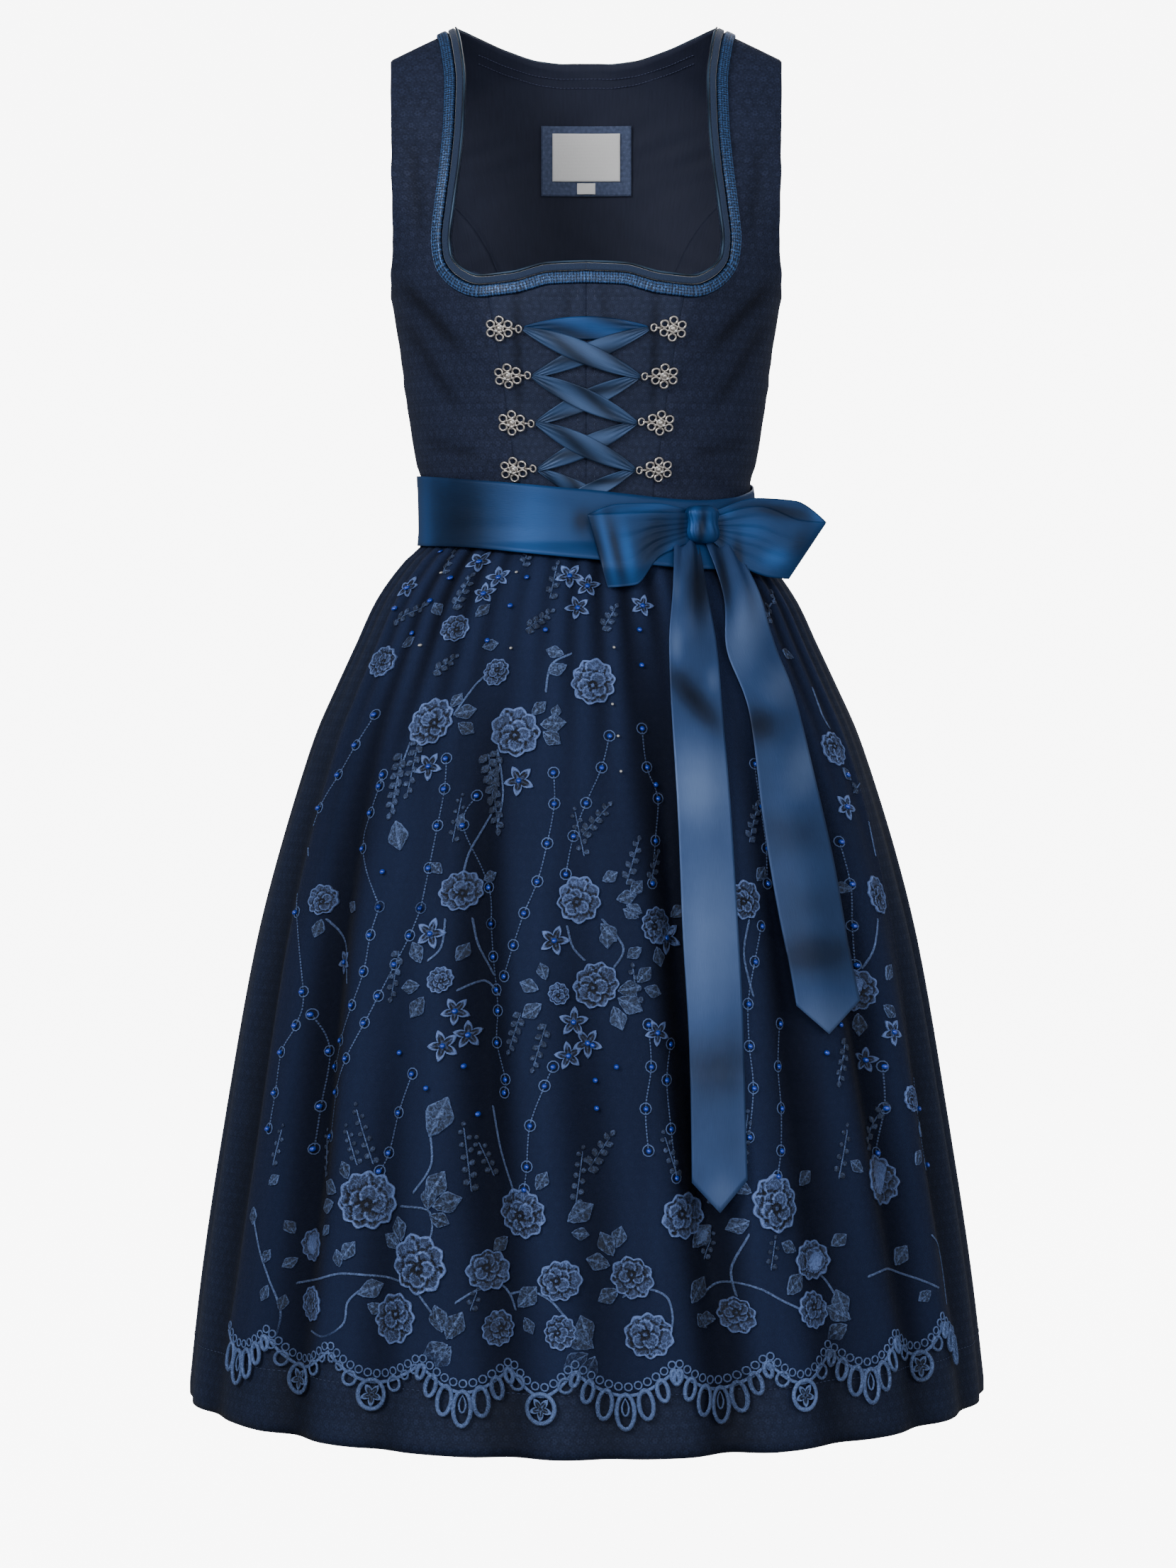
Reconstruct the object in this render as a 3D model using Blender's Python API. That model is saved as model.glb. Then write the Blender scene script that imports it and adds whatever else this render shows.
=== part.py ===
"""A laced dirndl in its worn, hollow form: bodice, gathered skirt, lace apron, sash and bow.

Metres, +Z up. The origin is midway between the shoulder straps, at their height. The front
faces -Y, and +X is the wearer's left. Every cloth is a closed wall laid on one shared surface.
"""

import math
from collections import namedtuple

import bmesh
import bpy
from mathutils import Vector

# Driving sizes
SEAM_GAP = 0.0003
BODICE_WALL = 0.0020
SKIRT_WALL = 0.0020
LACE_WALL = 0.0010
RIBBON_WALL = 0.0010
WAIST_DROP = 0.380
HEM_DROP = 1.039

# The shoulder slopes down and out from the neck points, rounds over at the nape, and the slope
# fades out by the underarm.
NECK_HALF_WIDTH = 0.098
SHOULDER_SLOPE = 0.5
NAPE_ROUNDING = 0.040
SLOPE_FADES_FROM = 0.040
SLOPE_FADES_TO = 0.205

# The fullness that the front seams sew in, one each side
CUP_X = 0.070
CUP_Z = -0.222
CUP_RADIUS = 0.042
CUP_DEPTH = 0.009

# Sections of the garment, each an ellipse: its drop below the shoulder line and its half axes
Section = namedtuple("Section", "drop half_width front back")
SECTIONS = (
    Section(0.000, 0.2000, 0.0000, 0.0000),
    Section(0.004, 0.2000, 0.0120, 0.0145),
    Section(0.012, 0.1995, 0.0230, 0.0280),
    Section(0.025, 0.1990, 0.0350, 0.0435),
    Section(0.049, 0.1970, 0.0530, 0.0640),
    Section(0.081, 0.1920, 0.0710, 0.0760),
    Section(0.095, 0.1880, 0.0780, 0.0800),
    Section(0.121, 0.1770, 0.0900, 0.0860),
    Section(0.150, 0.1660, 0.1010, 0.0890),
    Section(0.176, 0.1575, 0.1080, 0.0900),
    Section(0.205, 0.1488, 0.1130, 0.0890),
    Section(0.238, 0.1430, 0.1120, 0.0870),
    Section(0.271, 0.1390, 0.1080, 0.0840),
    Section(0.303, 0.1345, 0.1020, 0.0820),
    Section(0.329, 0.1300, 0.0972, 0.0810),
    Section(0.338, 0.1272, 0.0955, 0.0800),
    Section(0.352, 0.1250, 0.0925, 0.0790),
    Section(0.380, 0.1244, 0.0905, 0.0785),
    Section(0.392, 0.1270, 0.0935, 0.0815),
    Section(0.401, 0.1370, 0.1030, 0.0920),
    Section(0.433, 0.1610, 0.1240, 0.1140),
    Section(0.466, 0.1770, 0.1380, 0.1280),
    Section(0.499, 0.1930, 0.1510, 0.1410),
    Section(0.531, 0.2080, 0.1630, 0.1530),
    Section(0.564, 0.2200, 0.1730, 0.1630),
    Section(0.629, 0.2400, 0.1900, 0.1790),
    Section(0.694, 0.2560, 0.2040, 0.1910),
    Section(0.824, 0.2790, 0.2230, 0.2080),
    Section(0.954, 0.2990, 0.2400, 0.2220),
    Section(1.039, 0.3090, 0.2500, 0.2300),
)

# Skirt folds: the trough's angle from the middle of its half, at the waist and at the hem, its
# depth at the hem, the angle over which it spreads, and the drop where it begins
Fold = namedtuple("Fold", "half at_waist at_hem depth spread start")
FOLDS = (
    Fold("front", 12.5, 20.0, 0.022, 3.8, 0.40),
    Fold("front", -24.0, -10.0, 0.015, 4.0, 0.43),
    Fold("front", -50.0, -45.0, 0.018, 4.2, 0.46),
    Fold("front", -36.0, -29.0, 0.008, 3.4, 0.60),
    Fold("front", -7.0, 3.0, 0.007, 3.4, 0.50),
    Fold("front", 32.0, 37.0, 0.010, 3.8, 0.44),
    Fold("front", 47.0, 54.0, 0.014, 4.2, 0.42),
    Fold("front", 66.0, 69.0, 0.009, 3.8, 0.55),
    Fold("front", -68.0, -66.0, 0.010, 4.0, 0.42),
    Fold("front", -81.0, -80.0, 0.005, 3.4, 0.60),
    Fold("front", 81.0, 82.0, 0.006, 3.4, 0.45),
    Fold("back", -77.0, -79.0, 0.010, 4.2, 0.42),
    Fold("back", -58.0, -55.0, 0.014, 4.5, 0.45),
    Fold("back", -37.0, -39.0, 0.008, 3.8, 0.55),
    Fold("back", -20.0, -17.0, 0.016, 4.4, 0.42),
    Fold("back", 3.0, 1.0, 0.009, 3.6, 0.50),
    Fold("back", 24.0, 21.0, 0.015, 4.6, 0.43),
    Fold("back", 43.0, 46.0, 0.009, 3.8, 0.58),
    Fold("back", 61.0, 63.0, 0.014, 4.4, 0.44),
    Fold("back", 79.0, 80.0, 0.007, 3.6, 0.50),
)
FOLD_RAMP = 0.34

# Gathers at the waist, all round, which fade out down the skirt
GATHERS_PER_HALF = 24
COLUMNS_PER_GATHER = 3
GATHER_DEPTH = 0.0024
GATHERS_FADE_BY = 0.70

# The neck edge from its middle to the shoulder, as the side and the drop below the shoulder line
EdgePoint = namedtuple("EdgePoint", "side drop")
NECKLINE = (
    EdgePoint(0.0000, 0.1860),
    EdgePoint(0.0280, 0.1870),
    EdgePoint(0.0550, 0.1930),
    EdgePoint(0.0760, 0.1945),
    EdgePoint(0.0900, 0.1890),
    EdgePoint(0.0990, 0.1770),
    EdgePoint(0.1000, 0.1650),
    EdgePoint(0.0970, 0.1400),
    EdgePoint(0.0930, 0.1100),
    EdgePoint(0.0905, 0.0780),
    EdgePoint(0.0900, 0.0500),
    EdgePoint(0.0930, 0.0220),
    EdgePoint(0.0960, 0.0060),
    EdgePoint(0.0980, 0.0000),
)
SEAM_MEETS_NECKLINE = 3
# The front armhole, row for row with the neck edge from the front seam to the shoulder
FRONT_ARMHOLE = (
    EdgePoint(0.1485, 0.2070),
    EdgePoint(0.1478, 0.1980),
    EdgePoint(0.1468, 0.1830),
    EdgePoint(0.1460, 0.1650),
    EdgePoint(0.1456, 0.1400),
    EdgePoint(0.1458, 0.1120),
    EdgePoint(0.1462, 0.0800),
    EdgePoint(0.1470, 0.0500),
    EdgePoint(0.1478, 0.0230),
    EdgePoint(0.1483, 0.0060),
    EdgePoint(0.1485, 0.0000),
)
# The back neck edge from its middle to the shoulder
BACK_NECKLINE = (
    EdgePoint(0.0000, 0.0500),
    EdgePoint(0.0150, 0.0490),
    EdgePoint(0.0350, 0.0430),
    EdgePoint(0.0600, 0.0280),
    EdgePoint(0.0800, 0.0130),
    EdgePoint(0.0920, 0.0040),
    EdgePoint(0.0980, 0.0000),
)

# The curved seams down the front and back, from the waist up, and the side seam row for row
SeamRow = namedtuple("SeamRow", "seam_side seam_drop side_drop")
FRONT_SEAM = (
    SeamRow(0.0490, 0.3800, 0.3800),
    SeamRow(0.0505, 0.3520, 0.3520),
    SeamRow(0.0530, 0.3360, 0.3340),
    SeamRow(0.0575, 0.3020, 0.3000),
    SeamRow(0.0625, 0.2680, 0.2680),
    SeamRow(0.0680, 0.2340, 0.2370),
    SeamRow(0.0730, 0.2080, 0.2170),
)
BACK_SEAM = (
    SeamRow(0.0440, 0.3800, 0.3800),
    SeamRow(0.0450, 0.3400, 0.3500),
    SeamRow(0.0480, 0.2900, 0.3200),
    SeamRow(0.0540, 0.2400, 0.2900),
    SeamRow(0.0640, 0.1950, 0.2650),
    SeamRow(0.0780, 0.1620, 0.2450),
    SeamRow(0.0960, 0.1350, 0.2280),
    SeamRow(0.1180, 0.1120, 0.2150),
    SeamRow(0.1390, 0.0950, 0.2070),
)
# How far the back armhole scoops down between that seam and the side seam, as a root of the drop
ARMHOLE_SCOOP = 0.026
# The rest of the back armhole, from that seam to the shoulder
BACK_ARMHOLE = (
    EdgePoint(0.1425, 0.0720),
    EdgePoint(0.1455, 0.0480),
    EdgePoint(0.1475, 0.0230),
    EdgePoint(0.1483, 0.0060),
    EdgePoint(0.1485, 0.0000),
)

# Neck trims: distances in from the neck edge, and heights over the cloth
Trim = namedtuple("Trim", "name start end low high")
TRIMS = (
    Trim("neck_velvet", 0.0004, 0.0072, 0.0004, 0.0016),
    Trim("neck_braid", 0.0077, 0.0170, 0.0004, 0.0024),
)
TRIM_STEPS_FRONT = 24
TRIM_STEPS_BACK = 22

# Hooks, one row for each height: the rosette's and the eye's distance from the middle
HookRow = namedtuple("HookRow", "z rosette eye")
HOOK_ROWS = (
    HookRow(-0.234, 0.0630, 0.0487),
    HookRow(-0.268, 0.0570, 0.0422),
    HookRow(-0.302, 0.0543, 0.0397),
    HookRow(-0.336, 0.0530, 0.0383),
)
ROSETTE_WIDTH = 0.0232
ROSETTE_HEIGHT = 0.0194
ROSETTE_THICK = 0.0018
ROSETTE_LOW = 0.0007
ROSETTE_PETALS = 6
CORNERS_PER_PETAL = 4
PETAL_RELIEF = 0.10
EYE_TAB_HALF_ANGLE = 9.0
EYE_TAB_PAST_EYE = 0.0012

# The lace's stretches: the rows and sides they run between, their widest and their layer
Stretch = namedtuple("Stretch", "from_row from_side to_row to_side width layer")
STRETCHES = (
    Stretch(0, -1, 0, 1, 0.0170, 0),
    Stretch(0, 1, 1, -1, 0.0140, 1),
    Stretch(1, 1, 2, -1, 0.0140, 1),
    Stretch(2, 1, 3, -1, 0.0140, 1),
    Stretch(0, -1, 1, 1, 0.0155, 2),
    Stretch(1, -1, 2, 1, 0.0155, 2),
    Stretch(2, -1, 3, 1, 0.0155, 2),
)
LAYER_LOWS = (0.0008, 0.0022, 0.0036)
PINCHED_WIDTH = 0.0022
STRETCH_STEPS = 8
STRETCH_STARTS_INSIDE = 0.0035
# The last two stretches cross and go down under the sash
TUCK_SIDE = 0.006
TUCK_DROP = 0.021
TUCK_WIDTH = 0.0110

# Sash: its width, how its top sags towards the bow, and its height over the cloth, which is more
# where the lace, the hooks and the apron lie under it
SASH_THICK = 0.0012
SASH_WIDTH = 0.0550
SASH_TOP_DROP = 0.338
SashPoint = namedtuple("SashPoint", "angle sag low")
SASH_POINTS = (
    SashPoint(-180.0, 0.0000, 0.0014),
    SashPoint(-90.0, 0.0000, 0.0014),
    SashPoint(-68.0, 0.0012, 0.0022),
    SashPoint(-34.0, 0.0052, 0.0050),
    SashPoint(0.0, 0.0125, 0.0052),
    SashPoint(40.0, 0.0200, 0.0052),
    SashPoint(55.0, 0.0182, 0.0050),
    SashPoint(73.0, 0.0135, 0.0022),
    SashPoint(95.0, 0.0070, 0.0014),
    SashPoint(130.0, 0.0000, 0.0014),
    SashPoint(180.0, 0.0000, 0.0014),
)
SASH_COLUMNS = 56
SASH_ROWS = 4

# Bow: its knot on the sash, and its loops and tails
KNOT_ANGLE = 41.5
KNOT_Z = -0.377
KNOT_SIZE = Vector((0.0245, 0.0170, 0.0310))
KNOT_STANDS_OFF = 0.0010
KNOT_PINCH = 0.16
KNOT_PINCH_REACH = 0.18
# The radius at which a loop's reach becomes a turn round the body
LOOP_SPEED = 0.118
# Each loop's reach from the knot, how far its far end droops, its width and thickness there, and
# how much further its top edge reaches than its middle
Loop = namedtuple("Loop", "name reach low droop width thick slant")
LOOPS = (
    Loop("bow_loop_right", -0.0775, 0.0130, 0.018, 0.052, 0.020, 0.0085),
    Loop("bow_loop_left", 0.0950, 0.0108, 0.013, 0.058, 0.026, 0.0165),
)
LOOP_STEPS = 20
LOOP_ROWS = 3
LOOP_ROOT_WIDTH = 0.024
LOOP_ROOT_THICK = 0.35
LOOP_FULL_WIDTH_BY = 0.75
LOOP_STARTS_AT = 0.90
LOOP_BACK_LIFT = 0.005
LOOP_BULGE = 0.0022
# Tails: rows of the centre line, the half width and the height over the cloth
TailRow = namedtuple("TailRow", "x z half_width low")
TAILS = {
    "bow_tail_right": (
        TailRow(0.0725, -0.4040, 0.0060, 0.0076),
        TailRow(0.0735, -0.4250, 0.0120, 0.0062),
        TailRow(0.0765, -0.4650, 0.0170, 0.0036),
        TailRow(0.0790, -0.5100, 0.0182, 0.0030),
        TailRow(0.0845, -0.5900, 0.0195, 0.0030),
        TailRow(0.0880, -0.6700, 0.0196, 0.0030),
        TailRow(0.0920, -0.7500, 0.0196, 0.0030),
        TailRow(0.0940, -0.8460, 0.0198, 0.0030),
    ),
    "bow_tail_left": (
        TailRow(0.1000, -0.4040, 0.0080, 0.0076),
        TailRow(0.1120, -0.4350, 0.0140, 0.0060),
        TailRow(0.1195, -0.4700, 0.0180, 0.0036),
        TailRow(0.1345, -0.5100, 0.0190, 0.0030),
        TailRow(0.1490, -0.5900, 0.0225, 0.0030),
        TailRow(0.1620, -0.6650, 0.0238, 0.0030),
        TailRow(0.1735, -0.7250, 0.0240, 0.0030),
    ),
}
TAIL_TIP = 0.022
TAIL_RIPPLE = 0.0012
TAIL_COLUMNS = 4

# Skirt and apron rows, as drops. The apron's last two rows are its cord line and its loops' tips
SKIRT_ROWS = (0.3803, 0.392, 0.404, 0.420, 0.455, 0.510, 0.600, 0.740, 0.900, HEM_DROP)
APRON_ROWS = SKIRT_ROWS[:-1]
APRON_FIRST_COLUMN = -25
APRON_LAST_COLUMN = 27
APRON_LOW = 0.0006
APRON_EDGE_LOW = 0.0022
COLUMNS_PER_SCALLOP = 5
CUSP_COLUMN = -14
CORD_DROP = 0.960
SCALLOP_DEPTH = 0.024
LOOP_DEPTH = 0.026
LOOP_TIP = 0.004
LOOP_INSET = 0.24
LOOP_NARROWING = 0.45

# The bare patch, label and size tag inside the back: middle height, width, height, cloth layer
Label = namedtuple("Label", "name z width height depth")
LABELS = (
    Label("label_patch", -0.0900, 0.0714, 0.0540, 0.0029),
    Label("label", -0.0870, 0.0540, 0.0370, 0.0047),
    Label("size_tag", -0.1110, 0.0145, 0.0085, 0.0047),
)

# Colours as read from the cloth, 0 to 255
COLOURS = {
    "bodice": (46, 58, 84),
    "bodice_centre": (38, 50, 78),
    "skirt": (20, 30, 48),
    "apron": (52, 64, 94),
    "sash": (38, 82, 128),
    "bow": (72, 96, 138),
    "lacing": (62, 83, 114),
    "velvet": (14, 18, 30),
    "braid": (38, 74, 132),
    "silver": (178, 176, 172),
    "patch": (30, 38, 66),
    "label": (206, 206, 210),
}


def linear(value):
    """One 0 to 255 colour value as light."""
    part = value / 255.0
    return part / 12.92 if part <= 0.04045 else ((part + 0.055) / 1.055) ** 2.4


def finish(name, colour, roughness, metallic=0.0):
    """A plain material of that colour."""
    made = bpy.data.materials.new(name)
    made.use_nodes = True
    shader = made.node_tree.nodes["Principled BSDF"]
    shader.inputs["Base Color"].default_value = (*(linear(part) for part in COLOURS[colour]), 1.0)
    shader.inputs["Roughness"].default_value = roughness
    shader.inputs["Metallic"].default_value = metallic
    return made


def smoothstep(start, end, value):
    part = min(1.0, max(0.0, (value - start) / (end - start)))
    return part * part * (3.0 - 2.0 * part)


def along(keys, values, at):
    """The value at that key, on a smooth curve that never overshoots its points."""
    last = len(keys) - 1
    at = min(max(at, keys[0]), keys[-1])
    i = next(n for n in range(last) if at <= keys[n + 1])

    def chord(n):
        return (values[n + 1] - values[n]) / (keys[n + 1] - keys[n])

    def slope(n):
        if n == 0 or n == last:
            return chord(min(n, last - 1))
        before, after = chord(n - 1), chord(n)
        return 0.0 if before * after <= 0.0 else 2.0 * before * after / (before + after)

    span = keys[i + 1] - keys[i]
    t = (at - keys[i]) / span
    return (
        (1.0 + 2.0 * t) * (1.0 - t) ** 2 * values[i]
        + t * (1.0 - t) ** 2 * span * slope(i)
        + t * t * (3.0 - 2.0 * t) * values[i + 1]
        - t * t * (1.0 - t) * span * slope(i + 1)
    )


# The sections are read by the root of the drop, so that the shoulder rounds over smoothly.
SECTION_KEYS = [math.sqrt(section.drop) for section in SECTIONS]


def section_at(root, column):
    return along(SECTION_KEYS, [getattr(section, column) for section in SECTIONS], root)


def crest(x, drop):
    """How far the shoulder line at that side lifts the cloth at a drop."""
    fading = 1.0 - smoothstep(SLOPE_FADES_FROM, SLOPE_FADES_TO, drop)
    rise = math.hypot(NECK_HALF_WIDTH, NAPE_ROUNDING) - math.hypot(x, NAPE_ROUNDING)
    return fading * SHOULDER_SLOPE * rise


def on_figure(half, angle, root):
    """The point of the garment's outer surface at that angle and root of the drop."""
    drop = root * root
    x = section_at(root, "half_width") * math.sin(angle)
    z = crest(x, drop) - drop
    y = section_at(root, half) * math.cos(angle) + SEAM_GAP / 2.0
    if half == "front":
        off = ((abs(x) - CUP_X) ** 2 + (z - CUP_Z) ** 2) / CUP_RADIUS**2
        y = -y - CUP_DEPTH * math.exp(-off)
    return Vector((x, y, z))


def slopes_and_normal(half, angle, root):
    """The surface's two slopes there, and its outward normal."""
    turn, fall = 0.01, 0.004
    ahead, behind = on_figure(half, angle + turn, root), on_figure(half, angle - turn, root)
    by_angle = (ahead - behind) / (2.0 * turn)
    by_root = (on_figure(half, angle, root + fall) - on_figure(half, angle, root)) / fall
    normal = by_root.cross(by_angle).normalized()
    return by_angle, by_root, normal if half == "front" else -normal


def over(half, angle, root, out):
    """The point that far out from the surface."""
    return on_figure(half, angle, root) + slopes_and_normal(half, angle, root)[2] * out


def angle_of(side, drop):
    """The angle at which that section is so far to the side."""
    part = side / section_at(math.sqrt(drop), "half_width")
    return math.asin(max(-1.0, min(1.0, part)))


def drop_of(x, z):
    """The drop at a place seen from the front."""
    drop = max(0.0, -z)
    for _ in range(30):
        drop = max(0.0, crest(x, drop) - z)
    return drop


def at_place(half, x, z, out):
    """The point over the surface at a place seen from the front."""
    drop = drop_of(x, z)
    return over(half, angle_of(x, drop), math.sqrt(drop), out)


def wall(name, columns, rows, place, material, cut=None):
    """A cloth: a grid of unit cells, cut, doubled into a wall and laid on its surface."""
    mesh = bmesh.new()
    bmesh.ops.create_grid(mesh, x_segments=columns, y_segments=rows, size=0.5)
    bmesh.ops.translate(mesh, vec=(0.5, 0.5, 0.0), verts=mesh.verts)
    bmesh.ops.scale(mesh, vec=(columns, rows, 1.0), verts=mesh.verts)
    if cut:
        cut(mesh)
    bmesh.ops.triangulate(mesh, faces=mesh.faces[:], quad_method="FIXED")
    doubled = bmesh.ops.extrude_face_region(mesh, geom=mesh.faces[:])
    for part in doubled["geom"]:
        if isinstance(part, bmesh.types.BMVert):
            part.co.z = 1.0
    for vert in mesh.verts:
        vert.co = place(vert.co.x, vert.co.y, vert.co.z > 0.5)
    return finished(name, mesh, material)


def finished(name, mesh, material, smooth=True):
    """The object of a closed mesh, with its faces pointing out."""
    bmesh.ops.recalc_face_normals(mesh, faces=mesh.faces[:])
    data = bpy.data.meshes.new(name)
    mesh.to_mesh(data)
    mesh.free()
    data.materials.append(material)
    if smooth:
        data.shade_smooth()
        data.set_sharp_from_angle(angle=math.radians(50.0))
    made = bpy.data.objects.new(name, data)
    bpy.context.scene.collection.objects.link(made)
    return made


def smooth_row(table, at):
    """The row at a fractional place, on a smooth curve through the table."""
    keys = list(range(len(table)))
    return [along(keys, [row[n] for row in table], at) for n in range(len(table[0]))]


def inset_from_seam(angle, half_width):
    """An angle moved half a seam gap towards the panel's own side."""
    return angle + SEAM_GAP / 2.0 / half_width


def side_name(sign):
    return "left" if sign > 0 else "right"


def centre_front(sign, material):
    """The panel between the front's middle and its curved seam, up to the neck edge."""
    columns, rows = 5, len(FRONT_SEAM)

    def place(u, v, inner):
        across = u / columns
        seam = smooth_row(FRONT_SEAM + (SeamRow(*NECKLINE[SEAM_MEETS_NECKLINE], 0.0),), v)
        top = smooth_row(NECKLINE[: SEAM_MEETS_NECKLINE + 1], across * SEAM_MEETS_NECKLINE)
        low = FRONT_SEAM[0].seam_drop
        edge_span = low - NECKLINE[SEAM_MEETS_NECKLINE].drop
        drop = low - (low - seam[1]) / edge_span * (low - top[1])
        side = SEAM_GAP / 2.0 + across * (seam[0] - SEAM_GAP)
        point = over("front", angle_of(side, drop), math.sqrt(drop), -BODICE_WALL if inner else 0.0)
        return Vector((sign * point.x, point.y, point.z))

    return wall(f"bodice_centre_front_{side_name(sign)}", columns, rows, place, material)


def between_edges(half, inner_edge, outer_edge, across, inner, scoop=0.0):
    """A point between two places, each given as its side and drop, with a scoop at the middle."""
    (side_a, drop_a), (side_b, drop_b) = inner_edge, outer_edge
    half_width = section_at(math.sqrt(drop_a), "half_width")
    angle_a = inset_from_seam(angle_of(side_a, drop_a), half_width)
    angle_b = angle_of(side_b, drop_b)
    root = math.sqrt(drop_a) + (math.sqrt(drop_b) - math.sqrt(drop_a)) * across
    root += scoop * math.sin(math.pi * across)
    angle = angle_a + (angle_b - angle_a) * across
    return over(half, angle, root, -BODICE_WALL if inner else 0.0)


def side_front(sign, material):
    """The front panel from its curved seam to the side seam, with the strap up to the shoulder."""
    low_rows = [((row.seam_side, row.seam_drop), (1.0, row.side_drop)) for row in FRONT_SEAM]
    edges = NECKLINE[SEAM_MEETS_NECKLINE:]
    high_rows = [(tuple(neck), tuple(arm)) for neck, arm in zip(edges, FRONT_ARMHOLE)]
    all_rows = low_rows + high_rows
    columns = 5

    def place(u, v, inner):
        inner_edge, outer_edge = all_rows[round(v)]
        point = between_edges("front", inner_edge, outer_edge, u / columns, inner)
        return Vector((sign * point.x, point.y, point.z))

    return wall(f"bodice_side_front_{side_name(sign)}", columns, len(all_rows) - 1, place, material)


def side_back(sign, material):
    """The back panel from its curved seam to the side seam, up to the armhole."""
    columns = 4

    def place(u, v, inner):
        row = BACK_SEAM[round(v)]
        scoop = ARMHOLE_SCOOP * (v / (len(BACK_SEAM) - 1)) ** 3
        edges = (row.seam_side, row.seam_drop), (1.0, row.side_drop)
        point = between_edges("back", *edges, u / columns, inner, scoop)
        return Vector((sign * point.x, point.y, point.z))

    return wall(f"bodice_side_back_{side_name(sign)}", columns, len(BACK_SEAM) - 1, place, material)


def centre_back(material):
    """The back panel between its curved seams, with both straps and the neck edge between them."""
    outline = [EdgePoint(row.seam_side, row.seam_drop) for row in BACK_SEAM] + list(BACK_ARMHOLE)
    rows = len(outline) - 1
    strap_columns, neck_columns = 3, 8
    columns = 2 * strap_columns + neck_columns
    neck_part = NECK_HALF_WIDTH / outline[-1].side

    def place(u, v, inner):
        from_middle = abs(u - columns / 2.0)
        neck_half = neck_columns / 2.0
        if from_middle <= neck_half:
            across = from_middle / neck_half * neck_part
        else:
            across = neck_part + (from_middle - neck_half) / strap_columns * (1.0 - neck_part)
        edge = outline[round(v)]
        top_side = across * outline[-1].side
        sides = [point.side for point in BACK_NECKLINE]
        drops = [point.drop for point in BACK_NECKLINE]
        top = math.sqrt(max(along(sides, drops, top_side), 0.0)) if across < neck_part else 0.0
        low = math.sqrt(outline[0].drop)
        root = low + (top - low) * (low - math.sqrt(edge.drop)) / low
        side = across * (edge.side - SEAM_GAP / 2.0)
        angle = math.copysign(angle_of(side, root * root), u - columns / 2.0)
        return over("back", angle, root, -BODICE_WALL if inner else 0.0)

    return wall("bodice_back_centre", columns, rows, place, material)


def edge_path(half, table, steps):
    """Evenly numbered stops along a neck edge, as angle and root of the drop."""
    stops = []
    for n in range(steps + 1):
        side, drop = smooth_row(table, n / steps * (len(table) - 1))
        stops.append((angle_of(side, max(drop, 0.0)), math.sqrt(max(drop, 0.0))))
    return stops


def stepped(half, stop, direction, distance):
    """The place on the surface that far from a stop, in that direction."""
    angle, root = stop
    steps = 3
    for _ in range(steps):
        by_angle, by_root, _ = slopes_and_normal(half, angle, root)
        aa, ar, rr = by_angle.dot(by_angle), by_angle.dot(by_root), by_root.dot(by_root)
        da, dr = direction.dot(by_angle), direction.dot(by_root)
        scale = distance / steps / (aa * rr - ar * ar)
        angle += (da * rr - dr * ar) * scale
        root = max(0.0, root + (dr * aa - da * ar) * scale)
    return angle, root


def trim_band(trim, half, table, sign, steps, name, material):
    """A band laid beside a neck edge, between two distances in from it."""
    stops = edge_path(half, table, steps)
    points = [on_figure(half, *stop) for stop in stops]

    def stop_at(n, distance):
        before, after = points[max(n - 1, 0)], points[min(n + 1, steps)]
        normal = slopes_and_normal(half, *stops[n])[2]
        away = normal.cross(after - before).normalized()
        if half == "front":
            away = -away
        if n in (0, steps):
            away = Vector((0.0, away.y, away.z)) if n == 0 else Vector((1.0, 0.0, -SHOULDER_SLOPE))
            away.normalize()
        return stepped(half, stops[n], away, distance)

    def place(u, v, inner):
        angle, root = stop_at(round(v), trim.end if u > 0.5 else trim.start)
        point = over(half, angle, root, trim.low if inner else trim.high)
        if half == "front":
            point.x = max(point.x, SEAM_GAP / 2.0)
        return Vector((sign * point.x, point.y, point.z))

    return wall(name, 1, steps, place, material)


def neck_trims(materials):
    """The velvet strip and the braid, each in two front lengths and one back length."""
    back = tuple(EdgePoint(-point.side, point.drop) for point in reversed(BACK_NECKLINE[1:]))
    back += BACK_NECKLINE
    for trim in TRIMS:
        for sign in (-1, 1):
            name = f"{trim.name}_{side_name(sign)}"
            trim_band(trim, "front", NECKLINE, sign, TRIM_STEPS_FRONT, name, materials[trim.name])
        back_trim(trim, back, materials[trim.name])


def back_trim(trim, table, material):
    """A band laid beside the back neck edge, from shoulder to shoulder."""
    steps = TRIM_STEPS_BACK

    def place(u, v, inner):
        side, drop = smooth_row(table, round(v) / steps * (len(table) - 1))
        drop = max(drop, 0.0)
        stop = angle_of(side, drop), math.sqrt(drop)
        ends = abs(side) / NECK_HALF_WIDTH
        away = Vector((math.copysign(ends**2, side), 0.0, -1.0 + ends**2 * (1.0 - SHOULDER_SLOPE)))
        angle, root = stepped("back", stop, away.normalized(), trim.end if u > 0.5 else trim.start)
        if round(v) in (0, steps):
            root = 0.0
        return over("back", angle, root, trim.low if inner else trim.high)

    return wall(f"{trim.name}_back", 1, steps, place, material)


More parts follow.
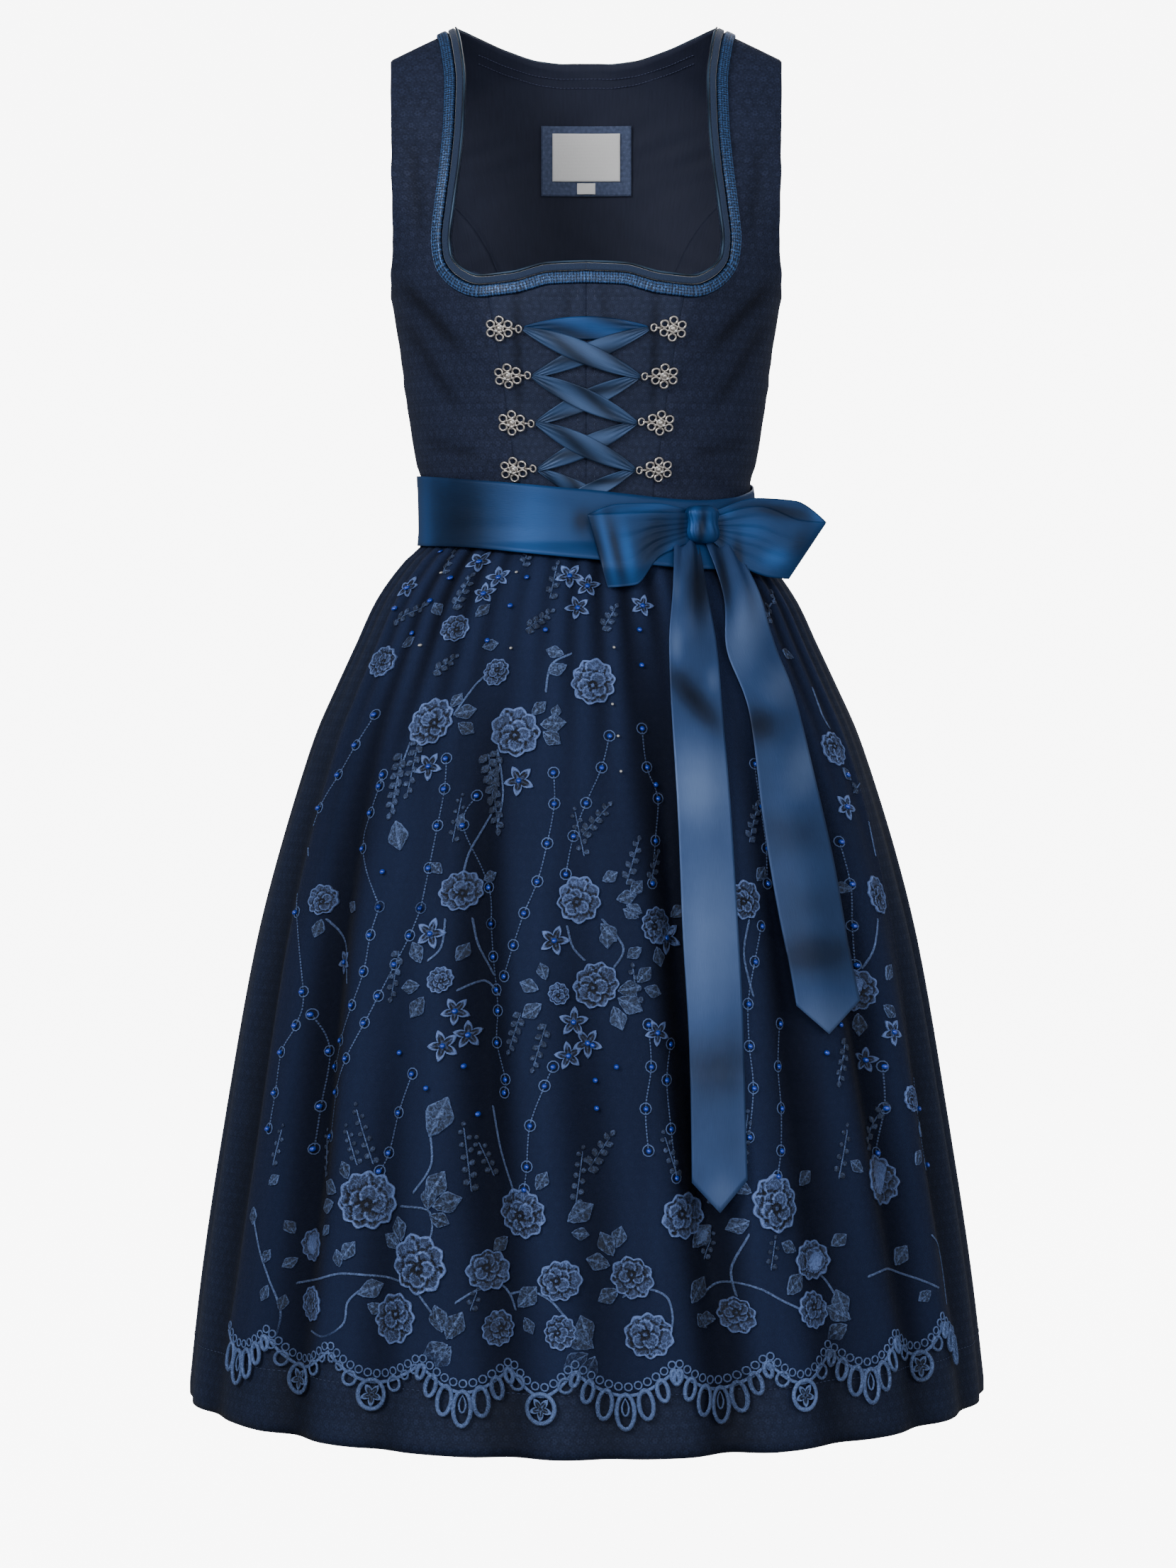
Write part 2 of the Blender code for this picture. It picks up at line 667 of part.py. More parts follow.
def fold_depth(half, degrees, drop):
    """How far the skirt's cloth lies inside its outline there."""
    down = (drop - WAIST_DROP) / (HEM_DROP - WAIST_DROP)
    depth = 0.0
    for fold in FOLDS:
        if fold.half != half:
            continue
        middle = fold.at_waist + (fold.at_hem - fold.at_waist) * down
        grown = smoothstep(fold.start, fold.start + FOLD_RAMP, drop)
        depth += fold.depth * grown * math.exp(-(((degrees - middle) / fold.spread) ** 2))
    fading = 1.0 - smoothstep(WAIST_DROP, GATHERS_FADE_BY, drop)
    wave = 0.5 - 0.5 * math.cos(math.radians(degrees) * 2.0 * GATHERS_PER_HALF)
    return depth + GATHER_DEPTH * fading * wave


def on_skirt(half, degrees, drop, out):
    """A point level with the folded skirt, moved straight out by that much."""
    angle, root = math.radians(degrees), math.sqrt(drop)
    normal = slopes_and_normal(half, angle, root)[2]
    level = Vector((normal.x, normal.y, 0.0)).normalized()
    return on_figure(half, angle, root) + level * (out - fold_depth(half, degrees, drop))


def skirt_half(half, material):
    """Half of the gathered skirt, from side seam to side seam."""
    columns = GATHERS_PER_HALF * COLUMNS_PER_GATHER

    def place(u, v, inner):
        degrees = 180.0 * u / columns - 90.0
        return on_skirt(half, degrees, SKIRT_ROWS[round(v)], -SKIRT_WALL if inner else 0.0)

    return wall(f"skirt_{half}", columns, len(SKIRT_ROWS) - 1, place, material)


def scallop_drop(column):
    """The drop of the apron's cord line at a column."""
    part = ((column - CUSP_COLUMN) % COLUMNS_PER_SCALLOP) / COLUMNS_PER_SCALLOP
    return CORD_DROP + SCALLOP_DEPTH * math.sin(math.pi * part)


def cut_loops(mesh, columns, last_row):
    """Opens a drop-shaped hole in each cell of the last row, and gives each cell a round tip."""
    last = [face for face in mesh.faces if face.calc_center_median().y > last_row]
    edges = {edge for face in last for edge in face.edges}
    tips = [edge for edge in edges if min(vert.co.y for vert in edge.verts) > last_row + 0.5]
    bmesh.ops.subdivide_edges(mesh, edges=tips, cuts=1)
    for vert in mesh.verts:
        if vert.co.y > last_row + 0.5 and abs(vert.co.x - round(vert.co.x)) > 0.25:
            vert.co.y += LOOP_TIP / LOOP_DEPTH
    last = [face for face in mesh.faces if face.calc_center_median().y > last_row]
    bmesh.ops.inset_individual(mesh, faces=last, thickness=LOOP_INSET, use_even_offset=True)
    for face in last:
        middle = face.calc_center_median()
        for vert in face.verts:
            if vert.co.y < middle.y:
                vert.co.x = middle.x + (vert.co.x - middle.x) * LOOP_NARROWING
    bmesh.ops.delete(mesh, geom=last, context="FACES_ONLY")


def apron(material):
    """The lace apron on the skirt's front, its scalloped edge cut into open loops."""
    columns = APRON_LAST_COLUMN - APRON_FIRST_COLUMN
    cord_row = len(APRON_ROWS)
    step = 180.0 / (GATHERS_PER_HALF * COLUMNS_PER_GATHER)

    def place(u, v, inner):
        column = u + APRON_FIRST_COLUMN
        if v <= cord_row - 1:
            drop = APRON_ROWS[round(v)]
        else:
            cord = scallop_drop(column)
            if v <= cord_row:
                drop = cord
            else:
                drop = cord + (v - cord_row) * LOOP_DEPTH
        low = APRON_EDGE_LOW if v > cord_row - 1 else APRON_LOW
        return on_skirt("front", column * step, drop, low + (0.0 if inner else LACE_WALL))

    return wall(
        "apron_lace", columns, cord_row + 1, place, material,
        cut=lambda mesh: cut_loops(mesh, columns, cord_row),
    )


def sash_at(degrees, column):
    """The sash's sag or its height over the cloth, at an angle from the front's middle."""
    wrapped = (degrees + 180.0) % 360.0 - 180.0
    angles = [point.angle for point in SASH_POINTS]
    return along(angles, [getattr(point, column) for point in SASH_POINTS], wrapped)


def sash(material):
    """The satin band round the waist, one closed ring."""
    mesh = bmesh.new()
    rings = []
    profile = [(row / SASH_ROWS, SASH_THICK) for row in range(SASH_ROWS + 1)]
    profile += [(part, 0.0) for part, _ in reversed(profile)]
    for column in range(SASH_COLUMNS):
        degrees = 360.0 * column / SASH_COLUMNS - 90.0
        half, turned = ("front", degrees) if degrees <= 90.0 else ("back", 180.0 - degrees)
        ring = []
        for part, thick in profile:
            drop = SASH_TOP_DROP + sash_at(degrees, "sag") + part * SASH_WIDTH
            out = sash_at(degrees, "low") + thick
            ring.append(mesh.verts.new(over(half, math.radians(turned), math.sqrt(drop), out)))
        rings.append(ring)
    edges = []
    for ring in rings:
        edges.append([mesh.edges.new((a, b)) for a, b in zip(ring, ring[1:] + ring[:1])])
    for this, following in zip(edges, edges[1:] + edges[:1]):
        bmesh.ops.bridge_loops(mesh, edges=this + following)
    return finished("sash", mesh, material)


def surface_axes(half, x, z):
    """The normal, the level direction and the upward direction of the surface at a place."""
    drop = drop_of(x, z)
    normal = slopes_and_normal(half, angle_of(x, drop), math.sqrt(drop))[2]
    level = Vector((0.0, 0.0, 1.0)).cross(normal).normalized()
    if half == "back":
        level = -level
    return normal, level, normal.cross(level) if half == "front" else level.cross(normal)


def hook(row, number, sign, material):
    """A flat rosette of petals with an eye tab that points to the front's middle."""
    mesh = bmesh.new()
    corners = CORNERS_PER_PETAL * ROSETTE_PETALS
    outline = []
    reach = row.rosette - row.eye + EYE_TAB_PAST_EYE
    for n in range(corners):
        turn = 2.0 * math.pi * n / corners
        petal = 1.0 + PETAL_RELIEF * math.cos(ROSETTE_PETALS * turn)
        outline.append((
            ROSETTE_WIDTH / 2.0 * petal * math.cos(turn) / (1.0 + PETAL_RELIEF),
            ROSETTE_HEIGHT / 2.0 * petal * math.sin(turn) / (1.0 + PETAL_RELIEF),
        ))
    half_tab = reach * math.sin(math.radians(EYE_TAB_HALF_ANGLE))
    outline[0:1] = [(reach, -half_tab), (reach, half_tab)]
    face = mesh.faces.new([mesh.verts.new((across, up, 0.0)) for across, up in outline])
    raised = bmesh.ops.extrude_face_region(mesh, geom=[face])
    for part in raised["geom"]:
        if isinstance(part, bmesh.types.BMVert):
            part.co.z = ROSETTE_THICK
    normal, level, up = surface_axes("front", row.rosette, row.z)
    base = at_place("front", row.rosette, row.z, ROSETTE_LOW)
    for vert in mesh.verts:
        point = base - level * vert.co.x + up * vert.co.y + normal * vert.co.z
        vert.co = Vector((sign * point.x, point.y, point.z))
    return finished(f"hook_{side_name(sign)}_{number + 1}", mesh, material)


def ribbon_stretch(name, start, end, width, end_width, low, material):
    """A flat ribbon over the front between two places, widest at its middle."""

    def place(u, v, inner):
        t = v / STRETCH_STEPS
        x = start[0] + (end[0] - start[0]) * t
        z = start[1] + (end[1] - start[1]) * t
        pinch = end_width - PINCHED_WIDTH
        swell = (width - PINCHED_WIDTH - pinch * 0.5) * math.sin(math.pi * t)
        offset = (u - 0.5) * (PINCHED_WIDTH + pinch * t + swell)
        slant = Vector((end[0] - start[0], end[1] - start[1])).normalized()
        out = low + (0.0 if inner else RIBBON_WALL)
        return at_place("front", x - slant.y * offset, z + slant.x * offset, out)

    return wall(name, 1, STRETCH_STEPS, place, material)


def lacing(material):
    """The lace between the eyes, and its ends going down under the sash."""
    inside = STRETCH_STARTS_INSIDE
    for number, stretch in enumerate(STRETCHES):
        start_row, end_row = HOOK_ROWS[stretch.from_row], HOOK_ROWS[stretch.to_row]
        start = (stretch.from_side * (start_row.eye - inside), start_row.z)
        end = (stretch.to_side * (end_row.eye - inside), end_row.z)
        ribbon_stretch(
            f"lacing_{number + 1}", start, end, stretch.width, PINCHED_WIDTH,
            LAYER_LOWS[stretch.layer], material,
        )
    row = HOOK_ROWS[-1]
    for number, sign, layer in ((8, 1, 1), (9, -1, 0)):
        start = (sign * (row.eye - inside), row.z)
        end = (-sign * TUCK_SIDE, row.z - TUCK_DROP)
        ribbon_stretch(
            f"lacing_{number}", start, end, TUCK_WIDTH, TUCK_WIDTH, LAYER_LOWS[layer], material
        )


def bow_place(distance, z, out):
    """A place beside the knot: round the body on its right, and straight on past its left.

    It stands out level, because the normals above and below the waist run into each other.
    """
    angle = math.radians(KNOT_ANGLE) + min(distance, 0.0) / LOOP_SPEED
    beside, _, normal = slopes_and_normal("front", angle, math.sqrt(-KNOT_Z))
    outward = Vector((normal.x, normal.y, 0.0)).normalized()
    place = on_figure("front", angle, math.sqrt(-z)) + outward * out
    return place + beside.normalized() * max(distance, 0.0)


def bow_loop(loop, material):
    """A ribbon that runs out from the knot, turns over and runs back in front."""
    start = LOOP_STARTS_AT * KNOT_SIZE.x / 2.0 / abs(loop.reach)
    first = math.acos(1.0 - 2.0 * start)
    outward = math.copysign(1.0, loop.reach)

    def place(u, v, inner):
        turn = first + 2.0 * (math.pi - first) * v / LOOP_STEPS
        part = (1.0 - math.cos(turn)) / 2.0
        across = u / LOOP_ROWS - 0.5
        shrink = RIBBON_WALL if inner else 0.0
        spread = loop.thick * (LOOP_ROOT_THICK + (1.0 - LOOP_ROOT_THICK) * part)
        bulge = LOOP_BULGE * math.sin(math.pi * (across + 0.5)) * part
        out = loop.low + spread / 2.0 - math.sin(turn) * (spread / 2.0 - shrink + bulge)
        widening = smoothstep(0.0, LOOP_FULL_WIDTH_BY, part)
        width = LOOP_ROOT_WIDTH + (loop.width - LOOP_ROOT_WIDTH) * widening
        distance = outward * part * (abs(loop.reach) - 2.0 * loop.slant * across - shrink)
        z = KNOT_Z - loop.droop * part + LOOP_BACK_LIFT * math.sin(turn) * part - across * width
        return bow_place(distance, z, out)

    return wall(loop.name, LOOP_ROWS, LOOP_STEPS, place, material)


def bow_knot(material):
    """The wrapped knot: a cushion with a shallow waist round it."""
    mesh = bmesh.new()
    bmesh.ops.create_uvsphere(mesh, u_segments=12, v_segments=8, radius=0.5)
    knot = math.radians(KNOT_ANGLE)
    root = math.sqrt(-KNOT_Z)
    normal = slopes_and_normal("front", knot, root)[2]
    level = Vector((0.0, 0.0, 1.0)).cross(normal).normalized()
    sash_high = sash_at(KNOT_ANGLE, "low") + SASH_THICK
    base = over("front", knot, root, sash_high + KNOT_STANDS_OFF + KNOT_SIZE.y / 2.0)
    for vert in mesh.verts:
        waist = 1.0 - KNOT_PINCH * math.exp(-((vert.co.z / KNOT_PINCH_REACH) ** 2))
        point = vert.co.x * KNOT_SIZE.x * waist * level + vert.co.y * KNOT_SIZE.y * -normal
        vert.co = base + point + Vector((0.0, 0.0, vert.co.z * KNOT_SIZE.z))
    return finished("bow_knot", mesh, material)


def bow_tail(name, rows, material):
    """A ribbon end that hangs over the apron and is cut to a point."""
    cells = 2 * (len(rows) - 1)

    def place(u, v, inner):
        x, z, half_width, low = smooth_row(rows, v / cells * (len(rows) - 1))
        across = u / TAIL_COLUMNS * 2.0 - 1.0
        if v > cells - 0.5:
            z -= TAIL_TIP * (1.0 - abs(across))
        ripple = TAIL_RIPPLE * (1.0 - math.cos(2.0 * math.pi * across)) / 2.0
        out = low + ripple + (0.0 if inner else RIBBON_WALL)
        return at_place("front", x + across * half_width, z, out)

    return wall(name, TAIL_COLUMNS, cells, place, material)


def label(row, material):
    """A bare tag on the inside of the back."""
    columns, rows = 4, 2

    def place(u, v, inner):
        x = (u / columns - 0.5) * row.width
        z = row.z + (v / rows - 0.5) * row.height
        return at_place("back", x, z, -BODICE_WALL - row.depth + (0.0 if inner else RIBBON_WALL))

    return wall(row.name, columns, rows, place, material)


def main():
    for old in list(bpy.data.objects):
        bpy.data.objects.remove(old, do_unlink=True)
    bodice = finish("bodice_jacquard", "bodice", 0.55)
    centre = finish("centre_panel_jacquard", "bodice_centre", 0.45)
    skirt = finish("skirt_jacquard", "skirt", 0.6)
    satin = finish("sash_satin", "sash", 0.3)
    bow_satin = finish("bow_satin", "bow", 0.3)
    silver = finish("hook_silver", "silver", 0.3, 1.0)
    lacing_satin = finish("lacing_satin", "lacing", 0.3)
    for sign in (-1, 1):
        centre_front(sign, centre)
        side_front(sign, bodice)
        side_back(sign, bodice)
    centre_back(bodice)
    neck_trims({
        "neck_velvet": finish("velvet", "velvet", 0.9),
        "neck_braid": finish("braid", "braid", 0.4),
    })
    skirt_half("front", skirt)
    skirt_half("back", skirt)
    apron(finish("apron_lace", "apron", 0.6))
    sash(satin)
    for row, place in enumerate(HOOK_ROWS):
        for sign in (-1, 1):
            hook(place, row, sign, silver)
    lacing(lacing_satin)
    bow_knot(bow_satin)
    for loop in LOOPS:
        bow_loop(loop, bow_satin)
    for name, rows in TAILS.items():
        bow_tail(name, rows, bow_satin)
    tags = (finish("patch", "patch", 0.8), finish("woven_label", "label", 0.7))
    for row in LABELS:
        label(row, tags[0] if row.name == "label_patch" else tags[1])


main()
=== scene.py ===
"""A laced dirndl dressed around its frame: jacquard bodice and skirt, lace apron, satin sash.

Metres, +Z up. The origin is midway between the shoulder straps, the front faces -Y, and +X is the
wearer's left. Every cloth is a fine grid laid on one shared surface of the garment.
"""

import random
from collections import namedtuple
from math import atan2, copysign, cos, exp, floor, hypot, pi, radians, sin, sqrt

import bmesh
import bpy
import numpy as np
from bpy.props import FloatProperty, FloatVectorProperty, PointerProperty
from mathutils import Matrix, Vector


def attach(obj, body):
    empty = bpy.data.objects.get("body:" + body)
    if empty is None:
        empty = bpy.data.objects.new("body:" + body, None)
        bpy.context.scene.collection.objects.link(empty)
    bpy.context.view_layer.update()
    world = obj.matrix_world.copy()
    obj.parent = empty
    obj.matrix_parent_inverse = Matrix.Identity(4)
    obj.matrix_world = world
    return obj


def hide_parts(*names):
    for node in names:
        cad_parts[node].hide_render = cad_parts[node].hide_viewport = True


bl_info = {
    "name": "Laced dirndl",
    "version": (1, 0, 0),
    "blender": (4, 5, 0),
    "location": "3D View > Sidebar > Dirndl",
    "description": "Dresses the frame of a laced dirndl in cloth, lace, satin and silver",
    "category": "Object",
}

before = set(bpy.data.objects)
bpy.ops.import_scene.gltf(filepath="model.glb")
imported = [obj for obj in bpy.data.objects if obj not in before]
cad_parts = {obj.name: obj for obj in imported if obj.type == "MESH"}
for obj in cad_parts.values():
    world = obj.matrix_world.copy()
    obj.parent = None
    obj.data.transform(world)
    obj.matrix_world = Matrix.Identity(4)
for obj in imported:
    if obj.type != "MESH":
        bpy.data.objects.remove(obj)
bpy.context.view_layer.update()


def rows_of(kind, *rows):
    """A table whose columns have names."""
    return tuple(kind(*row) for row in rows)


# Garment sizes
BODICE_WALL = 0.0020
SKIRT_WALL = 0.0020
BODICE_ROUND = 0.125
SKIRT_ROUND = 0.315
HEM_STITCHES_UP = 0.045
LEAST_SHEET_WIDTH = 0.0101
PLACKET_SIDE = 0.0062
PLACKET_TOP_DROP = 0.206
PLACKET_END_DROP = 0.352
FACING_ROWS = (0.0095, 0.0155)
FACING_HALF_WIDTH = 0.084
DEEP_CREASE = 0.0017
RIBBON_WALL = 0.0010
SATIN_WALL = 0.0007
WAIST_DROP = 0.380
HEM_DROP = 1.039
NECK_HALF_WIDTH = 0.098
SHOULDER_SLOPE = 0.5
NAPE_ROUNDING = 0.040
SLOPE_FADES_FROM = 0.040
SLOPE_FADES_TO = 0.205
CUP_X = 0.070
CUP_Z = -0.222
CUP_RADIUS = 0.042
CUP_DEPTH = 0.009

# Sections of the garment, each an ellipse: its drop below the shoulder line and its half axes
Section = namedtuple("Section", "drop half_width front back")
SECTIONS = rows_of(
    Section,
    (0.0, 0.2, 0.0, 0.0), (0.004, 0.2, 0.012, 0.0145), (0.012, 0.1995, 0.023, 0.028),
    (0.025, 0.199, 0.035, 0.0435), (0.049, 0.197, 0.053, 0.064), (0.081, 0.192, 0.071, 0.076),
    (0.095, 0.188, 0.078, 0.08), (0.121, 0.177, 0.09, 0.086), (0.15, 0.166, 0.101, 0.089),
    (0.176, 0.1575, 0.108, 0.09), (0.205, 0.1488, 0.113, 0.089), (0.238, 0.143, 0.112, 0.087),
    (0.271, 0.139, 0.108, 0.084), (0.303, 0.1345, 0.102, 0.082), (0.329, 0.13, 0.0972, 0.081),
    (0.338, 0.1272, 0.0955, 0.08), (0.352, 0.125, 0.0925, 0.079), (0.38, 0.1244, 0.0905, 0.0785),
    (0.392, 0.127, 0.0935, 0.0815), (0.401, 0.137, 0.103, 0.092), (0.433, 0.161, 0.124, 0.114),
    (0.466, 0.177, 0.138, 0.128), (0.499, 0.193, 0.151, 0.141), (0.531, 0.208, 0.163, 0.153),
    (0.564, 0.22, 0.173, 0.163), (0.629, 0.24, 0.19, 0.179), (0.694, 0.256, 0.204, 0.191),
    (0.824, 0.279, 0.223, 0.208), (0.954, 0.299, 0.24, 0.222), (1.039, 0.309, 0.25, 0.23),
)

# Skirt folds: the trough's angle from the middle of its half, at the waist and at the hem, its
# depth at the hem, the angle over which it spreads, and the drop where it begins
Fold = namedtuple("Fold", "half at_waist at_hem depth spread start")
FOLDS = rows_of(
    Fold,
    ("front", 12.5, 20.0, 0.022, 3.8, 0.4), ("front", -24.0, -10.0, 0.015, 4.0, 0.43),
    ("front", -50.0, -45.0, 0.018, 4.2, 0.46), ("front", -36.0, -29.0, 0.008, 3.4, 0.6),
    ("front", -7.0, 3.0, 0.007, 3.4, 0.5), ("front", 32.0, 37.0, 0.01, 3.8, 0.44),
    ("front", 47.0, 54.0, 0.014, 4.2, 0.42), ("front", 66.0, 69.0, 0.009, 3.8, 0.55),
    ("front", -68.0, -66.0, 0.01, 4.0, 0.42), ("front", -81.0, -80.0, 0.005, 3.4, 0.6),
    ("front", 81.0, 82.0, 0.006, 3.4, 0.45), ("back", -77.0, -79.0, 0.01, 4.2, 0.42),
    ("back", -58.0, -55.0, 0.014, 4.5, 0.45), ("back", -37.0, -39.0, 0.008, 3.8, 0.55),
    ("back", -20.0, -17.0, 0.016, 4.4, 0.42), ("back", 3.0, 1.0, 0.009, 3.6, 0.5),
    ("back", 24.0, 21.0, 0.015, 4.6, 0.43), ("back", 43.0, 46.0, 0.009, 3.8, 0.58),
    ("back", 61.0, 63.0, 0.014, 4.4, 0.44), ("back", 79.0, 80.0, 0.007, 3.6, 0.5),
)
FOLD_RAMP = 0.34
FOLDS_FADE_SHARE = 0.45
GATHERS_PER_HALF = 24
GATHER_DEPTH = 0.0024
GATHERS_FADE_BY = 0.70

# The neck edge from its middle to the shoulder, as the side and the drop below the shoulder line
EdgePoint = namedtuple("EdgePoint", "side drop")
NECKLINE = rows_of(
    EdgePoint,
    (0.0, 0.186), (0.028, 0.187), (0.055, 0.193), (0.076, 0.1945), (0.09, 0.189), (0.099, 0.177),
    (0.1, 0.165), (0.097, 0.14), (0.093, 0.11), (0.0905, 0.078), (0.09, 0.05), (0.093, 0.022),
    (0.096, 0.006), (0.098, 0.0),
)
SEAM_MEETS_NECKLINE = 3
FRONT_ARMHOLE = rows_of(
    EdgePoint,
    (0.1485, 0.207), (0.1478, 0.198), (0.1468, 0.183), (0.146, 0.165), (0.1456, 0.14), (0.1458, 0.112),
    (0.1462, 0.08), (0.147, 0.05), (0.1478, 0.023), (0.1483, 0.006), (0.1485, 0.0),
)
BACK_NECKLINE = rows_of(
    EdgePoint,
    (0.0, 0.05), (0.015, 0.049), (0.035, 0.043), (0.06, 0.028), (0.08, 0.013), (0.092, 0.004), (0.098, 0.0),
)
SeamRow = namedtuple("SeamRow", "seam_side seam_drop side_drop")
FRONT_SEAM = rows_of(
    SeamRow,
    (0.049, 0.38, 0.38), (0.0505, 0.352, 0.352), (0.053, 0.336, 0.334), (0.0575, 0.302, 0.3),
    (0.0625, 0.268, 0.268), (0.068, 0.234, 0.237), (0.073, 0.208, 0.217),
)
BACK_SEAM = rows_of(
    SeamRow,
    (0.044, 0.38, 0.38), (0.045, 0.34, 0.35), (0.048, 0.29, 0.32), (0.054, 0.24, 0.29),
    (0.064, 0.195, 0.265), (0.078, 0.162, 0.245), (0.096, 0.135, 0.228), (0.118, 0.112, 0.215),
    (0.139, 0.095, 0.207),
)
ARMHOLE_SCOOP = 0.026
SEAM_TUCK = 0.0004
BACK_ARMHOLE = rows_of(
    EdgePoint,
    (0.1425, 0.072), (0.1455, 0.048), (0.1475, 0.023), (0.1483, 0.006), (0.1485, 0.0),
)

# Bodice creases seen from the front or the back: where each starts and ends, how wide and deep
Crease = namedtuple("Crease", "half x1 z1 x2 z2 width depth")
CREASES = rows_of(
    Crease,
    ("front", -0.047, -0.208, -0.046, -0.3, 0.0035, 0.0011),
    ("front", -0.031, -0.2, -0.03, -0.29, 0.004, 0.0009),
    ("front", 0.051, -0.204, 0.05, -0.3, 0.0035, 0.0011),
    ("front", 0.012, -0.2, 0.016, -0.25, 0.0035, 0.0006),
    ("front", -0.14, -0.19, -0.085, -0.262, 0.005, 0.0012),
    ("front", -0.138, -0.215, -0.095, -0.3, 0.005, 0.0009),
    ("front", 0.14, -0.196, 0.092, -0.25, 0.0055, 0.0014),
    ("front", 0.138, -0.222, 0.096, -0.292, 0.005, 0.001),
    ("front", -0.118, -0.318, -0.08, -0.33, 0.0045, 0.0008),
    ("front", 0.12, -0.314, 0.078, -0.327, 0.0045, 0.0008),
    ("front", -0.128, -0.08, -0.122, -0.16, 0.005, 0.0007),
    ("front", 0.129, -0.09, 0.123, -0.17, 0.005, 0.0007),
    ("back", -0.128, -0.215, -0.075, -0.285, 0.0055, 0.0012),
    ("back", 0.126, -0.222, 0.08, -0.3, 0.005, 0.001),
    ("back", -0.1, -0.316, -0.055, -0.326, 0.0045, 0.0009),
    ("back", 0.104, -0.312, 0.05, -0.328, 0.0045, 0.0008),
    ("back", -0.02, -0.322, 0.034, -0.318, 0.004, 0.0006),
    ("back", -0.118, -0.09, -0.105, -0.165, 0.0055, 0.0008),
    ("back", 0.119, -0.085, 0.103, -0.158, 0.0055, 0.0008),
)

# Neck trims: distances in from the neck edge, and heights over the cloth
BRAID_MIDDLE = 0.01235
BRAID_REPEAT = 0.0042
Trim = namedtuple("Trim", "name start end low high replaces")
TRIMS = rows_of(
    Trim,
    ("satin_piping", -0.0002, 0.0014, 0.0002, 0.0018, False),
    ("neck_velvet", 0.0015, 0.0073, 0.0003, 0.0017, True),
    ("neck_braid", 0.0076, 0.0171, 0.0003, 0.0024, True),
)

# Hooks, one row for each height: the rosette's and the eye's distance from the middle
HookRow = namedtuple("HookRow", "z rosette eye")
HOOK_ROWS = rows_of(
    HookRow,
    (-0.234, 0.063, 0.0487), (-0.268, 0.057, 0.0422), (-0.302, 0.0543, 0.0397), (-0.336, 0.053, 0.0383),
)
ROSETTE_WIDTH = 0.0232
ROSETTE_HEIGHT = 0.0194
ROSETTE_LOW = 0.0007
ROSETTE_TILTS = (2.1, -1.5, 2.7, -2.4)

# The lace's stretches: the rows and sides they run between, their widest and their layer
Stretch = namedtuple("Stretch", "from_row from_side to_row to_side width layer")
STRETCHES = rows_of(
    Stretch,
    (0, -1, 0, 1, 0.017, 0), (0, 1, 1, -1, 0.014, 1), (1, 1, 2, -1, 0.014, 1), (2, 1, 3, -1, 0.014, 1),
    (0, -1, 1, 1, 0.0155, 2), (1, -1, 2, 1, 0.0155, 2), (2, -1, 3, 1, 0.0155, 2),
)
LAYER_LOWS = (0.0008, 0.0022, 0.0036)
PINCHED_WIDTH = 0.0022
STRETCH_STARTS_INSIDE = 0.0035
PLEAT_SHIFT = 1.3
# The lace's two ends, tucked in below the last hooks
Tuck = namedtuple("Tuck", "number side layer")
TUCKS = rows_of(Tuck, (8, 1, 1), (9, -1, 0))
TUCK_SIDE = 0.006
TUCK_DROP = 0.021
TUCK_WIDTH = 0.0110

# Sash: its width, how its top sags towards the bow, and its height over the cloth
SASH_THICK = 0.0012
SASH_WIDTH = 0.0550
SASH_TOP_DROP = 0.338
SASH_CREASE_SHARE = 0.45
SASH_PULLED = 0.5
SashPoint = namedtuple("SashPoint", "angle sag low")
SASH_POINTS = rows_of(
    SashPoint,
    (-180.0, 0.0, 0.0014), (-90.0, 0.0, 0.0014), (-68.0, 0.0012, 0.0022), (-34.0, 0.0052, 0.005),
    (0.0, 0.0125, 0.0052), (40.0, 0.02, 0.0052), (55.0, 0.0182, 0.005), (73.0, 0.0135, 0.0022),
    (95.0, 0.007, 0.0014), (130.0, 0.0, 0.0014), (180.0, 0.0, 0.0014),
)
# Soft creases along the sash, each from one angle and part of its width to another
SashCrease = namedtuple("SashCrease", "angle1 part1 angle2 part2 width depth")
SASH_CREASES = rows_of(
    SashCrease,
    (-75.0, 0.3, -30.0, 0.42, 0.1, 0.0007), (-60.0, 0.75, -22.0, 0.62, 0.09, 0.0008),
    (-20.0, 0.25, 30.0, 0.4, 0.09, 0.0008), (-10.0, 0.8, 28.0, 0.6, 0.08, 0.0009),
    (2.0, 0.55, 32.0, 0.5, 0.06, 0.0007), (52.0, 0.5, 84.0, 0.34, 0.08, 0.0009),
    (50.0, 0.62, 88.0, 0.76, 0.08, 0.0008), (100.0, 0.35, 150.0, 0.46, 0.09, 0.0007),
    (118.0, 0.74, 168.0, 0.66, 0.08, 0.0006), (-160.0, 0.3, -112.0, 0.42, 0.09, 0.0007),
    (-150.0, 0.72, -100.0, 0.62, 0.09, 0.0006),
)

# Bow: its knot on the sash, and its loops and tails
KNOT_ANGLE = 41.5
KNOT_Z = -0.377
KNOT_SIZE = Vector((0.0245, 0.0170, 0.0310))
KNOT_STANDS_OFF = 0.0010
KNOT_SHIFT = 0.0060
KNOT_SQUARED = 0.72
Loop = namedtuple("Loop", "name low thick over_body")
LOOPS = rows_of(
    Loop,
    ("bow_loop_right", 0.013, 0.02, True), ("bow_loop_left", 0.0108, 0.026, False),
)
LOOP_ROOT_THICK = 0.35
LOOP_CREASE_SHARE = 0.5
LOOP_FALLS_BACK = 0.45
LOOP_CLEAR = 0.004
LOOP_CLEAR_SHARE = 0.12
LOOP_CLEAR_SOFTNESS = 0.005
LOOP_FLAT = {"bow_loop_right": (0.052, 0.155), "bow_loop_left": (0.056, 0.170)}
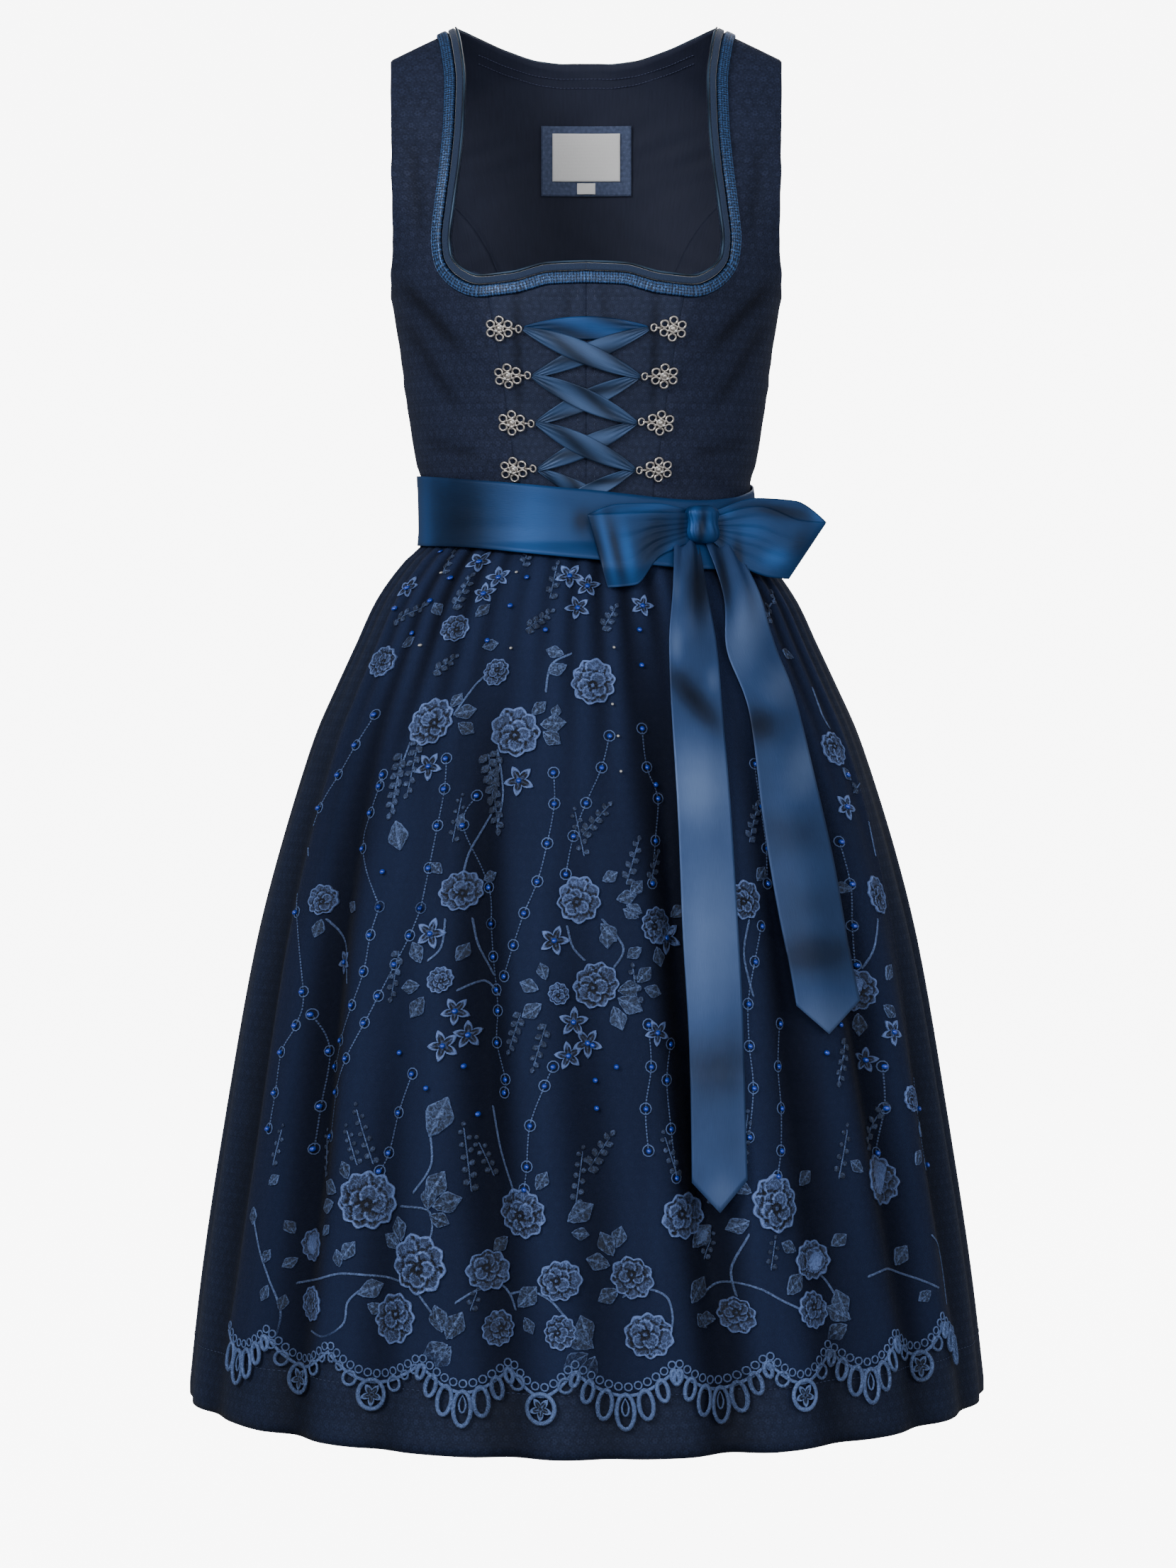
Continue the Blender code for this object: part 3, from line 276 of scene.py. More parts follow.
# A loop's edges by the picture's pixels, out from the knot behind, round its end and back in front
LoopRow = namedtuple("LoopRow", "top_x top_y low_x low_y")
LOOP_ROWS = {
    "bow_loop_right": rows_of(
        LoopRow,
        (975, 712, 975, 754), (923, 702, 926, 788), (872, 703, 884, 802), (829, 718, 858, 821),
        (868, 716, 897, 817), (920, 715, 930, 778), (976, 716, 976, 756),
    ),
    "bow_loop_left": rows_of(
        LoopRow,
        (1004, 714, 1004, 754), (1066, 695, 1058, 788), (1122, 699, 1094, 800), (1165, 729, 1112, 809),
        (1130, 726, 1088, 807), (1070, 706, 1050, 794), (1004, 722, 1004, 756),
    ),
}
TailRow = namedtuple("TailRow", "x z half_width low")
TAILS = {
    "bow_tail_right": rows_of(
        TailRow,
        (0.0705, -0.392, 0.009, 0.0086), (0.0735, -0.425, 0.012, 0.0062), (0.0765, -0.465, 0.017, 0.0036),
        (0.079, -0.51, 0.0182, 0.003), (0.0845, -0.59, 0.0195, 0.003), (0.088, -0.67, 0.0196, 0.003),
        (0.092, -0.75, 0.0196, 0.003), (0.094, -0.846, 0.0198, 0.003),
    ),
    "bow_tail_left": rows_of(
        TailRow,
        (0.093, -0.392, 0.011, 0.0086), (0.112, -0.435, 0.014, 0.006), (0.1195, -0.47, 0.018, 0.0036),
        (0.1345, -0.51, 0.019, 0.003), (0.149, -0.59, 0.0225, 0.003), (0.162, -0.665, 0.0238, 0.003),
        (0.1735, -0.725, 0.024, 0.003),
    ),
}
TAIL_TIP = 0.022

# The bare patch, label and size tag inside the back: middle height, width, height, cloth layer
Label = namedtuple("Label", "name z width height depth")
LABELS = rows_of(
    Label,
    ("label_patch", -0.09, 0.0714, 0.054, 0.0029), ("label", -0.087, 0.054, 0.037, 0.0047),
    ("size_tag", -0.111, 0.0145, 0.0085, 0.0047),
)

# Apron: its columns as the gathers count them, its cord line and its scalloped edge
COLUMN_DEGREES = 2.5
APRON_FIRST_COLUMN = -25
APRON_LAST_COLUMN = 27
APRON_LOW = 0.0006
APRON_EDGE_RISE = 0.0016
NET_WALL = 0.0004
CORD_DROP = 0.9665
MIDDLE_SAG = 0.0105
SCALLOP_DEPTH = 0.017
# Scallops by the angle where each starts: arches with a flower, or fans of long loops
Scallop = namedtuple("Scallop", "start arch")
SCALLOPS = rows_of(
    Scallop,
    (-64.0, False), (-51.0, True), (-38.0, True), (-23.0, False), (-10.4, True), (-1.7, False),
    (12.2, False), (25.4, True), (36.3, False), (49.0, True), (61.0, False), (74.0, False),
)
# The loops of half a fan from its middle: where each hangs across, its width and its length
FanLoop = namedtuple("FanLoop", "across width length")
FAN = rows_of(
    FanLoop,
    (0.0, 0.016, 0.028), (0.0138, 0.0136, 0.024), (0.0252, 0.011, 0.0185), (0.034, 0.0086, 0.0135),
)
FAN_SPAN = 0.070
CORD_RADIUS = 0.0017
LOOP_TUCK = 0.0030
FAN_LEAN = 9.0
# Rings of cord: their width and height, the cord's radius and tone, the steps round them, how
# pointed they are at the top, and how far they hang below the apron's edge
Hoop = namedtuple("Hoop", "width height wire tone around pointed hangs")
PEARL_RING = Hoop(0.0082, 0.0082, 0.00045, 0.95, 10, 0.0, 0.0)
EDGE_RING = Hoop(0.0054, 0.0054, 0.00062, 0.86, 10, 0.0, 0.0)
INNER_LOOP = Hoop(0.0050, 0.0120, 0.0008, 0.84, 12, 0.6, 0.0220)
ARCH = Hoop(0.0200, 0.0208, CORD_RADIUS, 0.84, 24, 0.0, 0.0230)
BESIDE_LOOP = Hoop(0.0100, 0.0100, 0.0012, 0.80, 14, 0.0, 0.0120)
SMALL_LOOP = Hoop(0.0058, 0.0064, 0.0009, 0.80, 10, 0.0, 0.0070)
EDGE_RINGS_UP = 0.0062
EDGE_RINGS_APART = 0.0070
ARCH_STAR_HANGS = 0.0236
ARCH_STAR_TURN = 0.3
ARCH_STAR_SIZE = 0.0085
BESIDE_LOOP_ACROSS = 0.0175
SMALL_LOOPS_ACROSS = (0.0262, 0.0336)
# Rows of stitches: the distance between them, their length and width, and their lean
StitchRow = namedtuple("StitchRow", "gap long wide lean")
STEM_STITCHES = StitchRow(0.0019, 0.0036, 0.0018, 0.25)
SPRIG_STITCHES = StitchRow(0.0019, 0.0030, 0.0010, 0.2)
STRING_DASHES = StitchRow(0.0024, 0.0017, 0.0009, 0.0)
CORD_STITCHES = StitchRow(0.0016, 0.0036, 0.0026, 0.45)
SPRIG_SPREAD = 0.85
BERRY_STALK = 7.0
BERRY_SHARE = 0.62

# Camera: it stands this far from the garment's middle plane, looking a little down
PICTURE_WIDTH = 1659.0
PICTURE_HEIGHT = 2212.0
PICTURE_FOCAL = 5161.0
PICTURE_MIDDLE_X = 827.0
PICTURE_TOP_Y = 41.0
METRES_PER_PIXEL = 0.0005425
APRON_NEARER = 0.93
CAMERA_DISTANCE = 2.8
CAMERA_HEIGHT = -0.430
AIM_RAISED = 0.0043
SENSOR = 36.0


def smoothstep(start, end, value):
    part = np.clip((value - start) / (end - start), 0.0, 1.0)
    return part * part * (3.0 - 2.0 * part)


def along(keys, values, at):
    """The values at those keys, on a smooth curve that never overshoots its points."""
    keys, values = np.asarray(keys, float), np.asarray(values, float)
    at = np.clip(at, keys[0], keys[-1])
    i = np.clip(np.searchsorted(keys, at, side="left") - 1, 0, len(keys) - 2)
    chord = np.diff(values) / np.diff(keys)
    slope = np.zeros(len(keys))
    slope[0], slope[-1] = chord[0], chord[-1]
    before, after = chord[:-1], chord[1:]
    same_way = before * after > 0.0
    total = np.where(same_way, before + after, 1.0)
    slope[1:-1] = np.where(same_way, 2.0 * before * after / total, 0.0)
    span = np.diff(keys)[i]
    t = (at - keys[i]) / span
    return (
        (1.0 + 2.0 * t) * (1.0 - t) ** 2 * values[i]
        + t * (1.0 - t) ** 2 * span * slope[i]
        + t * t * (3.0 - 2.0 * t) * values[i + 1]
        - t * t * (1.0 - t) * span * slope[i + 1]
    )


# The sections are read by the root of the drop, so that the shoulder rounds over smoothly.
SECTION_KEYS = [sqrt(section.drop) for section in SECTIONS]


def section_at(root, column):
    return along(SECTION_KEYS, [getattr(section, column) for section in SECTIONS], root)


def crest(x, drop):
    """How far the shoulder line at that side lifts the cloth at a drop."""
    fading = 1.0 - smoothstep(SLOPE_FADES_FROM, SLOPE_FADES_TO, drop)
    rise = hypot(NECK_HALF_WIDTH, NAPE_ROUNDING) - np.hypot(x, NAPE_ROUNDING)
    return fading * SHOULDER_SLOPE * rise


def unit(vectors):
    return vectors / np.linalg.norm(vectors, axis=-1, keepdims=True)


def on_figure(half, angle, root):
    """The points of the garment's outer surface at those angles and roots of the drop."""
    angle, root = np.broadcast_arrays(np.asarray(angle, float), np.asarray(root, float))
    drop = root * root
    x = section_at(root, "half_width") * np.sin(angle)
    z = crest(x, drop) - drop
    y = section_at(root, half) * np.cos(angle)
    if half == "front":
        off = ((np.abs(x) - CUP_X) ** 2 + (z - CUP_Z) ** 2) / CUP_RADIUS**2
        y = -y - CUP_DEPTH * np.exp(-off)
    return np.stack([x, y, z], axis=-1)


def slopes_and_normal(half, angle, root):
    """The surface's two slopes there, and its outward normal."""
    turn, fall = 0.01, 0.004
    ahead, behind = on_figure(half, angle + turn, root), on_figure(half, angle - turn, root)
    by_angle = (ahead - behind) / (2.0 * turn)
    by_root = (on_figure(half, angle, root + fall) - on_figure(half, angle, root)) / fall
    normal = unit(np.cross(by_root, by_angle))
    return by_angle, by_root, normal if half == "front" else -normal


def over(half, angle, root, out):
    """The points that far out from the surface."""
    normal = slopes_and_normal(half, angle, root)[2]
    return on_figure(half, angle, root) + normal * np.asarray(out, float)[..., None]


def angle_of(side, drop):
    """The angle at which that section is so far to the side."""
    part = side / section_at(np.sqrt(drop), "half_width")
    return np.arcsin(np.clip(part, -1.0, 1.0))


def drop_of(x, z):
    """The drop at a place seen from the front."""
    drop = np.maximum(0.0, -np.asarray(z, float))
    for _ in range(30):
        drop = np.maximum(0.0, crest(x, drop) - z)
    return drop


def at_place(half, x, z, out):
    """The points over the surface at places seen from the front."""
    drop = drop_of(x, z)
    return over(half, angle_of(x, drop), np.sqrt(drop), out)


def smooth_row(table, at):
    """Each column of a table at fractional rows, on smooth curves."""
    keys = np.arange(len(table))
    return [along(keys, [row[n] for row in table], at) for n in range(len(table[0]))]


def small_folds(half, degrees, drop):
    """The skirt's finer, uneven folds between its large ones."""
    down = smoothstep(WAIST_DROP, 0.62, drop)
    lean = 3.0 * np.sin(drop * 9.0 + (0.0 if half == "front" else 2.0))
    wide_share = 0.6 + 0.4 * np.sin(np.radians(degrees * 3.1))
    wide = wide_share * np.sin(np.radians(degrees * 11.0 + lean * 14.0))
    fine_share = 0.5 + 0.5 * np.sin(np.radians(degrees * 5.3 + 70.0))
    fine = fine_share * np.sin(np.radians(degrees * 23.0 - lean * 21.0 + 40.0))
    fading = 1.0 - smoothstep(0.45, 0.95, drop)
    return down * (0.0016 * (1.0 + wide) + 0.0008 * (1.0 + fine) * (0.35 + 0.65 * fading))


def gather_wave(degrees):
    """The waist's gathers, 0 on a crest and about 1 between two, none quite like the next."""
    shift = 0.9 * np.sin(np.radians(degrees * 5.0 + 30.0))
    wave = 0.5 - 0.5 * np.cos(np.radians(degrees) * 2.0 * GATHERS_PER_HALF + shift)
    return wave * (1.0 + 0.35 * np.sin(np.radians(degrees * 7.3 + 25.0)))


def fold_depth(half, degrees, drop):
    """How far the skirt's cloth lies inside its outline there."""
    down = (drop - WAIST_DROP) / (HEM_DROP - WAIST_DROP)
    depth = small_folds(half, degrees, drop)
    hem_share = 1.0 - FOLDS_FADE_SHARE * smoothstep(0.80, HEM_DROP, drop)
    for fold in FOLDS:
        if fold.half != half:
            continue
        middle = fold.at_waist + (fold.at_hem - fold.at_waist) * down
        grown = smoothstep(fold.start, fold.start + FOLD_RAMP, drop) * hem_share
        depth = depth + fold.depth * grown * np.exp(-(((degrees - middle) / fold.spread) ** 2))
    fading = 1.0 - smoothstep(WAIST_DROP, GATHERS_FADE_BY, drop)
    return depth + GATHER_DEPTH * fading * gather_wave(degrees)


def fold_shade_of(half, degrees, drop):
    """How deep in a fold or a gather the skirt lies there, from 0 on a crest to 1: the strength of the
    painted shade in its hollows.
    """
    full = 0.0040 + 0.0030 * smoothstep(0.42, 0.75, drop)
    fold = 1.0 - np.exp(-((fold_depth(half, degrees, drop) / full) ** 1.5))
    gathers = 0.55 * gather_wave(degrees) ** 2 * (1.0 - smoothstep(WAIST_DROP, 0.60, drop))
    return np.clip(fold + gathers * (1.0 - fold), 0.0, 1.0)


def on_skirt(half, degrees, drop, out):
    """The points level with the folded skirt, moved straight out by that much."""
    degrees, drop = np.broadcast_arrays(np.asarray(degrees, float), np.asarray(drop, float))
    angle, root = np.radians(degrees), np.sqrt(drop)
    normal = slopes_and_normal(half, angle, root)[2]
    normal[..., 2] = 0.0
    return on_figure(half, angle, root) + unit(normal) * (out - fold_depth(half, degrees, drop))[..., None]


def all_round(degrees, root, out):
    """The points over the surface at angles counted right round from the front's middle."""
    wrapped = (degrees + 180.0) % 360.0 - 180.0
    front = np.abs(wrapped) <= 90.0
    behind = np.where(wrapped > 0.0, 180.0 - wrapped, -180.0 - wrapped)
    before = over("front", np.radians(np.where(front, wrapped, 0.0)), root, out)
    after = over("back", np.radians(np.where(front, 0.0, behind)), root, out)
    return np.where(front[..., None], before, after)


# Cloth: a grid laid on the surface


def shape_of(mesh, name):
    data = bpy.data.meshes.new(name)
    mesh.to_mesh(data)
    mesh.free()
    return data


def sheet_grid(columns, rows):
    """A flat grid of unit cells from (0, 0)."""
    mesh = bmesh.new()
    bmesh.ops.create_grid(mesh, x_segments=columns, y_segments=rows, size=0.5)
    bmesh.ops.translate(mesh, vec=(0.5, 0.5, 0.0), verts=mesh.verts)
    bmesh.ops.scale(mesh, vec=(columns, rows, 1.0), verts=mesh.verts)
    return mesh


def read(parts, name):
    """The three numbers of that name for each part of a mesh."""
    flat = np.empty(len(parts) * 3)
    parts.foreach_get(name, flat)
    return flat.reshape(-1, 3)


def set_cloth_uv(data, metres):
    """Each point's place in its cloth, in metres, as the piece's UV."""
    loops = np.empty(len(data.loops), np.int32)
    data.loops.foreach_get("vertex_index", loops)
    data.uv_layers.new(name="cloth").uv.foreach_set("vector", metres[loops].ravel())


def laid(name, mesh, place, cloth_place, material, outward=None, **marks):
    """The object of a flat mesh, laid by place(u, v), with its cloth place in metres as UV.

    Marks are named values of its points, worked out from u, v and their places.
    """
    data = shape_of(mesh, name)
    u, v, _ = read(data.vertices, "co").T
    set_cloth_uv(data, np.stack(cloth_place(u, v), axis=-1))
    points = place(u, v)
    data.vertices.foreach_set("co", points.ravel())
    for mark, value_of in marks.items():
        marked(data, mark, value_of(u, v, points))
    data.update()
    if outward is not None:
        normals, centres = read(data.polygons, "normal"), read(data.polygons, "center")
        if (normals * outward(centres)).sum() < 0.0:
            data.flip_normals()
    return shown(name, data, material)


def marked(data, name, values):
    """A value of that name for each point of the mesh."""
    layer = data.attributes.get(name) or data.attributes.new(name, "FLOAT", "POINT")
    layer.data.foreach_set("value", np.asarray(values, np.float32))
    return data


def linked(name, data):
    made = bpy.data.objects.new(name, data)
    bpy.context.scene.collection.objects.link(made)
    return made


def shown(name, data, *materials):
    """The linked object of a mesh, smooth, riding on the garment."""
    for material in materials:
        data.materials.append(material)
    data.shade_smooth()
    made = linked(name, data)
    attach(made, "root")
    return made


def walled(made, thickness, inner=None, offset=-1.0):
    """A wall inwards from a laid sheet, with the inner cloth's own material."""
    wall = made.modifiers.new("wall", "SOLIDIFY")
    wall.thickness = thickness
    wall.offset = offset
    wall.use_even_offset = False
    if inner is not None:
        made.data.materials.append(inner)
        wall.material_offset = 1
    return made


def from_axis(points):
    """The way out from the garment's upright axis."""
    return np.stack([points[:, 0], points[:, 1], np.zeros(len(points))], axis=-1)


def eased(part, share=0.55):
    """A part of the way across, moved so that the cells are finer near both edges."""
    return part * (1.0 - share) + share * (1.0 - np.cos(np.pi * part)) / 2.0


def crease_depth(half, points):
    """How deep the bodice's creases are at those points."""
    x, z = points[:, 0], points[:, 2]
    depth = np.zeros(len(x))
    for crease in CREASES:
        if crease.half != half:
            continue
        dx, dz = crease.x2 - crease.x1, crease.z2 - crease.z1
        length = hypot(dx, dz)
        t = ((x - crease.x1) * dx + (z - crease.z1) * dz) / length**2
        off = ((x - crease.x1) * dz - (z - crease.z1) * dx) / length
        ends = smoothstep(-0.15, 0.30, t) * (1.0 - smoothstep(0.70, 1.15, t))
        depth += crease.depth * ends * np.exp(-((off / crease.width) ** 2))
    return depth


def creased(half, points):
    """How far the bodice's cloth lies in from its surface at those points."""
    x, z = points[:, 0], points[:, 2]
    slow = 0.0004 * (1.0 + np.sin(x * 120.0 + 9.0 * np.sin(z * 35.0)) * np.sin(z * 75.0 + x * 20.0))
    return crease_depth(half, points) + slow


def seam_valley(across, width):
    """The cloth dips by its seams, at both edges of a panel of that width."""
    near = np.minimum(across, 1.0 - across) * width
    return 0.0007 * np.exp(-((near / 0.0016) ** 2))


# Materials


def feed(tree, socket, value):
    """A socket's link to a shader value, or its own plain value."""
    if isinstance(value, Value):
        tree.links.new(value.socket, socket)
    else:
        socket.default_value = value


class Value:
    """A shader value: arithmetic on it adds its Math nodes."""

    def __init__(self, tree, socket):
        self.tree = tree
        self.socket = socket

    def math(self, operation, *values, clamp=False):
        node = self.tree.nodes.new("ShaderNodeMath")
        node.operation = operation
        node.use_clamp = clamp
        for socket, value in zip(node.inputs, values):
            feed(self.tree, socket, value)
        return Value(self.tree, node.outputs[0])

    def __add__(self, other):
        return self.math("ADD", self, other)

    def __sub__(self, other):
        return self.math("SUBTRACT", self, other)

    def __rsub__(self, other):
        return self.math("SUBTRACT", other, self)

    def __mul__(self, other):
        return self.math("MULTIPLY", self, other)

    def __truediv__(self, other):
        return self.math("DIVIDE", self, other)

    __radd__ = __add__
    __rmul__ = __mul__

    def apply(self, operation):
        return self.math(operation, self)

    def below(self, edge, softness):
        """1 where the value is under the edge, fading to 0 over the softness."""
        return self.math("ADD", (edge - self) / softness, 0.5, clamp=True)


class Finish:
    """A material of the garment while its nodes are being added."""

    def __init__(self, name, roughness, metallic=0.0, sheen=0.0, coat=0.0, specular=0.5):
        self.material = bpy.data.materials.new(name)
        self.material.use_nodes = True
        self.tree = self.material.node_tree
        self.shader = self.tree.nodes["Principled BSDF"]
        constants = {
            "Roughness": roughness, "Metallic": metallic, "Sheen Weight": sheen,
            "Coat Weight": coat, "Specular IOR Level": specular,
        }
        for socket, value in constants.items():
            self.put(socket, value)

    def node(self, kind, output, settings=None, inputs=None):
        """Any node but Math: its settings first, then its sockets' values or links."""
        made = self.tree.nodes.new(kind)
        for name, value in (settings or {}).items():
            if name == "stops":
                self.set_stops(made.color_ramp, value)
            else:
                setattr(made, name, value)
        for name, value in (inputs or {}).items():
            feed(self.tree, made.inputs[name], value)
        return Value(self.tree, made.outputs[output])

    @staticmethod
    def set_stops(ramp, stops):
        for n, (place, colour) in enumerate(stops):
            stop = ramp.elements[n] if n < 2 else ramp.elements.new(place)
            stop.position = place
            stop.color = colour

    def put(self, socket, value):
        feed(self.tree, self.shader.inputs[socket], value)

    def mix(self, factor, first, second):
        settings = {"data_type": "RGBA"}
        return self.node("ShaderNodeMix", 2, settings, {0: factor, 6: first, 7: second})

    def tints(self, factor, colour, dark, light):
        """A colour between a dark and a light tint of one."""
        return self.mix(factor, tinted(colour, dark), tinted(colour, light))

    def ramp(self, factor, *stops):
        return self.node("ShaderNodeValToRGB", "Color", {"stops": stops}, {"Fac": factor})

    def shade(self, base, colour, share, dark):
        """The base colour with painted shade in the valleys of folds and creases."""
        self.put("Base Color", self.mix(self.mark("valley") * share, base, tinted(colour, dark)))

    def parts(self, vector):
        return [self.node("ShaderNodeSeparateXYZ", n, inputs={0: vector}) for n in range(3)]

    def mark(self, name):
        """A value that the piece's own points carry."""
        return self.node("ShaderNodeAttribute", "Fac", {"attribute_name": name})

    def cloth_place(self):
        return self.node("ShaderNodeUVMap", "UV", {"uv_map": "cloth"})

    def object_place(self):
        return self.node("ShaderNodeTexCoord", "Object")

    def noise(self, where, scale, detail=2.0):
        inputs = {"Vector": where, "Scale": scale, "Detail": detail}
        return self.node("ShaderNodeTexNoise", "Fac", inputs=inputs)

    def threads(self, where, across, length, detail=1.0):
        """Noise that is scaled by itself across and along the threads."""
        inputs = {"Vector": where, "Scale": (across, length, 1.0)}
        place = self.node("ShaderNodeMapping", "Vector", {"vector_type": "POINT"}, inputs)
        return self.noise(place, 1.0, detail)

    def bump(self, height, distance, strength=1.0):
        inputs = {"Height": height, "Distance": distance, "Strength": strength}
        self.put("Normal", self.node("ShaderNodeBump", "Normal", inputs=inputs))


def light_of(colour, brighter=1.0):
    """A 0 to 255 colour as linear light with full opacity."""
    parts = [value / 255.0 for value in colour]
    linear = [p / 12.92 if p <= 0.04045 else ((p + 0.055) / 1.055) ** 2.4 for p in parts]
    return (*(min(1.0, value * brighter) for value in linear), 1.0)


def tinted(colour, brighter):
    """A colour setting, brightened or darkened, as a socket value."""
    return (*(min(1.0, part * brighter) for part in colour[:3]), 1.0)


def jacquard(name, colour, repeat, lift, roughness=0.62):
    """Woven cloth with small round flowers a little lighter and smoother than its ground."""
    f = Finish(name, roughness, sheen=0.02, specular=0.16)
    f.put("Sheen Roughness", 0.4)
    where = f.cloth_place()
    across, up, _ = f.parts(where)
    row = (up / repeat).apply("FLOOR")
    x = (across / repeat + row * 0.5).apply("FRACT") - 0.5
    y = (up / repeat).apply("FRACT") - 0.5
    radius = (x * x + y * y).apply("SQRT")
    turn = x.math("ARCTAN2", y, x)
    petals = (turn * 6.0).apply("COSINE") * 0.5 + 0.5
    flower = radius.below(petals * 0.10 + 0.16, 0.06) - radius.below(0.075, 0.04)
    hoop = (radius - 0.40).apply("ABSOLUTE").below(0.035, 0.04)
    leafy = (turn * 10.0).apply("COSINE").below(0.2, 0.5)
    dots = radius.below(0.72, 0.03) - radius.below(0.60, 0.03)
    figure = flower + hoop * leafy + dots * 0.35
    weave = (up * 5200.0).apply("SINE") * 0.5 + (across * 6400.0).apply("SINE") * 0.5
    mottled = f.noise(where, 46.0, 3.0)
    thready = f.threads(where, 1500.0, 180.0)
    slubs = f.threads(where, 330.0, 420.0, 2.0)
    tone = figure * 0.42 + mottled * 0.45 + thready * 0.35 + slubs * 1.20 - 0.72
    base = f.tints(tone, colour, 0.62, 1.0 + lift)
    # Painted shade in the valleys of the cloth's folds and creases.
    f.shade(base, colour, 0.80, 0.10)
    f.put("Roughness", roughness + 0.08 - figure * 0.16)
    f.bump(figure * 0.6 + weave * 0.12 + thready * 0.3, 0.00018)
    return f.material


def lining(name, colour):
    """Plain woven lining with a faint vertical slub."""
    f = Finish(name, 0.75, specular=0.3)
    where = f.cloth_place()
    slub = f.threads(where, 900.0, 60.0, 2.0)
    slow = f.noise(where, 18.0, 2.0)
    f.put("Base Color", f.tints(slub * 0.6 + slow * 0.4, colour, 0.72, 1.35))
    f.bump(slub, 0.00015)
    return f.material


def satin(name, colour, light, roughness=0.38, metallic=0.30):
    """Satin: long floats whose colour turns from near black to a pale gleam by painted highlights and
    painted shade, with a fine lengthwise grain.
    """
    f = Finish(name, roughness, metallic=metallic, specular=0.30)
    where = f.cloth_place()
    grain = f.threads(where, 2600.0, 90.0, 2.0)
    cloudy = f.noise(where, 34.0, 2.0)
    # The gleam mark is painted light: highlights and shade set on the piece, broken by the grain and a
    # cloudy noise.
    gleam = f.mark("gleam") + (grain - 0.5) * 0.12 + (cloudy - 0.5) * 0.14
    dark, deep, plain = (tinted(colour, brighter) for brighter in (0.15, 0.42, 1.0))
    f.put("Base Color", f.ramp(gleam, (0.0, dark), (0.25, deep), (0.5, plain), (1.0, light)))
    f.put("Roughness", roughness - 0.05 + grain * 0.12)
    f.bump(grain * 0.4 + cloudy * 0.6, 0.00022)
    return f.material


def velvet(name, colour):
    """Short dark pile with a soft bloom."""
    f = Finish(name, 0.95, sheen=0.8, specular=0.1)
    f.put("Sheen Roughness", 0.35)
    pile = f.noise(f.cloth_place(), 1400.0, 2.0)
    f.put("Base Color", f.tints(pile, colour, 0.5, 1.5))
    f.bump(pile, 0.0003)
    return f.material


def glitter_braid(name, colour):
    """A looped braid: a zigzag cord between two edges, with bright foil threads."""
    f = Finish(name, 0.42, metallic=0.25)
    where = f.cloth_place()
    across, length, _ = f.parts(where)
    place = (length / BRAID_REPEAT).apply("FRACT") - 0.5
    middle = across - BRAID_MIDDLE
    zigzag = (place.apply("ABSOLUTE") - 0.25) * 0.0135
    cord = (middle - zigzag).apply("ABSOLUTE").below(0.0009, 0.0006)
    edge = (middle.apply("ABSOLUTE") - 0.0040).apply("ABSOLUTE").below(0.0006, 0.0004)
    sparks = f.noise(where, 900.0, 2.0)
    lattice = 2.0 * pi / BRAID_REPEAT
    loops = ((across + length) * lattice).apply("SINE") * ((across - length) * lattice).apply("SINE")
    dark = (loops + (f.noise(where, 480.0, 1.0) - 0.5) * 2.4).below(-0.05, 0.35)
    foil = sparks.math("GREATER_THAN", sparks, 0.56)
    raised = cord + edge
    tone = raised * 0.35 + sparks * 0.65
    base = f.tints(tone, colour, 0.6, 1.5)
    base = f.mix(foil * 0.75, base, tinted(colour, 3.2))
    f.put("Base Color", f.mix(dark * 0.88, base, tinted(colour, 0.12)))
    f.put("Metallic", foil * 0.5 + 0.10)
    f.bump(raised + sparks * 0.5, 0.0005)
    return f.material


def silver(name, colour):
    """Cast silver, darker and duller in uneven patches."""
    f = Finish(name, 0.28, metallic=1.0)
    where = f.object_place()
    worn = f.noise(where, 900.0, 3.0)
    f.put("Base Color", f.tints(worn, colour, 0.75, 1.5))
    f.put("Roughness", 0.20 + worn * 0.25)
    f.bump(worn, 0.00012)
    return f.material


def thread(name, colour, roughness=0.55):
    """Twisted sewing thread."""
    f = Finish(name, roughness)
    spun = f.noise(f.object_place(), 2400.0, 1.0)
    f.put("Base Color", f.tints(spun, colour, 0.7, 1.3))
    f.bump(spun, 0.0001)
    return f.material


def woven_tape(name, colour, rib):
    """A label's close ribbed weave."""
    f = Finish(name, 0.7, specular=0.3)
    where = f.cloth_place()
    up = f.parts(where)[1]
    ribs = (up * (2.0 * pi / rib)).apply("SINE") * 0.5 + 0.5
    threads = f.threads(where, 1800.0, 300.0)
    f.put("Base Color", f.tints(ribs * 0.4 + threads * 0.6, colour, 0.88, 1.1))
    f.bump(ribs + threads, 0.0001)
    return f.material


def glossy_pearl(name, colour, roughness=0.12):
    """A small glossy bead."""
    f = Finish(name, roughness, metallic=0.35, coat=1.0)
    cloudy = f.noise(f.object_place(), 500.0, 1.0)
    f.put("Base Color", f.tints(cloudy, colour, 0.8, 1.3))
    return f.material


def colour_property(name, description, colour):
    return FloatVectorProperty(
        name=name, description=description, subtype="COLOR", size=3, min=0.0, max=1.0,
        default=light_of(colour)[:3],
    )


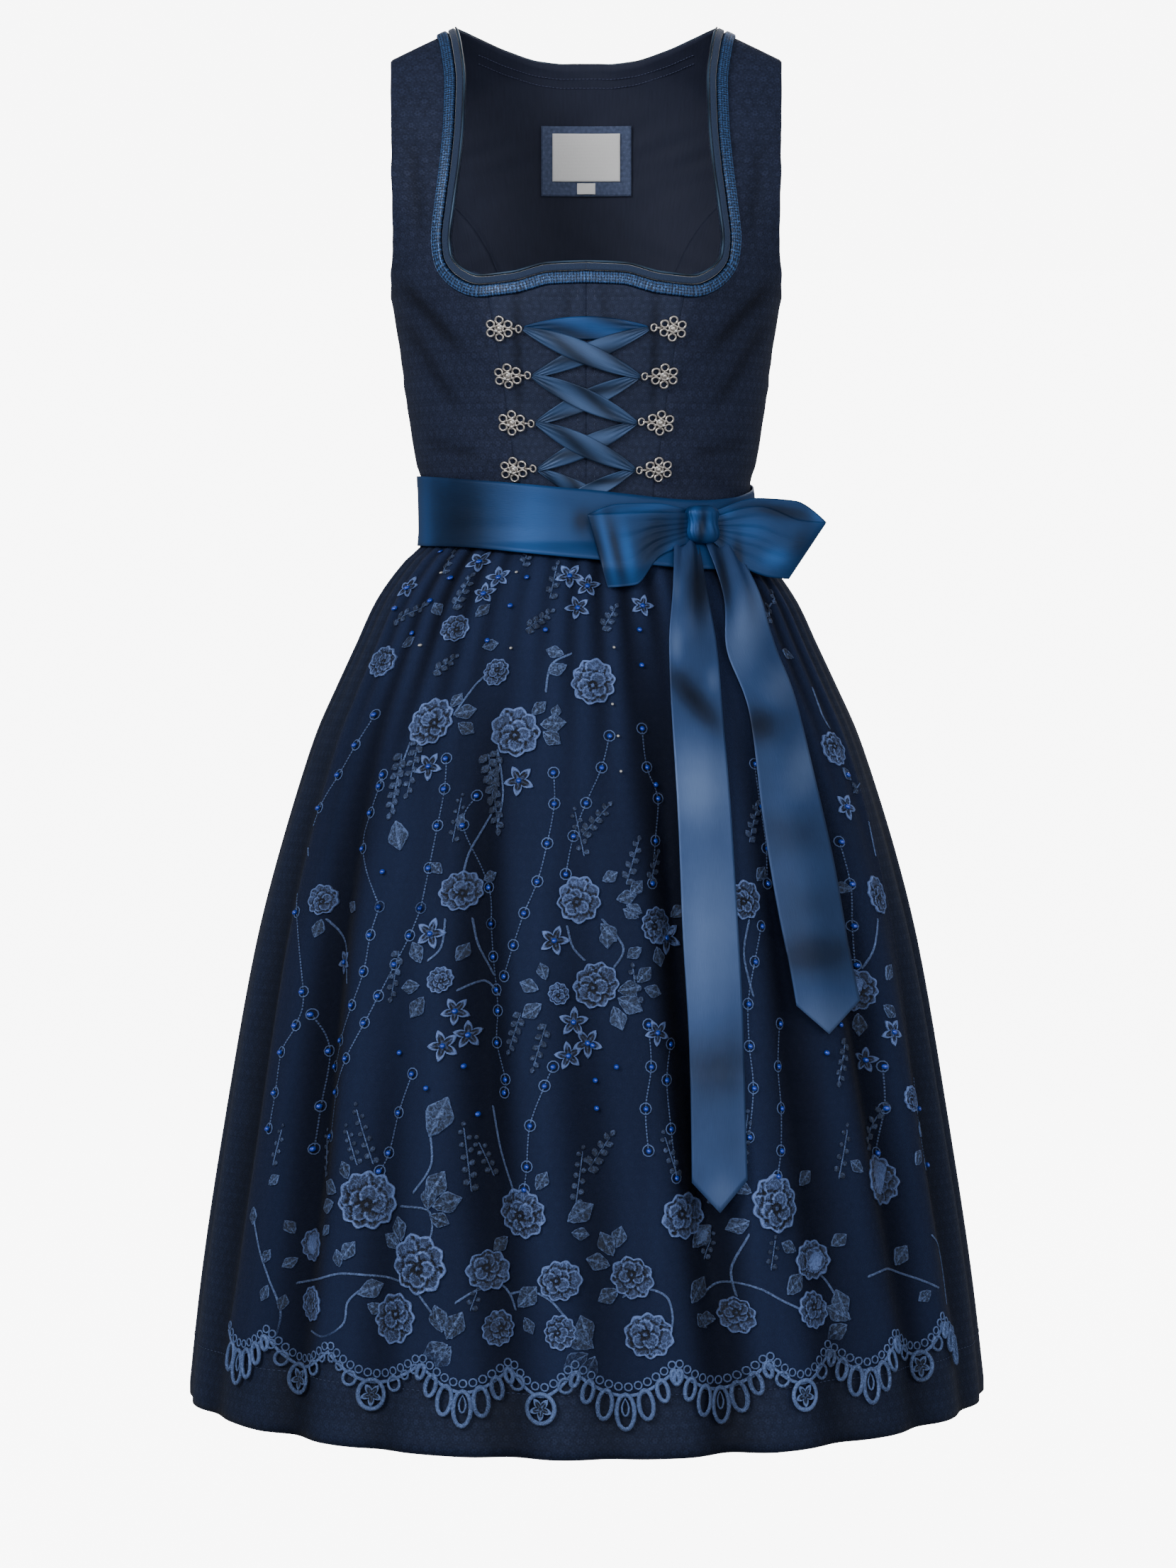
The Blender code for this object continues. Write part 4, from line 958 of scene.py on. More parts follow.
class DirndlColours(bpy.types.PropertyGroup):
    bodice: colour_property("Bodice", "Jacquard of the bodice's sides and back", (36, 43, 66))
    centre: colour_property("Centre", "Jacquard of the bodice's centre panels", (42, 50, 74))
    lining: colour_property("Lining", "Cloth inside the bodice and the skirt", (33, 38, 58))
    skirt: colour_property("Skirt", "Jacquard of the skirt", (32, 42, 68))
    net: colour_property("Net", "Tulle of the apron", (42, 55, 92))
    thread: colour_property("Rose thread", "Embroidery thread of the apron's flowers", (74, 93, 138))
    leaf: colour_property("Leaf thread", "Embroidery thread of the apron's leaves", (68, 86, 124))
    sash: colour_property("Sash", "Satin of the sash and the bow's loops", (19, 62, 112))
    tails: colour_property("Tails", "Satin of the bow's tails", (50, 76, 122))
    # The colour of the tails' painted highlights.
    gleam: colour_property("Gleam", "Palest gleam of the bow's tails", (98, 122, 166))
    piping: colour_property("Piping", "Satin piping at the neck edge", (46, 64, 84))
    lace: colour_property("Lacing", "Satin of the lacing", (46, 67, 100))
    velvet: colour_property("Velvet", "Velvet strip at the neck edge", (48, 60, 84))
    braid: colour_property("Braid", "Braid at the neck edge", (46, 78, 124))
    silver: colour_property("Silver", "Hooks", (196, 190, 184))
    pearl: colour_property("Pearls", "Beads on the apron", (26, 70, 190))
    patch: colour_property("Patch", "Patch under the label", (86, 98, 130))
    label: colour_property("Label", "Woven label and size tag", (252, 252, 253))


def size_property(name, description, metres, least, most):
    return FloatProperty(
        name=name, description=description, default=metres, min=least, max=most, unit="LENGTH",
    )


class DirndlSizes(bpy.types.PropertyGroup):
    repeat: size_property("Jacquard repeat", "Distance between the woven flowers", 0.0092, 0.004, 0.03)
    pearl: size_property("Pearl", "Width of the apron's pearls", 0.0040, 0.002, 0.008)
    stitch: size_property("Stitch", "Length of a visible machine stitch", 0.0024, 0.001, 0.006)


def colours():
    return bpy.context.scene.dirndl_colours


def sizes():
    return bpy.context.scene.dirndl_sizes


# Small shapes that are repeated over a cloth


def bar_shape(length, width, height):
    """A flat stitch: a low box that stands on its cloth."""
    mesh = bmesh.new()
    bmesh.ops.create_cube(mesh, size=1.0)
    bmesh.ops.scale(mesh, vec=(length, width, height), verts=mesh.verts)
    bmesh.ops.translate(mesh, vec=(0.0, 0.0, height / 2.0), verts=mesh.verts)
    return shape_of(mesh, "stitch")


def turned(mesh, verts, angle, axis):
    bmesh.ops.rotate(mesh, verts=verts, cent=(0, 0, 0), matrix=Matrix.Rotation(angle, 3, axis))


def ring_mesh(mesh, middle, wide, high, wire, around=14, section=7):
    """An oval wire ring lying flat in a mesh, whose finished vertices are tagged."""
    verts = bmesh.ops.create_circle(mesh, segments=section, radius=wire)["verts"]
    turned(mesh, verts, pi / 2, "X")
    bmesh.ops.translate(mesh, verts=verts, vec=(1.0, 0.0, 0.0))
    edges = [edge for edge in mesh.edges if edge.verts[0] in verts and edge.verts[1] in verts]
    bmesh.ops.spin(
        mesh, geom=verts + edges, cent=(0, 0, 0), axis=(0, 0, 1), dvec=(0, 0, 0),
        angle=2.0 * pi, steps=around, use_merge=True,
    )
    for vert in mesh.verts:
        if vert.tag:
            continue
        turn = atan2(vert.co.y, vert.co.x)
        off = hypot(vert.co.x, vert.co.y) - 1.0
        vert.co.x = (wide + off) * cos(turn)
        vert.co.y = (high + off) * sin(turn)
        vert.co += Vector(middle)
        vert.tag = True


def ball(mesh, middle, radius, flat=1.0, segments=12):
    rings = segments // 2 + 2
    verts = bmesh.ops.create_uvsphere(mesh, u_segments=segments, v_segments=rings, radius=radius)["verts"]
    bmesh.ops.scale(mesh, verts=verts, vec=(1.0, 1.0, flat))
    bmesh.ops.translate(mesh, verts=verts, vec=middle)
    for vert in verts:
        vert.tag = True


def surface_scale(half, degrees, drop):
    """Metres along the surface for each degree and for each metre of drop."""
    step, fall = 0.5, 0.004
    angle, root = np.radians(degrees), np.sqrt(drop)
    here = on_figure(half, angle, root)
    turned = on_figure(half, angle + radians(step), root) - here
    lower = on_figure(half, angle, np.sqrt(drop + fall)) - here
    return np.linalg.norm(turned, axis=-1) / step, np.linalg.norm(lower, axis=-1) / fall


Copy = namedtuple("Copy", "shape degrees drop turn wide high low")


def scattered(name, copies, half, ground, material, lows=0.0):
    """One mesh of many small shapes, each laid flat on the ground cloth at its own place and turn."""
    mesh = bmesh.new()
    counts = []
    for copy in copies:
        mesh.from_mesh(copy.shape)
        counts.append(len(copy.shape.vertices))
    data = shape_of(mesh, name)
    flat = read(data.vertices, "co")
    owner = np.repeat(np.arange(len(copies)), counts)
    degrees, drop, turn, wide, high, low = (
        np.array([copy[n] for copy in copies])[owner] for n in range(1, 7)
    )
    cosine, sine = np.cos(turn), np.sin(turn)
    x = flat[:, 0] * wide * cosine - flat[:, 1] * high * sine
    y = flat[:, 0] * wide * sine + flat[:, 1] * high * cosine
    per_degree, per_drop = surface_scale(half, degrees, drop)
    degrees, drop = degrees + x / per_degree, drop - y / per_drop
    data.vertices.foreach_set("co", ground(half, degrees, drop, flat[:, 2] + low + lows).ravel())
    # Painted shade of the skirt's folds, carried onto the shapes that lie on it.
    if ground is on_skirt:
        marked(data, "valley", fold_shade_of(half, degrees, drop))
    data.update()
    return shown(name, data, material)


def over_figure(half, degrees, drop, out):
    return over(half, np.radians(degrees), np.sqrt(np.maximum(drop, 0.0)), out)


def stitch_copies(shape, degrees, drop, gap, long=1.0, wide=1.0, lean=0.0):
    """Stitches end to end along a line of close places, with their turns."""
    per_degree, per_drop = surface_scale("front", degrees, drop)
    dx = np.diff(degrees) * per_degree[:-1]
    dy = -np.diff(drop) * per_drop[:-1]
    length = np.concatenate([[0.0], np.cumsum(np.hypot(dx, dy))])
    copies = []
    for at in np.arange(gap / 2.0, length[-1], gap):
        n = min(int(np.searchsorted(length, at)), len(dx)) - 1
        t = (at - length[n]) / max(length[n + 1] - length[n], 1e-9)
        place = [line[n] + (line[n + 1] - line[n]) * t for line in (degrees, drop)]
        copies.append(Copy(shape, *place, atan2(dy[n], dx[n]) + lean, long, wide, 0.0))
    return copies


# Bodice


def side_name(sign):
    return "left" if sign > 0 else "right"


def mirrored(points, sign):
    points[:, 0] *= sign
    return points


def bodice_cloth_place(points):
    """A bodice point's place in its cloth, in metres."""
    drop = drop_of(points[:, 0], points[:, 2])
    angle = angle_of(points[:, 0], drop)
    return np.stack([angle * BODICE_ROUND, points[:, 2]], axis=-1)


def bodice_panel(panel, side, cloth, inner):
    """A fine panel laid by its place(across, up, out), dipping at its seams, with its lining."""
    columns, rows, place, half = panel.columns, panel.rows, panel.place, panel.half
    sign = -1 if side == "_right" else 1

    def laid_place(u, v):
        across = eased(u / columns)
        outer = place(across, v / rows, 0.0)
        dip = creased(half, outer) + seam_valley(across, 0.07)
        return mirrored(place(across, v / rows, -dip), sign)

    def cloth_place(u, v):
        points = place(eased(u / columns), v / rows, 0.0)
        return bodice_cloth_place(points).T

    # Painted shade along the bodice's creases, full at a deep crease.
    def valley(u, v, _):
        outer = place(eased(u / columns), v / rows, 0.0)
        return np.clip(crease_depth(half, outer) / DEEP_CREASE, 0.0, 1.0)

    name, grid = f"{panel.name}_cloth{side}", sheet_grid(columns, rows)
    made = laid(name, grid, laid_place, cloth_place, cloth, from_axis, valley=valley)
    walled(made, BODICE_WALL, inner)
    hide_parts(f"bodice_{panel.name}{side}")


def centre_front_place(across, up, out):
    rows = FRONT_SEAM + (SeamRow(*NECKLINE[SEAM_MEETS_NECKLINE], 0.0),)
    seam_side, seam_drop, _ = smooth_row(rows, up * (len(rows) - 1))
    top = smooth_row(NECKLINE[: SEAM_MEETS_NECKLINE + 1], across * SEAM_MEETS_NECKLINE)[1]
    low = FRONT_SEAM[0].seam_drop
    edge_span = low - NECKLINE[SEAM_MEETS_NECKLINE].drop
    drop = low - (low - seam_drop) / edge_span * (low - top)
    return over("front", angle_of(across * seam_side, drop), np.sqrt(drop), out)


def between_edges(half, inner_side, inner_drop, outer_angle, outer_drop, across, out, scoop=0.0):
    angle_a = angle_of(inner_side, inner_drop)
    inner_root, outer_root = np.sqrt(inner_drop), np.sqrt(outer_drop)
    root = inner_root + (outer_root - inner_root) * across + scoop * np.sin(np.pi * across)
    return over(half, angle_a + (outer_angle - angle_a) * across, root, out)


def side_front_place(across, up, out):
    inner = [row[:2] for row in FRONT_SEAM] + list(NECKLINE[SEAM_MEETS_NECKLINE:])
    outer = [(pi / 2.0, row.side_drop) for row in FRONT_SEAM]
    outer += [(float(angle_of(arm.side, arm.drop)), arm.drop) for arm in FRONT_ARMHOLE]
    at = up * (len(inner) - 1)
    edges = (*smooth_row(inner, at), *smooth_row(outer, at))
    return between_edges("front", *edges, across, out)


def side_back_place(across, up, out):
    at = up * (len(BACK_SEAM) - 1)
    inner_side, inner_drop = smooth_row(BACK_OUTLINE, at)
    outer_drop = smooth_row(BACK_SEAM, at)[2]
    edges = (inner_side - SEAM_TUCK, inner_drop, np.full(len(across), pi / 2.0), outer_drop)
    return between_edges("back", *edges, across, out, ARMHOLE_SCOOP * up**3)


# The centre back's own edge: up the seam to the side back, then up the armhole
BACK_OUTLINE = [EdgePoint(row.seam_side, row.seam_drop) for row in BACK_SEAM] + list(BACK_ARMHOLE)
STRAP_SHARE = 3.0 / 14.0


def centre_back_place(across, up, out):
    from_middle = np.abs(across * 2.0 - 1.0)
    neck_share = 1.0 - 2.0 * STRAP_SHARE
    armhole_side = BACK_OUTLINE[-1].side
    neck_part = NECK_HALF_WIDTH / armhole_side
    part = np.where(
        from_middle <= neck_share,
        from_middle / neck_share * neck_part,
        neck_part + (from_middle - neck_share) / (1.0 - neck_share) * (1.0 - neck_part),
    )
    edge_side, edge_drop = smooth_row(BACK_OUTLINE, up * (len(BACK_OUTLINE) - 1))
    top_drop = np.maximum(along(*zip(*BACK_NECKLINE), part * armhole_side), 0.0)
    top = np.where(part < neck_part, np.sqrt(top_drop), 0.0)
    low = sqrt(BACK_OUTLINE[0].drop)
    # The neck's curve only bends the rows that are near it, and least of all beside the straps.
    share = 1.0 - np.sqrt(edge_drop) / low
    hold = np.clip(0.6 * low / np.maximum(top, 0.03), 1.0, 12.0)
    root = low * (1.0 - share) + top * share**hold
    angle = np.copysign(angle_of(part * edge_side, root * root), across - 0.5)
    return over("back", angle, root, out)


# The bodice's panels: their grids, how each is laid, and their flat sizes
Panel = namedtuple("Panel", "name columns rows place half slot flat area")
PAIRED_PANELS = rows_of(
    Panel,
    ("centre_front", 40, 80, centre_front_place, "front", "centre_jacquard", (0.078, 0.205), None),
    ("side_front", 44, 130, side_front_place, "front", "bodice_jacquard", (0.160, 0.400), 0.036),
    ("side_back", 40, 80, side_back_place, "back", "bodice_jacquard", (0.150, 0.190), 0.019),
)
BACK_PANEL = Panel(
    "back_centre", 112, 110, centre_back_place, "back", "bodice_jacquard", (0.320, 0.400), 0.070,
)


class DIRNDL_OT_bodice(bpy.types.Operator):
    """Lay the seven jacquard panels of the bodice, with their lining and seam stitches"""

    bl_idname = "dirndl.bodice"
    bl_label = "Bodice"

    def execute(self, context):
        paint, repeat = colours(), sizes().repeat
        cloths = {
            "bodice_jacquard": jacquard("bodice_jacquard_cloth", paint.bodice, repeat, 0.55),
            "centre_jacquard": jacquard("centre_jacquard_cloth", paint.centre, repeat * 0.6, 0.35),
        }
        inner = lining("bodice_lining", paint.lining)
        for side in ("_right", "_left"):
            for panel in PAIRED_PANELS:
                bodice_panel(panel, side, cloths[panel.slot], inner)
        bodice_panel(BACK_PANEL, "", cloths[BACK_PANEL.slot], inner)
        self.placket_stitches(thread("bodice_thread", tinted(paint.bodice, 1.5)))
        self.facing_stitches(thread("facing_thread", tinted(paint.lining, 2.6)))
        return {"FINISHED"}

    def placket_stitches(self, material):
        """Two rows of stitches beside the front's middle seam."""
        shape = bar_shape(sizes().stitch, 0.0005, 0.0004)
        drop = np.linspace(PLACKET_TOP_DROP, PLACKET_END_DROP, 60)
        copies = []
        for side in (-PLACKET_SIDE, PLACKET_SIDE):
            degrees = np.degrees(angle_of(side, drop))
            copies += stitch_copies(shape, degrees, drop, sizes().stitch * 1.35)
        made = scattered("placket_stitches", copies, "front", over_figure, material, -0.0008)

    def facing_stitches(self, material):
        """Two rows of stitches that hold the facing inside the back neck."""
        shape = bar_shape(sizes().stitch, 0.0006, 0.0006)
        side = np.linspace(-FACING_HALF_WIDTH, FACING_HALF_WIDTH, 90)
        copies = []
        for below_edge in FACING_ROWS:
            drop = along(*zip(*BACK_NECKLINE), np.abs(side)) + below_edge
            degrees = np.degrees(angle_of(side, drop))
            copies += stitch_copies(shape, degrees, drop, sizes().stitch * 1.3)
        low = -BODICE_WALL - 0.0011
        made = scattered("facing_stitches", copies, "back", over_figure, material, low)


# Neck trims


def edge_stops(table, steps):
    """Close places along a neck edge, as angle and root of the drop."""
    side, drop = smooth_row(table, np.linspace(0.0, len(table) - 1.0, steps + 1))
    drop = np.maximum(drop, 0.0)
    return angle_of(side, drop), np.sqrt(drop)


def stepped(half, angle, root, direction, distance):
    """The places on the surface that far from some stops, in their directions."""
    steps = 4
    for _ in range(steps):
        by_angle, by_root, _ = slopes_and_normal(half, angle, root)
        pairs = ((by_angle, by_angle), (by_angle, by_root), (by_root, by_root))
        aa, ar, rr = ((a * b).sum(-1) for a, b in pairs)
        da, dr = (direction * by_angle).sum(-1), (direction * by_root).sum(-1)
        scale = distance / steps / (aa * rr - ar * ar)
        angle = angle + (da * rr - dr * ar) * scale
        root = np.maximum(0.0, root + (dr * aa - da * ar) * scale)
    return angle, root


class EdgeBand:
    """Places beside one neck edge, by how far along and how far in they are."""

    def __init__(self, half, table, steps):
        self.half, self.steps = half, steps
        self.angle, self.root = edge_stops(table, steps)
        points = on_figure(half, self.angle, self.root)
        before, after = np.roll(points, 1, axis=0), np.roll(points, -1, axis=0)
        before[0], after[-1] = points[0], points[-1]
        normal = slopes_and_normal(half, self.angle, self.root)[2]
        away = unit(np.cross(normal, after - before))
        if half == "front":
            away = -away
            away[0] = unit(away[0] * np.array([0.0, 1.0, 1.0]))
            away[-1] = unit(np.array([1.0, 0.0, -SHOULDER_SLOPE]))
        else:
            ends = np.abs(points[:, 0]) / NECK_HALF_WIDTH
            level = np.copysign(ends**2, points[:, 0])
            lower = -1.0 + ends**2 * (1.0 - SHOULDER_SLOPE)
            away = unit(np.stack([level, np.zeros(len(level)), lower], axis=-1))
        self.away = away
        steps_long = np.linalg.norm(np.diff(points, axis=0), axis=1)
        self.length = np.concatenate([[0.0], np.cumsum(steps_long)])

    def place(self, index, distance, out):
        start = (self.angle[index], self.root[index], self.away[index])
        angle, root = stepped(self.half, *start, distance)
        if self.half == "back":
            root = np.where((index == 0) | (index == self.steps), 0.0, root)
        return over(self.half, angle, root, out)


def trim_band(trim, band, name, sign, material):
    """A rounded band beside a neck edge."""
    columns = 8

    def place(u, v):
        part = u / columns
        rounding = np.sqrt(np.maximum(0.0, 1.0 - (2.0 * part - 1.0) ** 6))
        out = trim.low + (trim.high - trim.low) * rounding
        index = np.round(v).astype(int)
        points = band.place(index, trim.start + (trim.end - trim.start) * part, out)
        if band.half == "front":
            points[:, 0] = np.maximum(points[:, 0], 0.0)
        return mirrored(points, sign)

    def cloth_place(u, v):
        across = trim.start + (trim.end - trim.start) * u / columns
        return across, band.length[np.round(v).astype(int)]

    # Painted highlights and shade along the satin piping, in slow waves.
    def gleam(u, v, _):
        return 0.55 + 0.25 * np.sin(v * 0.21)

    grid = sheet_grid(columns, band.steps)
    made = laid(name, grid, place, cloth_place, material, from_axis, gleam=gleam)
    return walled(made, (trim.high - trim.low) * 0.6)


class DIRNDL_OT_neck_trims(bpy.types.Operator):
    """Lay the satin piping, the velvet strip and the glittering braid round the neck edge"""

    bl_idname = "dirndl.neck_trims"
    bl_label = "Neck trims"

    def execute(self, context):
        paint = colours()
        finishes = {
            "satin_piping": (satin("piping_satin", paint.piping, tinted(paint.piping, 2.0)), "lacing_satin"),
            "neck_velvet": (velvet("neck_velvet_pile", paint.velvet), "velvet"),
            "neck_braid": (glitter_braid("neck_braid_foil", paint.braid), "braid"),
        }
        back = tuple(EdgePoint(-point.side, point.drop) for point in reversed(BACK_NECKLINE[1:]))
        front_band = EdgeBand("front", NECKLINE, 240)
        back_band = EdgeBand("back", back + BACK_NECKLINE, 120)
        parts = (("right", front_band, -1), ("left", front_band, 1), ("back", back_band, 1))
        for trim in TRIMS:
            material, slot = finishes[trim.name]
            for part, band, sign in parts:
                made = trim_band(trim, band, f"{trim.name}_{part}_cloth", sign, material)
                if trim.replaces:
                    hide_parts(f"{trim.name}_{part}")
        return {"FINISHED"}


# Skirt


def gathered_cloth(name, half, columns, rows, measures, out_of, material):
    """A cloth laid on the folded skirt, by the degrees and the drop of its points."""

    def place(u, v):
        degrees, drop = measures(u, v)
        return on_skirt(half, degrees, drop, out_of(v, drop))

    def cloth_place(u, v):
        degrees, drop = measures(u, v)
        return np.radians(degrees) * SKIRT_ROUND + (0.0 if half == "front" else 1.0), -drop

    # Painted shade in the hollows of the skirt's folds and gathers.
    def valley(u, v, _):
        return fold_shade_of(half, *measures(u, v))

    grid = sheet_grid(columns, rows)
    return laid(name, grid, place, cloth_place, material, from_axis, valley=valley)


def skirt_half(half, material, inner):
    columns, rows = 288, 96

    def measures(u, v):
        down = (v / rows) ** 1.15
        return 180.0 * u / columns - 90.0, WAIST_DROP + (HEM_DROP - WAIST_DROP) * down

    def rolled(v, drop):
        return -0.0008 * np.exp(-((HEM_DROP - drop) / 0.0020) ** 2)

    name = f"skirt_cloth_{half}"
    made = gathered_cloth(name, half, columns, rows, measures, rolled, material)
    walled(made, SKIRT_WALL, inner)
    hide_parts(f"skirt_{half}")


class DIRNDL_OT_skirt(bpy.types.Operator):
    """Lay the gathered skirt's two halves, with their folds and hem stitches"""

    bl_idname = "dirndl.skirt"
    bl_label = "Skirt"

    def execute(self, context):
        paint = colours()
        cloth = jacquard("skirt_jacquard_cloth", paint.skirt, sizes().repeat, 0.45)
        inner = lining("skirt_lining", paint.lining)
        stitches = thread("hem_thread", tinted(paint.skirt, 1.8))
        shape = bar_shape(sizes().stitch, 0.0006, 0.0003)
        degrees, drop = np.linspace(-89.6, 89.6, 400), np.full(400, HEM_DROP - HEM_STITCHES_UP)
        for half in ("front", "back"):
            skirt_half(half, cloth, inner)
            copies = stitch_copies(shape, degrees, drop, sizes().stitch * 1.7)
            made = scattered(f"hem_stitches_{half}", copies, half, on_skirt, stitches, 0.0001)
        return {"FINISHED"}


# Lace apron

# Roses by the picture's pixels: the middle, the radius, the turn in degrees and which drawing
Bloom = namedtuple("Bloom", "x y radius turn kind")
BLOOMS = rows_of(
    Bloom,
    (540, 925, 29, 20, 0), (608, 1010, 39, 80, 1), (726, 1024, 41, 200, 2), (837, 953, 37, 300, 0),
    (647, 1250, 33, 40, 1), (817, 1262, 36, 150, 2), (841, 1384, 36, 260, 0), (513, 1691, 48, 10, 1),
    (588, 1782, 46, 190, 2), (552, 1861, 38, 120, 0), (735, 1710, 38, 330, 1), (685, 1794, 33, 60, 2),
    (790, 1806, 33, 220, 0), (699, 1877, 27, 95, 1), (422, 1758, 25, 15, 2), (426, 1841, 27, 170, 0),
    (359, 1680, 18, 250, 1), (970, 1715, 37, 70, 2), (1097, 1695, 43, 310, 0), (1259, 1664, 39, 140, 1),
    (893, 1802, 33, 25, 2), (917, 1885, 37, 205, 0), (1340, 1802, 29, 105, 1), (1326, 1723, 23, 285, 2),
    (1156, 1778, 33, 35, 0), (1156, 1849, 30, 160, 1), (643, 878, 24, 240, 2), (700, 940, 22, 110, 0),
    (619, 1376, 21, 60, 1), (788, 1396, 17, 180, 2), (1150, 935, 27, 50, 0), (1178, 1048, 30, 210, 1),
    (1052, 1262, 30, 130, 2), (1240, 1255, 30, 320, 0), (1225, 1392, 33, 75, 1), (448, 1262, 26, 230, 2),
    (436, 1010, 22, 12, 0), (790, 1880, 26, 290, 1), (1046, 1858, 28, 15, 2), (930, 1300, 28, 300, 1),
    (1290, 1545, 22, 190, 0),
)
# Small flowers of five pointed petals with a pearl in the middle
Star = namedtuple("Star", "x y radius turn")
STARS = rows_of(
    Star,
    (595, 782, 17, 10), (577, 821, 15, 50), (677, 784, 16, 30), (704, 806, 15, 0), (684, 829, 14, 60),
    (804, 804, 17, 20), (829, 818, 15, 45), (815, 849, 15, 5), (604, 1073, 17, 25), (732, 1093, 18, 12),
    (606, 1310, 18, 40), (639, 1421, 16, 15), (655, 1456, 16, 60), (623, 1470, 18, 5), (782, 1320, 17, 35),
    (809, 1437, 17, 50), (829, 1467, 17, 20), (802, 1485, 16, 65), (949, 1319, 19, 8), (1100, 812, 15, 30),
    (1130, 850, 15, 5), (1195, 1130, 16, 20), (1172, 1335, 16, 50), (1262, 1450, 16, 15),
    (1240, 1492, 15, 40), (470, 1352, 14, 20), (482, 905, 13, 45), (528, 812, 13, 15), (1048, 800, 13, 0),
    (906, 846, 14, 33), (930, 1452, 15, 10),
)
# Leaves: where the stalk's end is, the length and the turn from level, anticlockwise
Leaf = namedtuple("Leaf", "x y length turn")
LEAVES = rows_of(
    Leaf,
    (640, 1000, 34, 15), (646, 1012, 30, -30), (636, 990, 26, 60), (762, 1014, 38, 5), (766, 1024, 32, -35),
    (750, 1000, 28, 45), (558, 1150, 46, -70), (604, 1600, 62, 68), (600, 1690, 48, 60),
    (608, 1700, 44, 18), (602, 1704, 34, 92), (604, 1712, 32, -20), (478, 1776, 34, 55),
    (476, 1786, 26, 110), (500, 1826, 40, 25), (512, 1840, 26, -28), (728, 1846, 42, 48),
    (738, 1860, 26, -60), (800, 1722, 44, 32), (806, 1738, 26, -10), (980, 1840, 42, 52),
    (990, 1856, 26, -58), (984, 1762, 44, 40), (1114, 1826, 40, 42), (1282, 1786, 36, 48),
    (622, 1880, 40, 110), (628, 1890, 44, 62), (630, 1898, 40, -155), (634, 1900, 38, -125),
    (832, 1898, 42, 108), (838, 1904, 44, 148), (830, 1912, 40, -150), (840, 1916, 38, -115),
    (1202, 1856, 38, 105), (1208, 1862, 40, 150), (1204, 1870, 36, -150), (470, 1680, 34, 160),
    (466, 1694, 32, 205), (488, 1660, 28, 120), (560, 1760, 34, 150), (562, 1750, 36, 108),
    (712, 1746, 30, 225), (756, 1676, 30, 60), (862, 1786, 36, 165), (866, 1772, 38, 118),
    (870, 1760, 32, 75), (874, 1820, 34, 210), (1010, 1700, 34, 30), (1062, 1680, 30, 150),
    (1060, 1720, 34, 205), (1140, 1672, 30, 40), (1222, 1650, 28, 140), (1296, 1640, 28, 45),
    (848, 1296, 34, -50), (856, 1300, 32, -88), (850, 1236, 26, 30), (872, 1402, 40, -28),
    (866, 1414, 36, -70), (872, 1392, 34, 10), (900, 1380, 30, 45), (910, 1388, 28, -20),
    (870, 1262, 30, 12), (884, 1270, 26, -28), (890, 1256, 28, 48), (782, 1006, 22, 80),
    (800, 930, 30, 205), (796, 915, 28, 165), (512, 912, 24, 150), (514, 940, 26, 215), (566, 905, 26, 40),
    (672, 862, 26, 50), (620, 860, 26, 130), (680, 905, 26, 15), (650, 1140, 20, -100),
    (622, 1225, 24, 140), (676, 1236, 24, 30), (592, 1352, 34, 120), (640, 1350, 30, 60),
    (596, 1400, 36, -120), (590, 1384, 30, 190), (760, 1390, 30, 160), (764, 1410, 34, 215),
    (770, 1376, 26, 110), (420, 1030, 26, 235), (452, 988, 26, 50), (410, 1000, 22, 150),
    (1120, 920, 26, 150), (1176, 915, 26, 50), (1196, 1030, 28, 30), (1150, 1068, 28, 215),
    (1190, 1075, 26, -50), (1020, 1250, 28, 160), (1072, 1236, 28, 45), (1208, 1248, 26, 165),
    (1264, 1236, 28, 40), (1196, 1402, 30, 200), (1252, 1376, 30, 45), (1250, 1412, 30, -40),
    (1230, 1425, 34, -95), (478, 1268, 26, -20), (424, 1248, 24, 150), (446, 1290, 28, -100),
    (1184, 1758, 28, 35), (1128, 1764, 28, 150), (1020, 1866, 28, 170), (400, 1740, 24, 130),
    (402, 1776, 24, 215), (446, 1742, 22, 50), (375, 1668, 24, 40), (352, 1700, 26, -80),
    (366, 1780, 24, 60), (372, 1812, 26, -110), (384, 1850, 24, 80), (1352, 1778, 22, 60),
    (1318, 1820, 26, 210), (1306, 1600, 24, 60), (902, 1288, 26, 150), (956, 1290, 28, 35),
    (930, 1330, 30, -80), (906, 1330, 26, 215),
)
